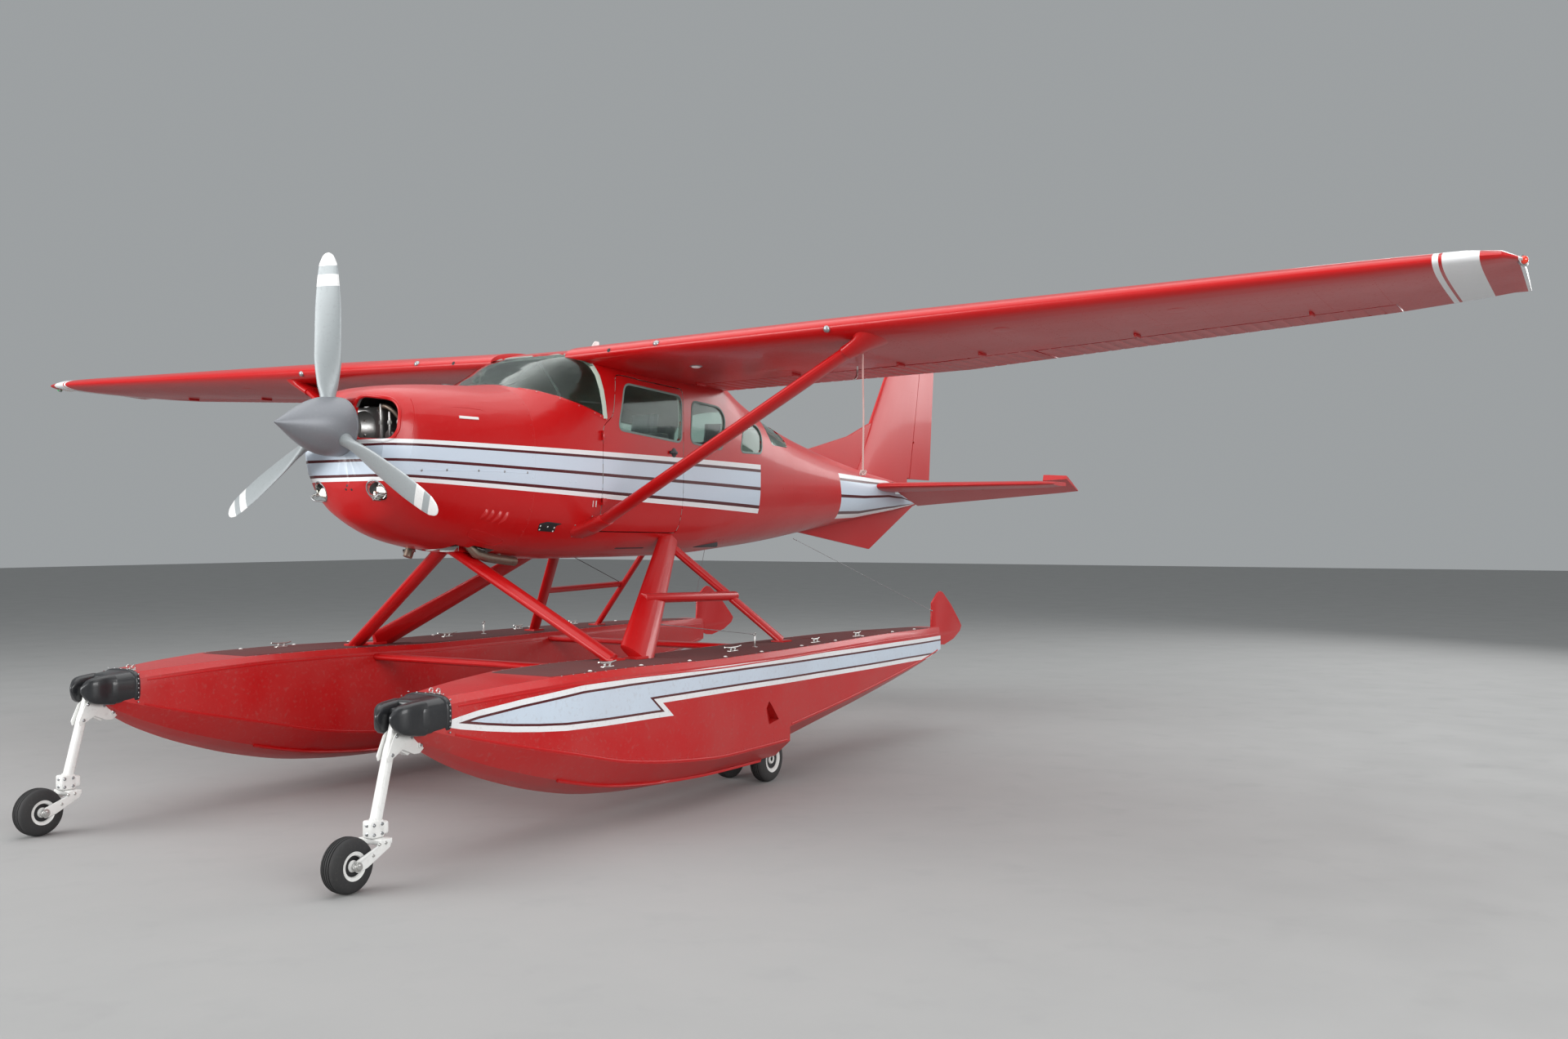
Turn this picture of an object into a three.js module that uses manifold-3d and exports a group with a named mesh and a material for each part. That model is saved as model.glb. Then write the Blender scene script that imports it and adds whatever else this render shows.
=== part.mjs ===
// A single-engine high-wing floatplane on amphibious floats.
// Millimetres, +Z up, nose towards -Y, left wing towards +X, floor at Z = 0.
// A station is the distance aft of the propeller's plane; the origin lies at station MID_STATION.
import * as THREE from 'three';
import { mergeVertices } from 'three/addons/utils/BufferGeometryUtils.js';
import Module from 'manifold-3d';

const wasm = await Module();
wasm.setup();

const MID_STATION = 3600;
const GAP = 0.3; // between pieces that touch
const RUN = 8; // around pieces that turn
const PIN_RUN = 1; // around pins, whose facets turn past each other
const SEAM = 6; // around doors
const WALL = 32; // cabin and cowl walls
const FAR = 20000;

// Propeller
const HUB_HEIGHT = 2307;
const PROP_RADIUS = 1000;
const SPINNER_RADIUS = 172;
const SPINNER_TIP = -384;
const SPINNER_BACK = 78;
const SHAFT_RADIUS = 55;

// Fuselage
const FIREWALL = 1145;
const CABIN_END = 4500;
const CABIN_INSIDE_FRONT = FIREWALL + 30;
const CABIN_INSIDE_REAR = CABIN_END - 40;
const FLOOR = 1580;
const BODY_POINTS = 28;

// Wing
const WING_ROOT_X = 330;
const FLAP_SPAN = [650, 3190];
const AILERON_SPAN = [3204, 5330];
const FLAP_HINGE = [2885, 2893];
const FLAP_NOSE = 60;
const FLAP_RUN = 12;
const AILERON_HINGE = [2893, 2800];

// Tail
const TAIL_HALF_SPAN = 1980;
const TAIL_HEIGHT = 2137;
const ELEVATOR_HINGE = 7140;
const ELEVATOR_DROOP = THREE.MathUtils.degToRad(20);
const HORN = { inner: 1750, front: 6945 };
const RUDDER_FOOT = 2250;
const FIN_TOP = 3800;

// Floats
const FLOAT_X = 1235;
const STEP_STATION = 2575;
const STERN = 5530;
const NOSE_TYRE = { radius: 133, width: 108, rim: 66 };
const NOSE_AXLE = -962;
const CASTER_STATION = -780;
const MAIN_TYRE = { radius: 155, width: 108, rim: 86 };
const MAIN_AXLE = 2570;
const MAIN_SPREAD = 150;
const RUDDER_PIVOT = [5650, 800];

const red = new THREE.MeshStandardMaterial({ color: 0xb30a12, roughness: 0.3, metalness: 0.0 });
const deepRed = new THREE.MeshStandardMaterial({ color: 0x7c0a10, roughness: 0.6, metalness: 0.0 });
const white = new THREE.MeshStandardMaterial({ color: 0xe8e8e4, roughness: 0.4, metalness: 0.0 });
const steel = new THREE.MeshStandardMaterial({ color: 0x8b8f93, roughness: 0.35, metalness: 0.9 });
const satinGrey = new THREE.MeshStandardMaterial({ color: 0xa4a8ab, roughness: 0.5, metalness: 0.6 });
const rustSteel = new THREE.MeshStandardMaterial({ color: 0x7a6455, roughness: 0.6, metalness: 0.8 });
const glass = new THREE.MeshStandardMaterial({
  color: 0x9fc4b8, roughness: 0.05, metalness: 0.0, transparent: true, opacity: 0.4,
});
const rubber = new THREE.MeshStandardMaterial({ color: 0x1a1b1c, roughness: 0.8, metalness: 0.0 });
const cloth = new THREE.MeshStandardMaterial({ color: 0x4a5058, roughness: 0.9, metalness: 0.0 });
const rope = new THREE.MeshStandardMaterial({ color: 0xc08a88, roughness: 0.9, metalness: 0.0 });

const aircraft = new THREE.Group();
aircraft.position.y = -MID_STATION;

// Solids: building, joining and cutting

function toSolid(geometry) {
  const bare = geometry.clone();
  bare.deleteAttribute('normal');
  bare.deleteAttribute('uv');
  const merged = mergeVertices(bare, 1e-3);
  return new wasm.Manifold(new wasm.Mesh({
    numProp: 3,
    vertProperties: Float32Array.from(merged.attributes.position.array),
    triVerts: Uint32Array.from(merged.index.array),
  }));
}

function toGeometry(solid) {
  const mesh = solid.getMesh();
  const geometry = new THREE.BufferGeometry();
  const places = new Float32Array((mesh.vertProperties.length / mesh.numProp) * 3);
  for (let i = 0; i < places.length / 3; i++) {
    for (let k = 0; k < 3; k++) {
      places[3 * i + k] = mesh.vertProperties[mesh.numProp * i + k];
    }
  }
  geometry.setAttribute('position', new THREE.BufferAttribute(places, 3));
  geometry.setIndex(new THREE.BufferAttribute(Uint32Array.from(mesh.triVerts), 1));
  return geometry;
}

function join(...solids) {
  return solids.reduce((whole, next) => whole.add(next));
}

function cut(solid, ...tools) {
  return tools.reduce((rest, tool) => rest.subtract(tool), solid);
}

function add(name, solid, material) {
  const mesh = new THREE.Mesh(toGeometry(solid), material);
  mesh.name = name;
  aircraft.add(mesh);
  return mesh;
}

function mirrored(solid) {
  const geometry = toGeometry(solid);
  geometry.scale(-1, 1, 1);
  const order = geometry.index.array;
  for (let i = 0; i < order.length; i += 3) {
    [order[i], order[i + 1]] = [order[i + 1], order[i]];
  }
  return toSolid(geometry);
}

// A closed skin through rings of equal length, each ring star-shaped about its middle.
function loft(rings) {
  const size = rings[0].length;
  const places = rings.flat().flatMap((p) => [p.x, p.y, p.z]);
  const middle = (ring) => ring.reduce((sum, p) => sum.add(p), new THREE.Vector3()).divideScalar(size);
  const order = [];
  for (let r = 0; r + 1 < rings.length; r++) {
    for (let i = 0; i < size; i++) {
      const [a, b] = [r * size + i, r * size + ((i + 1) % size)];
      order.push(a, b, b + size, a, b + size, a + size);
    }
  }
  const [first, last] = [middle(rings[0]), middle(rings.at(-1))];
  places.push(first.x, first.y, first.z, last.x, last.y, last.z);
  const firstIndex = rings.length * size;
  const start = (rings.length - 1) * size;
  for (let i = 0; i < size; i++) {
    const next = (i + 1) % size;
    order.push(firstIndex, next, i);
    order.push(firstIndex + 1, start + i, start + next);
  }
  const geometry = new THREE.BufferGeometry();
  geometry.setAttribute('position', new THREE.BufferAttribute(new Float32Array(places), 3));
  geometry.setIndex(signedVolume(places, order) < 0 ? turned(order) : order);
  return toSolid(geometry);
}

function signedVolume(places, order) {
  const corner = (i) => new THREE.Vector3(places[3 * i], places[3 * i + 1], places[3 * i + 2]);
  let volume = 0;
  for (let i = 0; i < order.length; i += 3) {
    volume += corner(order[i]).dot(corner(order[i + 1]).cross(corner(order[i + 2]))) / 6;
  }
  return volume;
}

function turned(order) {
  return order.map((value, i) => order[i - (i % 3) + [0, 2, 1][i % 3]]);
}

function box(x0, x1, y0, y1, z0, z1) {
  const geometry = new THREE.BoxGeometry(x1 - x0, y1 - y0, z1 - z0);
  geometry.translate((x0 + x1) / 2, (y0 + y1) / 2, (z0 + z1) / 2);
  return toSolid(geometry);
}

// A round bar between two points.
function bar(from, to, radius, sides = 16, radiusTo = radius) {
  const [a, b] = [new THREE.Vector3(...from), new THREE.Vector3(...to)];
  const geometry = new THREE.CylinderGeometry(radiusTo, radius, a.distanceTo(b), sides);
  const along = b.clone().sub(a).normalize();
  geometry.applyQuaternion(new THREE.Quaternion().setFromUnitVectors(new THREE.Vector3(0, 1, 0), along));
  geometry.translate((a.x + b.x) / 2, (a.y + b.y) / 2, (a.z + b.z) / 2);
  return toSolid(geometry);
}

// An outline of [station, height] corners, drawn across the aircraft from x0 to x1.
function plate(outline, x0, x1, round = 0) {
  const corners = outline.map((p) => new THREE.Vector2(...p));
  const shape = round ? roundedShape(outline, round) : new THREE.Shape(corners);
  const geometry = new THREE.ExtrudeGeometry(shape, { depth: x1 - x0, bevelEnabled: false, curveSegments: 3 });
  geometry.applyMatrix4(new THREE.Matrix4().set(0, 0, 1, x0, 1, 0, 0, 0, 0, 1, 0, 0, 0, 0, 0, 1));
  return toSolid(geometry);
}

function roundedShape(outline, round) {
  const shape = new THREE.Shape();
  const corners = outline.map((p) => new THREE.Vector2(...p));
  corners.forEach((corner, i) => {
    const before = corners.at(i - 1).clone().sub(corner);
    const after = corners[(i + 1) % corners.length].clone().sub(corner);
    const reach = Math.min(round, before.length() / 2.2, after.length() / 2.2);
    const [a, b] = [before.setLength(reach).add(corner), after.setLength(reach).add(corner)];
    if (i === 0) {
      shape.moveTo(a.x, a.y);
    } else {
      shape.lineTo(a.x, a.y);
    }
    shape.quadraticCurveTo(corner.x, corner.y, b.x, b.y);
  });
  shape.closePath();
  return shape;
}

// A streamlined bar: chord lies as near fore-and-aft as the bar's slope allows.
function strut(from, to, chord, thickness, grow = 0, taperTo = 1) {
  const [a, b] = [new THREE.Vector3(...from), new THREE.Vector3(...to)];
  const along = b.clone().sub(a).normalize();
  const aft = new THREE.Vector3(0, 1, 0);
  aft.addScaledVector(along, -aft.dot(along)).normalize();
  const out = along.clone().cross(aft);
  const ring = (centre, scale) => {
    const points = [];
    for (let i = 0; i < 16; i++) {
      const turn = (i / 16) * 2 * Math.PI;
      const lengthwise = Math.cos(turn) * (chord * scale / 2 + grow);
      const narrow = 1 - 0.28 * Math.max(0, Math.cos(turn));
      const across = Math.sin(turn) * (thickness * scale / 2 + grow) * narrow;
      points.push(centre.clone().addScaledVector(aft, lengthwise).addScaledVector(out, across));
    }
    return points;
  };
  return loft([ring(a.addScaledVector(along, -grow), 1), ring(b.addScaledVector(along, grow), taperTo)]);
}

// Fuselage: one smooth body that cowl, cabin and tail cone are taken from

// station, half width, lowest, highest, waist height, squareness above and below the waist
const BODY = [
  [118, 322, 1958, 2478, 2235, 2.8, 2.4],
  [165, 384, 1858, 2522, 2235, 2.8, 2.4],
  [260, 443, 1752, 2555, 2230, 2.8, 2.4],
  [600, 512, 1620, 2598, 2200, 2.8, 2.6],
  [FIREWALL, 565, 1547, 2640, 2150, 3.0, 3.0],
  [1450, 588, 1525, 2765, 2150, 3.4, 3.2],
  [1750, 600, 1517, 2900, 2150, 4.5, 3.4],
  [2200, 605, 1517, 2975, 2150, 6.0, 3.4],
  [3000, 600, 1521, 2960, 2150, 6.0, 3.4],
  [3350, 583, 1534, 2905, 2150, 5.0, 3.2],
  [3750, 553, 1560, 2790, 2140, 3.6, 3.0],
  [4150, 515, 1586, 2685, 2130, 3.0, 2.8],
  [CABIN_END, 478, 1614, 2590, 2120, 2.8, 2.6],
  [5400, 362, 1710, 2432, 2100, 2.6, 2.4],
  [6500, 222, 1830, 2290, 2080, 2.4, 2.2],
  [7400, 105, 1925, 2200, 2070, 2.2, 2.2],
  [7820, 40, 1972, 2130, 2050, 2.0, 2.0],
];

function sectionAt(station) {
  const last = BODY.findIndex((row, i) => i > 0 && row[0] >= station);
  const [before, after] = [BODY[last - 1], BODY[last]];
  const share = (station - before[0]) / (after[0] - before[0]);
  return before.map((value, k) => value + (after[k] - value) * share);
}

function bodyRing([station, half, low, high, waist, above, below], grow) {
  const points = [];
  for (let i = 0; i < BODY_POINTS; i++) {
    const turn = ((i + 0.5) / BODY_POINTS) * 2 * Math.PI;
    const [c, s] = [Math.cos(turn), Math.sin(turn)];
    const square = s > 0 ? above : below;
    const reach = (s > 0 ? high - waist : waist - low) + grow;
    const x = Math.sign(c) * Math.abs(c) ** (2 / square) * (half + grow);
    const z = waist + Math.sign(s) * Math.abs(s) ** (2 / square) * reach;
    points.push(new THREE.Vector3(x, station, z));
  }
  return points;
}

function body(from, to, grow = 0) {
  const inner = BODY.filter(([station]) => station > from + 1 && station < to - 1);
  return loft([sectionAt(from), ...inner, sectionAt(to)].map((row) => bodyRing(row, grow)));
}

// Cowl with its two inlets, the outlet below and the lamp holes

const LAMP_HEIGHT = 1938;
const LAMP_X = 228;
const LAMP_RADIUS = 52;

function makeCowl() {
  const inside = body(118 + WALL, FIREWALL + 10, -WALL);
  const shell = cut(body(118, FIREWALL - GAP), inside.intersect(box(-FAR, FAR, 118 + WALL, FAR, 0, FAR)));
  const inletOutline = [[-38, -100], [235, -118], [272, -60], [262, 60], [205, 122], [20, 145], [-32, 80]];
  const inlet = (side) => {
    const shape = roundedShape(inletOutline.map(([x, z]) => [side * x, z]), 45);
    const geometry = new THREE.ExtrudeGeometry(shape, { depth: 160, bevelEnabled: false, curveSegments: 4 });
    geometry.rotateX(Math.PI / 2);
    geometry.translate(side * 112, 240, HUB_HEIGHT + 35);
    return toSolid(geometry);
  };
  const shaftHole = bar([0, 60, HUB_HEIGHT], [0, 240, HUB_HEIGHT], SHAFT_RADIUS + 40, 24);
  const lamps = [-1, 1].map((side) => (
    bar([side * LAMP_X, 60, LAMP_HEIGHT], [side * LAMP_X, 330, LAMP_HEIGHT], LAMP_RADIUS, 20)
  ));
  const outlets = [box(-250, 250, 765, 895, 1400, 1700), box(158, 290, 880, 1075, 1400, 1700)];
  return cut(shell, inlet(1), inlet(-1), shaftHole, ...lamps, ...outlets);
}

function makeEngine() {
  const crankcase = box(-320, 320, 250, 980, 2060, 2440);
  const sump = box(-240, 240, 300, 850, 1860, 2070);
  const nose = bar([0, 150, HUB_HEIGHT], [0, 260, HUB_HEIGHT], 70, 20);
  const cylinders = [];
  for (const side of [-1, 1]) {
    for (const station of [400, 590, 780]) {
      cylinders.push(bar([side * 300, station, 2290], [side * 385, station, 2290], 72, 14));
    }
  }
  const accessories = box(-210, 210, 970, 1080, 2000, 2420);
  const mounts = [];
  for (const side of [-1, 1]) {
    for (const height of [2110, 2350]) {
      mounts.push(bar([side * 120, 1050, height], [side * 240, FIREWALL + 20, height], 16, 10));
    }
  }
  const block = join(crankcase, sump, nose, ...cylinders, accessories, ...mounts);
  return block.intersect(box(-FAR, FAR, -FAR, FIREWALL - GAP, 0, FAR));
}

// Cabin: windscreen, windows and doors are cut from the same walls that they close

const DOOR_LEFT = [[1775, 1700], [2712, 1690], [2712, 2725], [1940, 2755], [1885, 2475], [1780, 2400]];
const CARGO_FRONT = [[2790, 1690], [3300, 1690], [3300, 2715], [2790, 2715]];
const CARGO_REAR = [[3300, 1690], [3880, 1700], [3880, 2520], [3760, 2640], [3300, 2715]];
const WINDSCREEN = [[1190, 2628], [1830, 2448], [1790, 2815], [1725, 3100], [1100, 3100]];
const REAR_WINDOW = [[4110, 2400], [4440, 2392], [4455, 2440], [4300, 2800], [4020, 2800], [4060, 2500]];

// name of the pane, its side, the wall it sits in, its corners
const SIDE_WINDOWS = {
  frontLeft: [[1945, 2386], [2685, 2338], [2690, 2672], [2025, 2706]],
  middleLeft: [[2800, 2345], [3240, 2312], [3290, 2560], [3205, 2632], [2822, 2650]],
  aftLeft: [[3520, 2312], [3890, 2318], [3925, 2480], [3865, 2545], [3600, 2556]],
  frontRight: [[1945, 2386], [2685, 2338], [2690, 2672], [2025, 2706]],
  cargoFront: [[2850, 2345], [3240, 2330], [3240, 2640], [2850, 2650]],
  cargoRear: [[3380, 2330], [3800, 2330], [3800, 2480], [3720, 2570], [3380, 2600]],
};

// The same corners, with every edge moved inwards.
function inset(outline, by) {
  const corners = outline.map((p) => new THREE.Vector2(...p));
  const sense = THREE.ShapeUtils.area(corners) > 0 ? 1 : -1;
  return corners.map((corner, i) => {
    const before = corner.clone().sub(corners.at(i - 1)).normalize();
    const after = corners[(i + 1) % corners.length].clone().sub(corner).normalize();
    const inward = new THREE.Vector2(-before.y - after.y, before.x + after.x).multiplyScalar(sense);
    const reach = by / (inward.length() * Math.cos((before.angleTo(after)) / 2));
    return corner.clone().addScaledVector(inward, reach).toArray();
  });
}

// A prism through one side wall: sign is 1 on the left and -1 on the right.
function side(outline, sign, round, shrink = 0) {
  const corners = inset(outline, shrink);
  return sign > 0 ? plate(corners, 300, 900, round) : plate(corners, -900, -300, round);
}

const skin = body(FIREWALL, CABIN_END);
const cabinInside = body(CABIN_INSIDE_FRONT, CABIN_INSIDE_REAR, -WALL)
  .intersect(box(-FAR, FAR, 0, FAR, FLOOR, FAR));
const walls = cut(skin, cabinInside);
const paneLayer = cut(body(FIREWALL, CABIN_END, -6), body(FIREWALL - 5, CABIN_END + 5, -12));

function pane(opening) {
  return paneLayer.intersect(opening);
}

// door name, pin place, side, which way the door lies, heights of its two hinges
const DOOR_PINS = {
  left: { pin: [612, 1770], sign: 1, towards: 1, heights: [1909, 2337] },
  cargoFront: { pin: [-612, 2788], sign: -1, towards: 1, heights: [1930, 2450] },
  cargoRear: { pin: [-552, 3888], sign: -1, towards: -1, heights: [1930, 2400] },
};
const doorHinges = {};
for (const [name, { pin, sign, towards, heights }] of Object.entries(DOOR_PINS)) {
  doorHinges[name] = heights.map((height) => doorHinge([...pin, height], sign, towards));
}

function makeCabin() {
  const windows = SIDE_WINDOWS;
  const openings = [
    plate(WINDSCREEN, -900, 900), plate(REAR_WINDOW, -900, 900, 30),
    side(windows.middleLeft, 1, 60), side(windows.aftLeft, 1, 60), side(windows.frontRight, -1, 60),
    side(DOOR_LEFT, 1, 40), side(CARGO_FRONT, -1, 0), side(CARGO_REAR, -1, 0),
  ];
  const pins = Object.values(doorHinges).flat().map((hinge) => hinge.fixed);
  return join(cut(walls, ...openings), ...pins);
}

function door(outline, sign, window, round, hinges) {
  const panel = cut(walls.intersect(side(outline, sign, round, SEAM)), side(window, sign, 60));
  return join(panel, ...hinges.map((hinge) => hinge.moving));
}

// Two leaves on a pin outside the skin. Towards is 1 where the door lies aft of its pin, and -1 ahead of it.
function doorHinge([x, station, height], sign, towards) {
  const block = (x0, x1, y0, y1, z0, z1) => {
    const [near, far] = [x + sign * x0, x + sign * x1].sort((p, q) => p - q);
    const [front, back] = [station + towards * y0, station + towards * y1].sort((p, q) => p - q);
    return box(near, far, front, back, height + z0, height + z1);
  };
  const post = (radius, reach) => bar([x, station, height - reach], [x, station, height + reach], radius, 10);
  return {
    fixed: join(block(-45, 6, -9, 7, 14, 32), block(-45, 6, -9, 7, -32, -14), post(5, 30)),
    moving: cut(
      join(post(8, 12), block(-6, 6, 0, 30, -12, 12), block(-40, 6, 14, 30, -12, 12)), post(5 + PIN_RUN, 13),
    ),
  };
}

// Wing: one lifting surface, with flap and aileron taken out at their hinges

// distance from the centre, leading edge station and height, chord, thickness share, incidence in degrees
const WING = [
  [WING_ROOT_X, 1715, 2870, 1626, 0.12, 3.6],
  [2540, 1765, 2931, 1626, 0.12, 3.9],
  [5300, 1905, 3017, 1190, 0.11, 3.1],
  [5740, 1935, 3030, 1110, 0.1, 2.2],
  [5900, 1975, 3032, 1040, 0.075, 1.6],
  [5985, 2065, 3020, 900, 0.03, 1.5],
];

function foilHalf(share, thickness) {
  const root = 0.2969 * Math.sqrt(share) - 0.126 * share - 0.3516 * share ** 2;
  return 5 * thickness * (root + 0.2843 * share ** 3 - 0.1036 * share ** 4);
}

function foilCamber(share, most) {
  const peak = 0.4;
  return share < peak
    ? (most / peak ** 2) * (2 * peak * share - share ** 2)
    : (most / (1 - peak) ** 2) * (1 - 2 * peak + 2 * peak * share - share ** 2);
}

// Points of a wing section as [station, height], from the trailing edge over the top and back below.
function foilPoints(station, height, chord, thickness, camber, incidence, count = 11, edge = 3) {
  const points = [];
  for (let i = 0; i <= 2 * count; i++) {
    const turn = (i / count) * Math.PI;
    const share = (1 + Math.cos(turn)) / 2;
    const up = i <= count ? 1 : -1;
    const half = foilHalf(share, thickness) * chord + edge * share;
    const rise = foilCamber(share, camber) * chord + up * half;
    const drop = share * chord * Math.sin(THREE.MathUtils.degToRad(incidence));
    points.push([station + share * chord, height + rise - drop]);
  }
  return points;
}

function wingAt(x) {
  const last = Math.max(1, WING.findIndex((row) => row[0] >= x));
  const [before, after] = [WING[last - 1], WING[last]];
  const share = (x - before[0]) / (after[0] - before[0]);
  return before.map((value, k) => value + (after[k] - value) * share);
}

// The middle height and half thickness of the wing at a place.
function wingMiddle(x, station) {
  const [, leading, height, chord, thickness, incidence] = wingAt(x);
  const share = (station - leading) / chord;
  const drop = share * chord * Math.sin(THREE.MathUtils.degToRad(incidence));
  const middle = height + foilCamber(share, 0.02) * chord - drop;
  return [middle, foilHalf(share, thickness) * chord + 3 * share];
}

function makeWing(ahead = 0, thicker = 0) {
  return loft(WING.map(([x, station, height, chord, thickness, incidence]) => (
    foilPoints(station - ahead, height, chord + 2 * ahead, thickness + thicker, 0.02, incidence)
      .map(([y, z]) => new THREE.Vector3(x, y, z))
  )));
}

// What a hinged surface takes of the whole: all aft of its hinge line, and a round nose about it.
// Each hinge end is [x, y, z, nose radius]; away is the direction out of the surface's own plane.
function hingedCut(inner, outer, away, grow, past = 0) {
  const [a, b] = [new THREE.Vector3(...inner), new THREE.Vector3(...outer)];
  const along = b.clone().sub(a).normalize();
  const aft = new THREE.Vector3(...away).cross(along).normalize();
  if (aft.y < 0) {
    aft.negate();
  }
  const out = along.clone().cross(aft);
  const start = a.clone().addScaledVector(along, -grow - past);
  const end = b.clone().addScaledVector(along, grow + past);
  const ring = (centre, radius) => {
    const points = [];
    for (let i = 0; i < 20; i++) {
      const turn = (i / 20) * 2 * Math.PI;
      const [behind, above] = [Math.cos(turn) * radius, Math.sin(turn) * radius];
      points.push(centre.clone().addScaledVector(aft, behind).addScaledVector(out, above));
    }
    return points;
  };
  const nose = loft([ring(start, inner[3] + grow), ring(end, outer[3] + grow)]);
  const corners = (centre) => [[-grow, -400], [1500, -400], [1500, 400], [-grow, 400]].map(([u, v]) => (
    centre.clone().addScaledVector(aft, u).addScaledVector(out, v)
  ));
  return join(nose, loft([corners(start), corners(end)]));
}

// A lug on the fixed piece that carries a hinge pin, and the slot and bore that it takes in the moving piece.
function pinLug(inner, outer, share, away, reach) {
  const [a, b] = [new THREE.Vector3(...inner), new THREE.Vector3(...outer)];
  const along = b.clone().sub(a).normalize();
  const aft = new THREE.Vector3(...away).cross(along).normalize();
  if (aft.y < 0) {
    aft.negate();
  }
  const out = along.clone().cross(aft);
  const at = a.clone().lerp(b, share);
  const point = (u, v, w) => (
    at.clone().addScaledVector(aft, u).addScaledVector(out, v).addScaledVector(along, w)
  );
  const rod = (w, radius, sides) => bar(point(0, 0, -w).toArray(), point(0, 0, w).toArray(), radius, sides);
  const arm = bar(point(-reach, 0, 0).toArray(), at.toArray(), 6, 8);
  const slotRing = (w) => [[-200, -200], [22, -200], [22, 200], [-200, 200]].map(([u, v]) => point(u, v, w));
  return {
    fixed: join(rod(7, 12, 10), arm, rod(20, 5, 8)),
    taken: join(loft([slotRing(-12), slotRing(12)]), rod(20 + GAP, 5 + PIN_RUN, 8)),
  };
}

function wingHinge(x, station) {
  const [middle, half] = wingMiddle(x, station);
  return [x, station, middle, half - 1.5];
}

// Tail surfaces

// distance from the centre, leading edge, chord, thickness share
const TAILPLANE = [
  [0, 6540, 1120, 0.085],
  [1800, 6565, 765, 0.08],
  [TAIL_HALF_SPAN, 6600, 690, 0.05],
];

// height, leading edge, chord, thickness share
const FIN = [
  [2150, 6400, 1790, 0.06],
  [2766, 6790, 1464, 0.065],
  [3165, 7070, 1225, 0.07],
  [3700, 7452, 898, 0.07],
  [FIN_TOP, 7560, 780, 0.05],
];

function makeTailplane() {
  const half = (sign) => loft(TAILPLANE.map(([x, station, chord, thickness]) => (
    foilPoints(station, TAIL_HEIGHT, chord, thickness, 0, 0, 9)
      .map(([y, z]) => new THREE.Vector3(sign * x, y, z))
  )));
  return join(half(1), half(-1));
}

function makeFin() {
  return loft(FIN.map(([height, station, chord, thickness]) => (
    foilPoints(station, 0, chord, thickness, 0, 0, 9).map(([y, x]) => new THREE.Vector3(x, y, height))
  )));
}

// Floats

// station, half deck, half beam, deck, chine and keel heights
const FORE = [
  [-650, 38, 55, 822, 765, 742],
  [-520, 95, 132, 868, 712, 622],
  [-240, 165, 208, 893, 628, 474],
  [40, 215, 262, 910, 560, 368],
  [370, 262, 305, 922, 483, 270],
  [770, 288, 328, 922, 392, 188],
  [1280, 300, 335, 912, 324, 138],
  [1850, 300, 335, 900, 284, 118],
  [STEP_STATION, 300, 335, 900, 288, 112],
];
const AFT = [
  [STEP_STATION, 300, 335, 900, 385, 205],
  [3030, 285, 318, 900, 425, 272],
  [3970, 238, 266, 900, 515, 398],
  [5180, 135, 156, 880, 640, 578],
  [STERN, 92, 108, 873, 684, 638],
];

function hull(rows, grow = 0) {
  return loft(rows.map(([station, deckHalf, beam, deck, chine, keel]) => {
    const flute = keel + (chine - keel) * 0.34;
    const half = [
      [0, deck + grow], [deckHalf + grow * 0.5, deck + grow], [beam - 8 + grow, deck - 34],
      [beam + grow, deck - 80], [beam + grow, chine - grow * 0.5], [beam * 0.62, flute - grow],
      [beam * 0.3, keel + (chine - keel) * 0.13 - grow], [0, keel - grow],
    ];
    const other = half.slice(1, -1).reverse().map(([x, z]) => [-x, z]);
    return [...half, ...other].map(([x, z]) => new THREE.Vector3(FLOAT_X + x, station, z));
  }));
}

function floatBody(grow = 0) {
  return join(hull(FORE, grow), hull(AFT, grow));
}

function makeFloat() {
  const reach = MAIN_TYRE.width / 2 + 12;
  const wheelWells = [-1, 1].map((sign) => {
    const middle = FLOAT_X + sign * MAIN_SPREAD;
    const height = MAIN_TYRE.radius;
    return bar([middle - reach, MAIN_AXLE, height], [middle + reach, MAIN_AXLE, height], height + 22, 28);
  });
  const legWell = box(FLOAT_X - 50, FLOAT_X + 50, MAIN_AXLE - 60, MAIN_AXLE + 640, 60, 545);
  const axleSlot = box(FLOAT_X - MAIN_SPREAD, FLOAT_X + MAIN_SPREAD, MAIN_AXLE - 35, MAIN_AXLE + 35, 60, 190);
  const [pivotStation, pivotHeight] = RUDDER_PIVOT;
  const lugs = [-1, 1].map((sign) => {
    const middle = FLOAT_X + sign * 20;
    return box(middle - 5, middle + 5, STERN - 60, pivotStation + 26, pivotHeight - 30, pivotHeight + 30);
  });
  const pin = bar([FLOAT_X - 40, ...RUDDER_PIVOT], [FLOAT_X + 40, ...RUDDER_PIVOT], 8 + PIN_RUN, 12);
  return cut(join(floatBody(), ...lugs), ...wheelWells, legWell, axleSlot, pin);
}

// station, half width, lowest, highest
const BUMPER = [
  [-738, 58, 752, 828],
  [-700, 100, 715, 856],
  [-520, 141, 695, 876],
  [-440, 162, 688, 886],
];

function makeBumper() {
  const boot = loft(BUMPER.map(([station, half, low, high]) => (
    [[0.7, 1], [1, 0.7], [1, 0.3], [0.8, 0], [-0.8, 0], [-1, 0.3], [-1, 0.7], [-0.7, 1]].map(([u, v]) => (
      new THREE.Vector3(FLOAT_X + half * u, station, low + (high - low) * v)
    ))
  )));
  const slot = box(FLOAT_X - 34, FLOAT_X + 34, -760, -560, 600, 838);
  const bracketSlot = box(FLOAT_X - 46 - GAP, FLOAT_X + 46 + GAP, -663, -430, 600, 732);
  return cut(boot, floatBody(GAP), slot, bracketSlot);
}

// Landing gear

const KNUCKLE = { low: 232, high: 318 };

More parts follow.
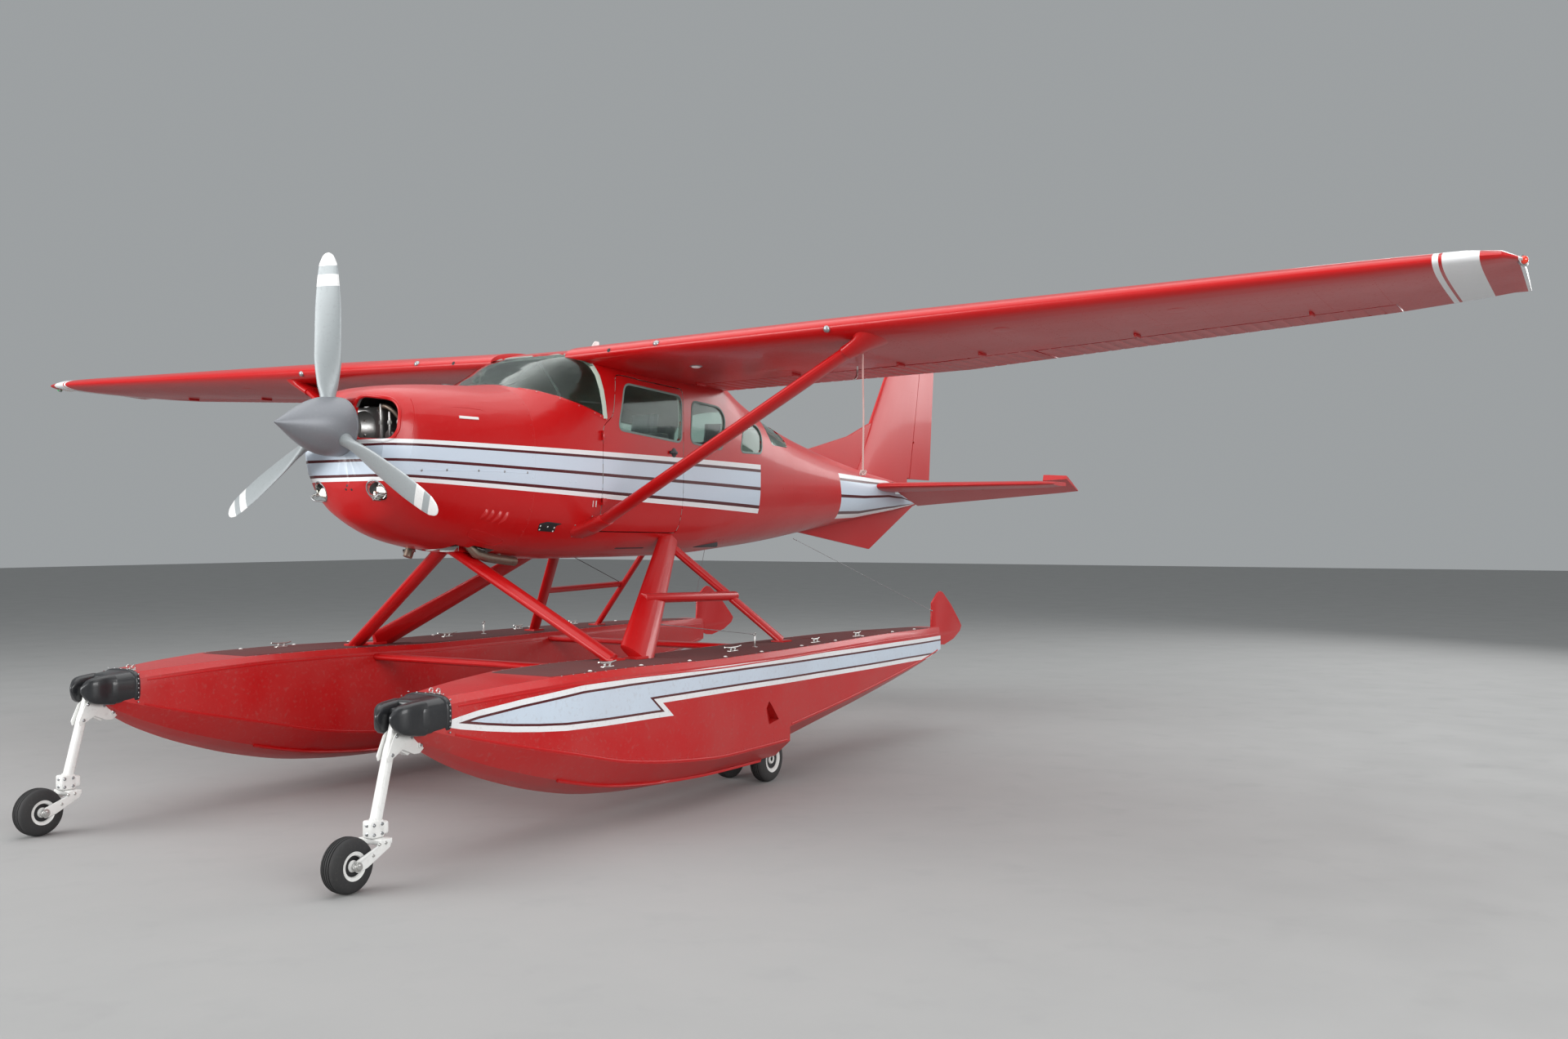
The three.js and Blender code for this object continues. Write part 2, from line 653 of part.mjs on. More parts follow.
function makeNoseLeg() {
  const foot = [FLOAT_X, CASTER_STATION - 12, 290];
  const head = [FLOAT_X, -655, 812];
  const tube = bar(foot, head, 21, 16);
  const across = (half) => [FLOAT_X - half, FLOAT_X + half];
  const knuckle = box(...across(34), CASTER_STATION - 50, CASTER_STATION + 38, KNUCKLE.low, KNUCKLE.high);
  const bracket = plate([[-660, 800], [-570, 700], [-535, 585], [-615, 585], [-700, 655]], ...across(24));
  const reach = plate([[-660, 690], [-490, 730], [-440, 540], [-600, 575]], ...across(46));
  return cut(join(tube, knuckle, bracket, reach), floatBody(GAP));
}

function makeNoseFork() {
  const half = NOSE_TYRE.width / 2 + 20;
  const arm = (sign) => plate(
    [[CASTER_STATION - 45, 222], [CASTER_STATION + 30, 222], [CASTER_STATION + 20, 190], [NOSE_AXLE + 60, 118],
      [NOSE_AXLE, 104], [NOSE_AXLE - 28, 133], [NOSE_AXLE, 162], [CASTER_STATION - 60, 205]],
    FLOAT_X + sign * (half - 6) - 6, FLOAT_X + sign * (half - 6) + 6,
  );
  const [near, far] = [FLOAT_X - half, FLOAT_X + half];
  const crown = box(near, far, CASTER_STATION - 46, CASTER_STATION + 32, 205, KNUCKLE.low - GAP);
  const axle = bar([near, NOSE_AXLE, NOSE_TYRE.radius], [far, NOSE_AXLE, NOSE_TYRE.radius], 11, 12);
  return join(arm(1), arm(-1), crown, axle);
}

// A tyre on its rim, turned about X at the origin, with a bore for its axle.
function wheel({ radius, width, rim }, bore) {
  const half = width / 2;
  const profile = [
    [bore, half - 14], [rim * 0.9, half - 22], [rim + 4, half - 1],
    [radius * 0.92, half * 0.78], [radius, half * 0.3],
  ];
  const other = profile.slice().reverse().map(([r, x]) => [r, -x]);
  const points = [...profile, ...other].map(([r, x]) => new THREE.Vector2(r, x));
  points.push(points[0].clone());
  const geometry = new THREE.LatheGeometry(points, 18);
  geometry.rotateZ(-Math.PI / 2);
  const solid = toSolid(geometry);
  return solid.volume() > 0 ? solid : toSolid(flipped(geometry));
}

function flipped(geometry) {
  const copy = geometry.clone();
  copy.setIndex(turned(Array.from(copy.index.array)));
  return copy;
}

function makeNoseWheel() {
  return wheel(NOSE_TYRE, 11 + PIN_RUN).translate([FLOAT_X, NOSE_AXLE, NOSE_TYRE.radius]);
}

function makeMainWheels() {
  const pair = [-1, 1].map((sign) => wheel(MAIN_TYRE, 10).translate([sign * MAIN_SPREAD, 0, 0]));
  const axle = bar([-MAIN_SPREAD - 40, 0, 0], [MAIN_SPREAD + 40, 0, 0], 17, 16);
  return join(...pair, axle).translate([FLOAT_X, MAIN_AXLE, MAIN_TYRE.radius]);
}

function makeMainLeg() {
  const outline = [
    [MAIN_AXLE - 40, 125], [MAIN_AXLE + 45, 120], [MAIN_AXLE + 300, 330], [MAIN_AXLE + 560, 430],
    [MAIN_AXLE + 560, 545 - GAP], [MAIN_AXLE + 440, 545 - GAP], [MAIN_AXLE + 200, 400], [MAIN_AXLE - 40, 195],
  ];
  const arm = plate(outline, FLOAT_X - 34, FLOAT_X + 34);
  const axle = [-60, 60].map((offset) => [FLOAT_X + offset, MAIN_AXLE, MAIN_TYRE.radius]);
  const bore = bar(...axle, 17 + PIN_RUN, 16);
  return cut(arm, bore);
}

const WATER_RUDDER = [
  [5562, 830], [5568, 775], [5625, 742], [5740, 704], [5833, 698], [6040, 738], [6180, 800], [6212, 846],
  [6150, 905], [5985, 1045], [5800, 1165], [5745, 1175], [5690, 1155], [5575, 1078],
];

function makeWaterRudder() {
  const blade = plate(WATER_RUDDER, FLOAT_X - 7, FLOAT_X + 7);
  const hub = bar([FLOAT_X - 15 + GAP, ...RUDDER_PIVOT], [FLOAT_X + 15 - GAP, ...RUDDER_PIVOT], 26, 16);
  const pin = bar([FLOAT_X - 30, ...RUDDER_PIVOT], [FLOAT_X + 30, ...RUDDER_PIVOT], 8, 12);
  return join(blade, hub, pin);
}

// Float struts and spreader bars

const FRONT_FITTING = [40, 966, 1592];
const REAR_FITTING = [505, 2672, 1670];
const FRONT_FOOT = [1110, 1225];
const MAIN_FOOT = [1140, 1425];
const REAR_FOOT = [1165, 3141];
const REAR_HEAD = [500, 2645, 1622];
const DECK = 922;

function footPad([x, station], deck) {
  return box(x - 50, x + 50, station - 62, station + 62, deck, deck + 16);
}

function makeFrontStrut(grow = 0) {
  return strut([FRONT_FOOT[0], FRONT_FOOT[1], DECK], FRONT_FITTING, 130, 70, grow);
}

function makeMainStrut(grow = 0) {
  return strut([MAIN_FOOT[0], MAIN_FOOT[1], DECK], REAR_FITTING, 250, 62, grow, 0.6);
}

function makeRearStrut(grow = 0) {
  return strut([REAR_FOOT[0], REAR_FOOT[1], DECK - 10], REAR_HEAD, 105, 52, grow);
}

const deckCutter = floatBody(GAP);
const skinGrown = body(118, 7820, GAP);
const skinCutter = join(skinGrown, mirrored(skinGrown));

function makeStepLeft() {
  return strut([862, 1870, 1262], [880, 2960, 1236], 70, 70, 0).intersect(box(0, FAR, 0, FAR, 1200, FAR));
}

// Spinner and blades

function makeSpinner(bladeCutters) {
  const profile = [new THREE.Vector2(0, SPINNER_TIP)];
  const steps = 8;
  for (let i = 1; i <= steps; i++) {
    const share = i / steps;
    const radius = SPINNER_RADIUS * Math.sin(share * Math.PI / 2) ** 1.12;
    profile.push(new THREE.Vector2(radius, SPINNER_TIP + (20 - SPINNER_TIP) * share));
  }
  profile.push(new THREE.Vector2(SPINNER_RADIUS, SPINNER_BACK), new THREE.Vector2(SHAFT_RADIUS, SPINNER_BACK));
  profile.push(new THREE.Vector2(SHAFT_RADIUS, 150 - GAP), new THREE.Vector2(0, 150 - GAP));
  const geometry = new THREE.LatheGeometry(profile, 24);
  const inwards = signedVolume(geometry.attributes.position.array, geometry.index.array) < 0;
  const solid = toSolid(inwards ? flipped(geometry) : geometry);
  return cut(solid.translate([0, 0, HUB_HEIGHT]), ...bladeCutters);
}

// share of the radius, chord, thickness, twist from the disc in degrees
const BLADE = [
  [0.05, 88, 88, 60],
  [0.16, 88, 80, 60],
  [0.24, 118, 50, 46],
  [0.42, 158, 30, 32],
  [0.65, 160, 20, 23],
  [0.85, 138, 13, 18],
  [0.96, 104, 8, 16],
  [1.0, 52, 6, 15],
];

function makeBlade(turnDegrees, grow = 0) {
  const count = 16;
  const rings = BLADE.map(([share, chord, thickness, twist], station) => {
    const angle = THREE.MathUtils.degToRad(twist);
    const reach = share * PROP_RADIUS + (station === 0 ? -grow : grow);
    const points = [];
    for (let i = 0; i < count; i++) {
      const turn = (i / count) * 2 * Math.PI;
      const u = Math.cos(turn) * (chord / 2 + grow);
      const v = Math.sin(turn) * (thickness / 2 + grow);
      const across = u * Math.cos(angle) - v * Math.sin(angle);
      const along = u * Math.sin(angle) + v * Math.cos(angle);
      points.push(new THREE.Vector3(across, along, reach));
    }
    return points;
  });
  return loft(rings).rotate([0, turnDegrees, 0]).translate([0, 0, HUB_HEIGHT]);
}

// Seats and panel

function seat(x0, x1, station) {
  const base = box(x0 + 60, x1 - 60, station + 40, station + 380, 1480, 1800);
  const behind = (outline) => outline.map(([aft, height]) => [station + aft, height]);
  const cushion = plate(behind([[0, 1800], [470, 1800], [470, 1920], [0, 1935]]), x0, x1);
  const back = plate(behind([[400, 1850], [500, 1850], [620, 2420], [530, 2430]]), x0, x1);
  const head = plate(behind([[545, 2400], [620, 2400], [645, 2560], [570, 2565]]), x0 + 110, x1 - 110);
  return join(base, cushion, back, head);
}

// Assembly

const cabinCutter = body(CABIN_INSIDE_FRONT, CABIN_INSIDE_REAR, -WALL - GAP)
  .intersect(box(-FAR, FAR, 0, FAR, FLOOR + GAP, FAR));

add('cabin', makeCabin(), red);
add('cowl', makeCowl(), red);
add('engine', makeEngine(), steel);
add('windscreen', pane(plate(inset(WINDSCREEN, GAP), -900, 900)), glass);
add('rear_window', pane(plate(inset(REAR_WINDOW, GAP), -900, 900, 30)), glass);
for (const [name, sign, key] of [
  ['window_middle_left', 1, 'middleLeft'],
  ['window_aft_left', 1, 'aftLeft'],
  ['window_front_right', -1, 'frontRight'],
  ['door_pane_left', 1, 'frontLeft'],
  ['cargo_pane_front', -1, 'cargoFront'],
  ['cargo_pane_rear', -1, 'cargoRear'],
]) {
  add(name, pane(side(SIDE_WINDOWS[key], sign, 60, GAP)), glass);
}
add('door_left', door(DOOR_LEFT, 1, SIDE_WINDOWS.frontLeft, 40, doorHinges.left), red);
add('cargo_door_front', door(CARGO_FRONT, -1, SIDE_WINDOWS.cargoFront, 0, doorHinges.cargoFront), red);
add('cargo_door_rear', door(CARGO_REAR, -1, SIDE_WINDOWS.cargoRear, 0, doorHinges.cargoRear), red);
add('instrument_panel', cabinCutter.intersect(box(-FAR, FAR, 1500, 1620, 2080, 2470)), rubber);
const frontSeats = join(seat(-500, -60, 2080), seat(60, 500, 2080), box(-200, 200, 2160, 2400, 1480, 1640));
add('front_seats', frontSeats.intersect(cabinCutter), cloth);
const rearSeats = join(seat(-480, -40, 3060), seat(40, 480, 3060), box(-200, 200, 3140, 3400, 1480, 1640));
add('rear_seats', rearSeats.intersect(cabinCutter), cloth);

// Tail cone with the ventral fin below it
const tailplane = makeTailplane();
const finWhole = makeFin();
const ventral = plate([[5210, 1740], [5210, 1715], [6770, 1528], [7810, 1985], [6500, 1845]], -11, 11);
const dorsal = plate(
  [[5400, 2420], [6343, 2618], [6790, 2770], [6900, 2800], [6900, 2200], [5500, 2300]], -14, 14,
);
const elevatorEnds = [
  [150, ELEVATOR_HINGE, TAIL_HEIGHT, 38],
  [TAIL_HALF_SPAN + 5, ELEVATOR_HINGE, TAIL_HEIGHT, 14],
];
const rudderEnds = [[0, 7650, RUDDER_FOOT, 34], [0, 8012, FIN_TOP, 18]];
const elevatorCut = (grow) => join(
  hingedCut(elevatorEnds[0], elevatorEnds[1], [0, 0, 1], grow),
  box(HORN.inner - grow, TAIL_HALF_SPAN + 20, HORN.front - grow, ELEVATOR_HINGE + 10, 0, FAR),
);
const rudderCut = (grow) => hingedCut(rudderEnds[0], rudderEnds[1], [1, 0, 0], grow, 400);
const stabiliserCutter = loft(TAILPLANE.map(([x, station, chord, thickness]) => (
  foilPoints(station - 1, TAIL_HEIGHT, chord + 2, thickness + 0.001, 0, 0, 9)
    .map(([y, z]) => new THREE.Vector3(x, y, z))
)));
const elevatorBore = bar([-300, ELEVATOR_HINGE, TAIL_HEIGHT], [300, ELEVATOR_HINGE, TAIL_HEIGHT], 32, 20);
const tailBehind = box(-400, 400, ELEVATOR_HINGE - 60, 7700, TAIL_HEIGHT - 60, TAIL_HEIGHT + 60);
const tailInside = body(CABIN_END - 20, 6900, -18);
const tailCone = join(cut(body(CABIN_END + GAP, 7820), tailInside), ventral);
const stabiliserSlot = join(stabiliserCutter, mirrored(stabiliserCutter));
add('tail_cone', cut(tailCone, stabiliserSlot, tailBehind, elevatorBore), red);
const finCutter = join(body(CABIN_END, 7820, GAP), box(-300, 300, 7580, FAR, 0, RUDDER_FOOT + 10));
const rudderLugs = [0.25, 0.75].map((share) => pinLug(rudderEnds[0], rudderEnds[1], share, [1, 0, 0], 75));
const finFixed = cut(join(finWhole, dorsal), rudderCut(RUN), finCutter, tailBehind);
add('fin', join(finFixed, ...rudderLugs.map((lug) => lug.fixed)), red);
const rudderWhole = finWhole.intersect(rudderCut(0)).intersect(box(-300, 300, 0, FAR, RUDDER_FOOT, FAR));
add('rudder', cut(rudderWhole, ...rudderLugs.map((lug) => lug.taken)), red);

const elevatorLug = pinLug(elevatorEnds[0], elevatorEnds[1], 0.5, [0, 0, 1], 60);
const elevatorHalf = cut(tailplane.intersect(elevatorCut(0)), elevatorLug.taken);
const elevatorTube = bar([-160, ELEVATOR_HINGE, TAIL_HEIGHT], [160, ELEVATOR_HINGE, TAIL_HEIGHT], 22, 16);
const elevator = join(elevatorHalf, mirrored(elevatorHalf), elevatorTube)
  .translate([0, -ELEVATOR_HINGE, -TAIL_HEIGHT])
  .rotate([-THREE.MathUtils.radToDeg(ELEVATOR_DROOP), 0, 0])
  .translate([0, ELEVATOR_HINGE, TAIL_HEIGHT]);
add('elevator', elevator, red);
const tailGap = box(-170, 170, ELEVATOR_HINGE - 50, FAR, 0, FAR);
const tailplaneFixed = cut(tailplane, elevatorCut(RUN), mirrored(elevatorCut(RUN)), tailGap);
add('tailplane', join(tailplaneFixed, elevatorLug.fixed, mirrored(elevatorLug.fixed)), red);

// Wings with their flaps, ailerons and struts
const wingWhole = makeWing();
// The flap's nose is rounder than the wing is thick at its ends, as much as it is in the middle.
const flapEnds = [wingHinge(FLAP_SPAN[0], FLAP_HINGE[0]), wingHinge(FLAP_SPAN[1], FLAP_HINGE[1])]
  .map(([x, station, height]) => [x, station, height - 2, FLAP_NOSE]);
const aileronEnds = AILERON_SPAN.map((x, i) => wingHinge(x, AILERON_HINGE[i]));
const flapCut = (grow) => hingedCut(flapEnds[0], flapEnds[1], [0, 0, 1], grow);
const aileronCut = (grow) => {
  const span = box(aileronEnds[0][0] - grow, aileronEnds[1][0] + grow, 0, FAR, 0, FAR);
  return hingedCut(aileronEnds[0], aileronEnds[1], [0, 0, 1], grow, 60).intersect(span);
};
const flapLug = pinLug(flapEnds[0], flapEnds[1], 0.5, [0, 0, 1], 100);
const aileronLug = pinLug(aileronEnds[0], aileronEnds[1], 0.5, [0, 0, 1], 85);
const between = box(FLAP_SPAN[1], AILERON_SPAN[0], FLAP_HINGE[1] + 20, FAR, 0, FAR);
const wingFixed = cut(wingWhole, flapCut(FLAP_RUN), aileronCut(RUN), between, skinCutter);
const wing = join(wingFixed, flapLug.fixed, aileronLug.fixed);
const STRUT_FOOT = [600, 1680, 1720];
const STRUT_HEAD = [2510, 1954, 2882];
const TIE_LUG = { x: 2420, station: 2009, low: 2798 };
const tieLug = box(
  TIE_LUG.x - 8, TIE_LUG.x + 8, TIE_LUG.station - 50, TIE_LUG.station + 22, TIE_LUG.low, TIE_LUG.low + 80,
);
const wingStrutWhole = join(strut(STRUT_FOOT, STRUT_HEAD, 165, 66), tieLug);
const wingCutter = makeWing(1, 0.0006);
const wingStrut = cut(wingStrutWhole, wingCutter, skinCutter);
const frontStrut = cut(join(makeFrontStrut(), footPad(FRONT_FOOT, 914)), skinCutter, deckCutter);
const mainStrut = cut(
  join(makeMainStrut(), footPad(MAIN_FOOT, 911)),
  skinCutter, deckCutter, makeFrontStrut(GAP), footPad(FRONT_FOOT, 900),
);
const rearStrut = cut(
  join(makeRearStrut(), footPad(REAR_FOOT, 898)), skinCutter, deckCutter, makeMainStrut(GAP),
);
const stepLeft = cut(makeStepLeft(), makeMainStrut(GAP));
const braceRight = strut([1150, 3935, 900], [450, 3804, 1665], 62, 46);
const stepRight = strut([868, 2930, 1236], [850, 3920, 1262], 52, 46);

const parts = [
  ['wing', wing, red],
  ['flap', cut(wingWhole.intersect(flapCut(0)), flapLug.taken), red],
  ['aileron', cut(wingWhole.intersect(aileronCut(0)), aileronLug.taken), red],
  ['wing_strut', wingStrut, red],
  ['float', makeFloat(), red],
  ['bow_bumper', makeBumper(), rubber],
  ['nose_leg', makeNoseLeg(), white],
  ['nose_fork', makeNoseFork(), white],
  ['nose_wheel', makeNoseWheel(), rubber],
  ['main_leg', makeMainLeg(), white],
  ['main_wheels', makeMainWheels(), rubber],
  ['water_rudder', makeWaterRudder(), red],
  ['front_strut', frontStrut, red],
  ['main_strut', mainStrut, red],
];
for (const [name, solid, material] of parts) {
  add(`${name}_left`, solid, material);
  add(`${name}_right`, mirrored(solid), material);
}
add('rear_strut_left', cut(join(rearStrut, stepLeft), deckCutter), red);
const braceFoot = box(1105, 1200, 3880, 3990, 898, 914);
const rightSide = mirrored(cut(join(rearStrut, braceRight, stepRight, braceFoot), skinCutter, deckCutter));
add('rear_strut_right', rightSide, red);

for (const [name, station, height] of [['spreader_front', 1240, 846], ['spreader_rear', 3080, 850]]) {
  const spreader = strut([-FLOAT_X, station, height], [FLOAT_X, station, height], 110, 50);
  add(name, cut(spreader, deckCutter, mirrored(deckCutter)), red);
}

// Exhaust tails through the cowl's outlet
const pipePath = new THREE.CatmullRomCurve3([
  [120, 905, 2060 - GAP], [120, 905, 1900], [150, 905, 1740], [205, 925, 1625], [228, 990, 1554],
  [230, 1085, 1536], [230, 1200, 1521], [230, 1330, 1508],
].map((p) => new THREE.Vector3(...p)));
const round = new THREE.Shape().absarc(0, 0, 30, 0, 2 * Math.PI);
const pipe = new THREE.ExtrudeGeometry(
  round, { steps: 10, extrudePath: pipePath, curveSegments: 6, bevelEnabled: false },
);
const crossPipe = bar([120, 905, 1960], [-190, 905, 1960], 32, 12);
const secondPipe = join(
  bar([-190, 905, 1975], [-190, 880, 1700], 32, 12), bar([-190, 884, 1712], [-200, 815, 1540], 30, 12),
);
add('exhaust', join(toSolid(pipe), crossPipe, secondPipe), rustSteel);

// A mooring rope hangs from the left strut's lug
const ROPE_RADIUS = 6;
const ropeRoute = [[0, 0, -GAP], [0, 1, -150], [3, 3, -400], [0, 1, -620], [-3, 5, -755]];
const ropePath = new THREE.CatmullRomCurve3(ropeRoute
  .map(([x, y, z]) => new THREE.Vector3(TIE_LUG.x + x, TIE_LUG.station + y, TIE_LUG.low + z)));
const ropeSection = new THREE.Shape().absarc(0, 0, ROPE_RADIUS, 0, 2 * Math.PI);
const ropeTube = new THREE.ExtrudeGeometry(
  ropeSection, { steps: 22, extrudePath: ropePath, curveSegments: 4, bevelEnabled: false },
);
add('tie_rope', toSolid(ropeTube), rope);

// Propeller: three blades in one spinner
const bladeTurns = [0, 120, 240];
add('spinner', makeSpinner(bladeTurns.map((turn) => makeBlade(turn, GAP))), satinGrey);
bladeTurns.forEach((turn, i) => add(`blade_${i + 1}`, makeBlade(turn), satinGrey));

export default aircraft;
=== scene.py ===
"""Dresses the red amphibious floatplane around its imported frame.

Smooth skins, striped paint, glass, propeller, wheels, seats, rigging and small fittings. All lengths in the tables
are millimetres, with stations counted from the nose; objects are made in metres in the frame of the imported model.
"""

import logging
import math
from bisect import bisect_right
from collections.abc import Callable, Iterator, Sequence
from contextlib import contextmanager
from dataclasses import dataclass
from enum import Enum

import bpy
from mathutils import Matrix, Vector
from mathutils.bvhtree import BVHTree

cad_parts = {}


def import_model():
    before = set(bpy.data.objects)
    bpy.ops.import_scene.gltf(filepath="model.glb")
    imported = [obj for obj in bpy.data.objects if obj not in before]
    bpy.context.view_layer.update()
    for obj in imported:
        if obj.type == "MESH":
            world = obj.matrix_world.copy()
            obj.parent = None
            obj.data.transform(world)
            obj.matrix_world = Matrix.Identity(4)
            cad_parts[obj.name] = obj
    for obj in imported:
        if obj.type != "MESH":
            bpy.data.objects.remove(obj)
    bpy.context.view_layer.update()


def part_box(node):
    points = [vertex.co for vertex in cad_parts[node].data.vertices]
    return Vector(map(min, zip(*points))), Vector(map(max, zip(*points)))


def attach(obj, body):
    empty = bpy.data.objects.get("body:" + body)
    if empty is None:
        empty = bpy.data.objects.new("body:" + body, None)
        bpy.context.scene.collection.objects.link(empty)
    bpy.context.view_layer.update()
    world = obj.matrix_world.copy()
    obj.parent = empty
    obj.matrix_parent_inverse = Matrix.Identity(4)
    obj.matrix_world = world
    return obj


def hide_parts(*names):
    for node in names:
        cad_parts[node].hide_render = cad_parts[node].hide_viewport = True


LOG = logging.getLogger("floatplane")
MM = 0.001
MID_STATION = 3600.0
MERGE = 2e-5
Row = tuple[float, ...]
Piece = bpy.types.Object
WELD = 1e-6
ORIGIN = Vector((0, 0, 0))
ACROSS = Vector((1, 0, 0))
BACK = Vector((0, 1, 0))
AHEAD = Vector((0, -1, 0))
UP = Vector((0, 0, 1))
DOWN = Vector((0, 0, -1))
BOTH = (1, -1)


def at(x: float, station: float, height: float) -> Vector:
    """A point given in millimetres, with its station from the nose, in the frame's metres."""
    return Vector((x, station - MID_STATION, height)) * MM


def mm(x: float, y: float, z: float) -> Vector:
    """A vector given in millimetres, in metres."""
    return Vector((x, y, z)) * MM


def held(value: float) -> float:
    """A value held between 0 and 1."""
    return min(max(value, 0.0), 1.0)


def bulged(value: float, power: float) -> float:
    """A sine or cosine raised to a power, with its sign kept."""
    return math.copysign(abs(value) ** power, value)


def circle(count: int) -> list[tuple[float, float]]:
    """The cosine and sine of equal steps round a full turn."""
    return [(math.cos(math.tau * k / count), math.sin(math.tau * k / count)) for k in range(count)]


class Side(Enum):
    """The two sides of the aircraft, with the sign of their X."""

    LEFT = ("left", 1.0)
    RIGHT = ("right", -1.0)

    @property
    def tag(self) -> str:
        """The side's name as it stands at the end of a node's name."""
        return self.value[0]

    @property
    def sign(self) -> float:
        """1 on the left, -1 on the right."""
        return self.value[1]


class Table:
    """Rows of numbers along a line, read linearly or with a smooth curve that never overshoots."""

    def __init__(self, rows: Sequence[Row]) -> None:
        """Keeps the rows, the first column being the place along the line.

        Args:
            rows: Rows of equal length, sorted by their first column.
        """
        self.rows = rows
        self.places = [row[0] for row in rows]
        self.slopes = [self._slopes([row[k] for row in rows]) for k in range(1, len(rows[0]))]

    def _slopes(self, values: Sequence[float]) -> list[float]:
        """Tangents of a monotone cubic through one column.

        Args:
            values: The column's values.

        Returns:
            One slope per row.
        """
        steps = [b - a for a, b in zip(self.places, self.places[1:])]
        chords = [(b - a) / step for a, b, step in zip(values, values[1:], steps)]
        inner = []
        for k in range(1, len(chords)):
            before, after = chords[k - 1], chords[k]
            if before * after <= 0:
                inner.append(0.0)
                continue
            wide, near = 2 * steps[k] + steps[k - 1], steps[k] + 2 * steps[k - 1]
            inner.append((wide + near) / (wide / before + near / after))
        return [chords[0], *inner, chords[-1]]

    def _cell(self, place: float) -> tuple[int, float]:
        """The row before a place, and the place's share of the way to the next row."""
        k = min(max(bisect_right(self.places, place) - 1, 0), len(self.places) - 2)
        share = (place - self.places[k]) / (self.places[k + 1] - self.places[k])
        return k, held(share)

    def straight(self, place: float) -> list[float]:
        """The columns after the first, read linearly."""
        k, t = self._cell(place)
        return [a + (b - a) * t for a, b in zip(self.rows[k][1:], self.rows[k + 1][1:])]

    def curved(self, place: float) -> list[float]:
        """The columns after the first, read along the smooth curve.

        Args:
            place: The place along the line.

        Returns:
            The interpolated columns.
        """
        k, t = self._cell(place)
        step = self.places[k + 1] - self.places[k]
        found = []
        for column, slopes in enumerate(self.slopes, start=1):
            a, b = self.rows[k][column], self.rows[k + 1][column]
            found.append(
                a * (1 + 2 * t) * (1 - t) ** 2 + slopes[k] * step * t * (1 - t) ** 2
                + b * t * t * (3 - 2 * t) + slopes[k + 1] * step * t * t * (t - 1)
            )
        return found


# Workshop: pieces are started from primitives and shaped in edit mode


def activate(piece: Piece) -> None:
    """Makes a piece the only selected object."""
    bpy.ops.object.select_all(action="DESELECT")
    bpy.context.view_layer.objects.active = piece
    piece.select_set(True)


@contextmanager
def editing(piece: Piece) -> Iterator[None]:
    """Edit mode on one piece, with all of its mesh selected."""
    activate(piece)
    bpy.ops.object.mode_set(mode="EDIT")
    bpy.ops.mesh.select_all(action="SELECT")
    try:
        yield
    finally:
        bpy.ops.object.mode_set(mode="OBJECT")


def named(name: str) -> Piece:
    """Takes the object that an operator has just added, and names it and its mesh."""
    piece = bpy.context.view_layer.objects.active
    piece.name = name
    piece.data.name = name
    return piece


def settle(piece: Piece) -> Piece:
    """Puts a piece's place, turn and size into its mesh."""
    activate(piece)
    bpy.ops.object.transform_apply(location=True, rotation=True, scale=True)
    return piece


def modify(piece: Piece, kind: str, **values: object) -> Piece:
    """Adds a modifier and applies it.

    Args:
        piece: The piece to change.
        kind: The modifier's type.
        values: Settings of the modifier.

    Returns:
        The same piece.
    """
    activate(piece)
    modifier = piece.modifiers.new("step", kind)
    for key, value in values.items():
        setattr(modifier, key, value)
    bpy.ops.object.modifier_apply(modifier=modifier.name)
    return piece


def soften(piece: Piece, degrees: float = 35.0) -> Piece:
    """Shades a piece smooth, apart from its edges that are sharper than an angle."""
    activate(piece)
    bpy.ops.object.shade_smooth_by_angle(angle=math.radians(degrees))
    return piece


def lattice(name: str, rows: Sequence[Sequence[Vector]], around: bool = True, capped: bool = True) -> Piece:
    """A skin through rows of points: a grid primitive whose corners are moved onto the rows.

    Args:
        name: The piece's name.
        rows: Rows of equal length.
        around: Whether each row closes on itself.
        capped: Whether the first and last row are filled.

    Returns:
        The new piece.
    """
    rows = [list(row) + [row[0]] if around else list(row) for row in rows]
    across, along = len(rows[0]), len(rows)
    bpy.ops.mesh.primitive_grid_add(x_subdivisions=across - 1, y_subdivisions=along - 1, size=1)
    piece = named(name)
    for vertex, point in zip(piece.data.vertices, (p for row in rows for p in row)):
        vertex.co = point
    with editing(piece):
        bpy.ops.mesh.remove_doubles(threshold=WELD)
        if around and capped:
            bpy.ops.mesh.select_all(action="DESELECT")
            bpy.ops.mesh.select_non_manifold()
            bpy.ops.mesh.edge_face_add()
            bpy.ops.mesh.select_all(action="SELECT")
        bpy.ops.mesh.normals_make_consistent(inside=False)
    return piece


def revolve(name: str, profile: Sequence[tuple[float, float]], centre: Vector, axis: Vector,
            steps: int = 48) -> Piece:
    """Spins a profile about an axis.

    Args:
        name: The piece's name.
        profile: Radius and distance along the axis of each point, in millimetres.
        centre: A point on the axis.
        axis: The axis direction.
        steps: How many steps make the turn.

    Returns:
        The new piece.
    """
    axis = axis.normalized()
    out = axis.orthogonal().normalized()
    bpy.ops.mesh.primitive_grid_add(x_subdivisions=len(profile) - 1, y_subdivisions=1, size=1)
    piece = named(name)
    points = [centre + out * (r * MM) + axis * (s * MM) for r, s in profile]
    for vertex, point in zip(piece.data.vertices, points + points):
        vertex.co = point
    with editing(piece):
        bpy.ops.mesh.remove_doubles(threshold=WELD)
        bpy.ops.mesh.delete(type="ONLY_FACE")
        bpy.ops.mesh.select_all(action="SELECT")
        bpy.ops.mesh.spin(steps=steps, angle=math.tau, center=centre, axis=axis)
        bpy.ops.mesh.select_all(action="SELECT")
        bpy.ops.mesh.remove_doubles(threshold=WELD)
        bpy.ops.mesh.normals_make_consistent(inside=False)
    return piece


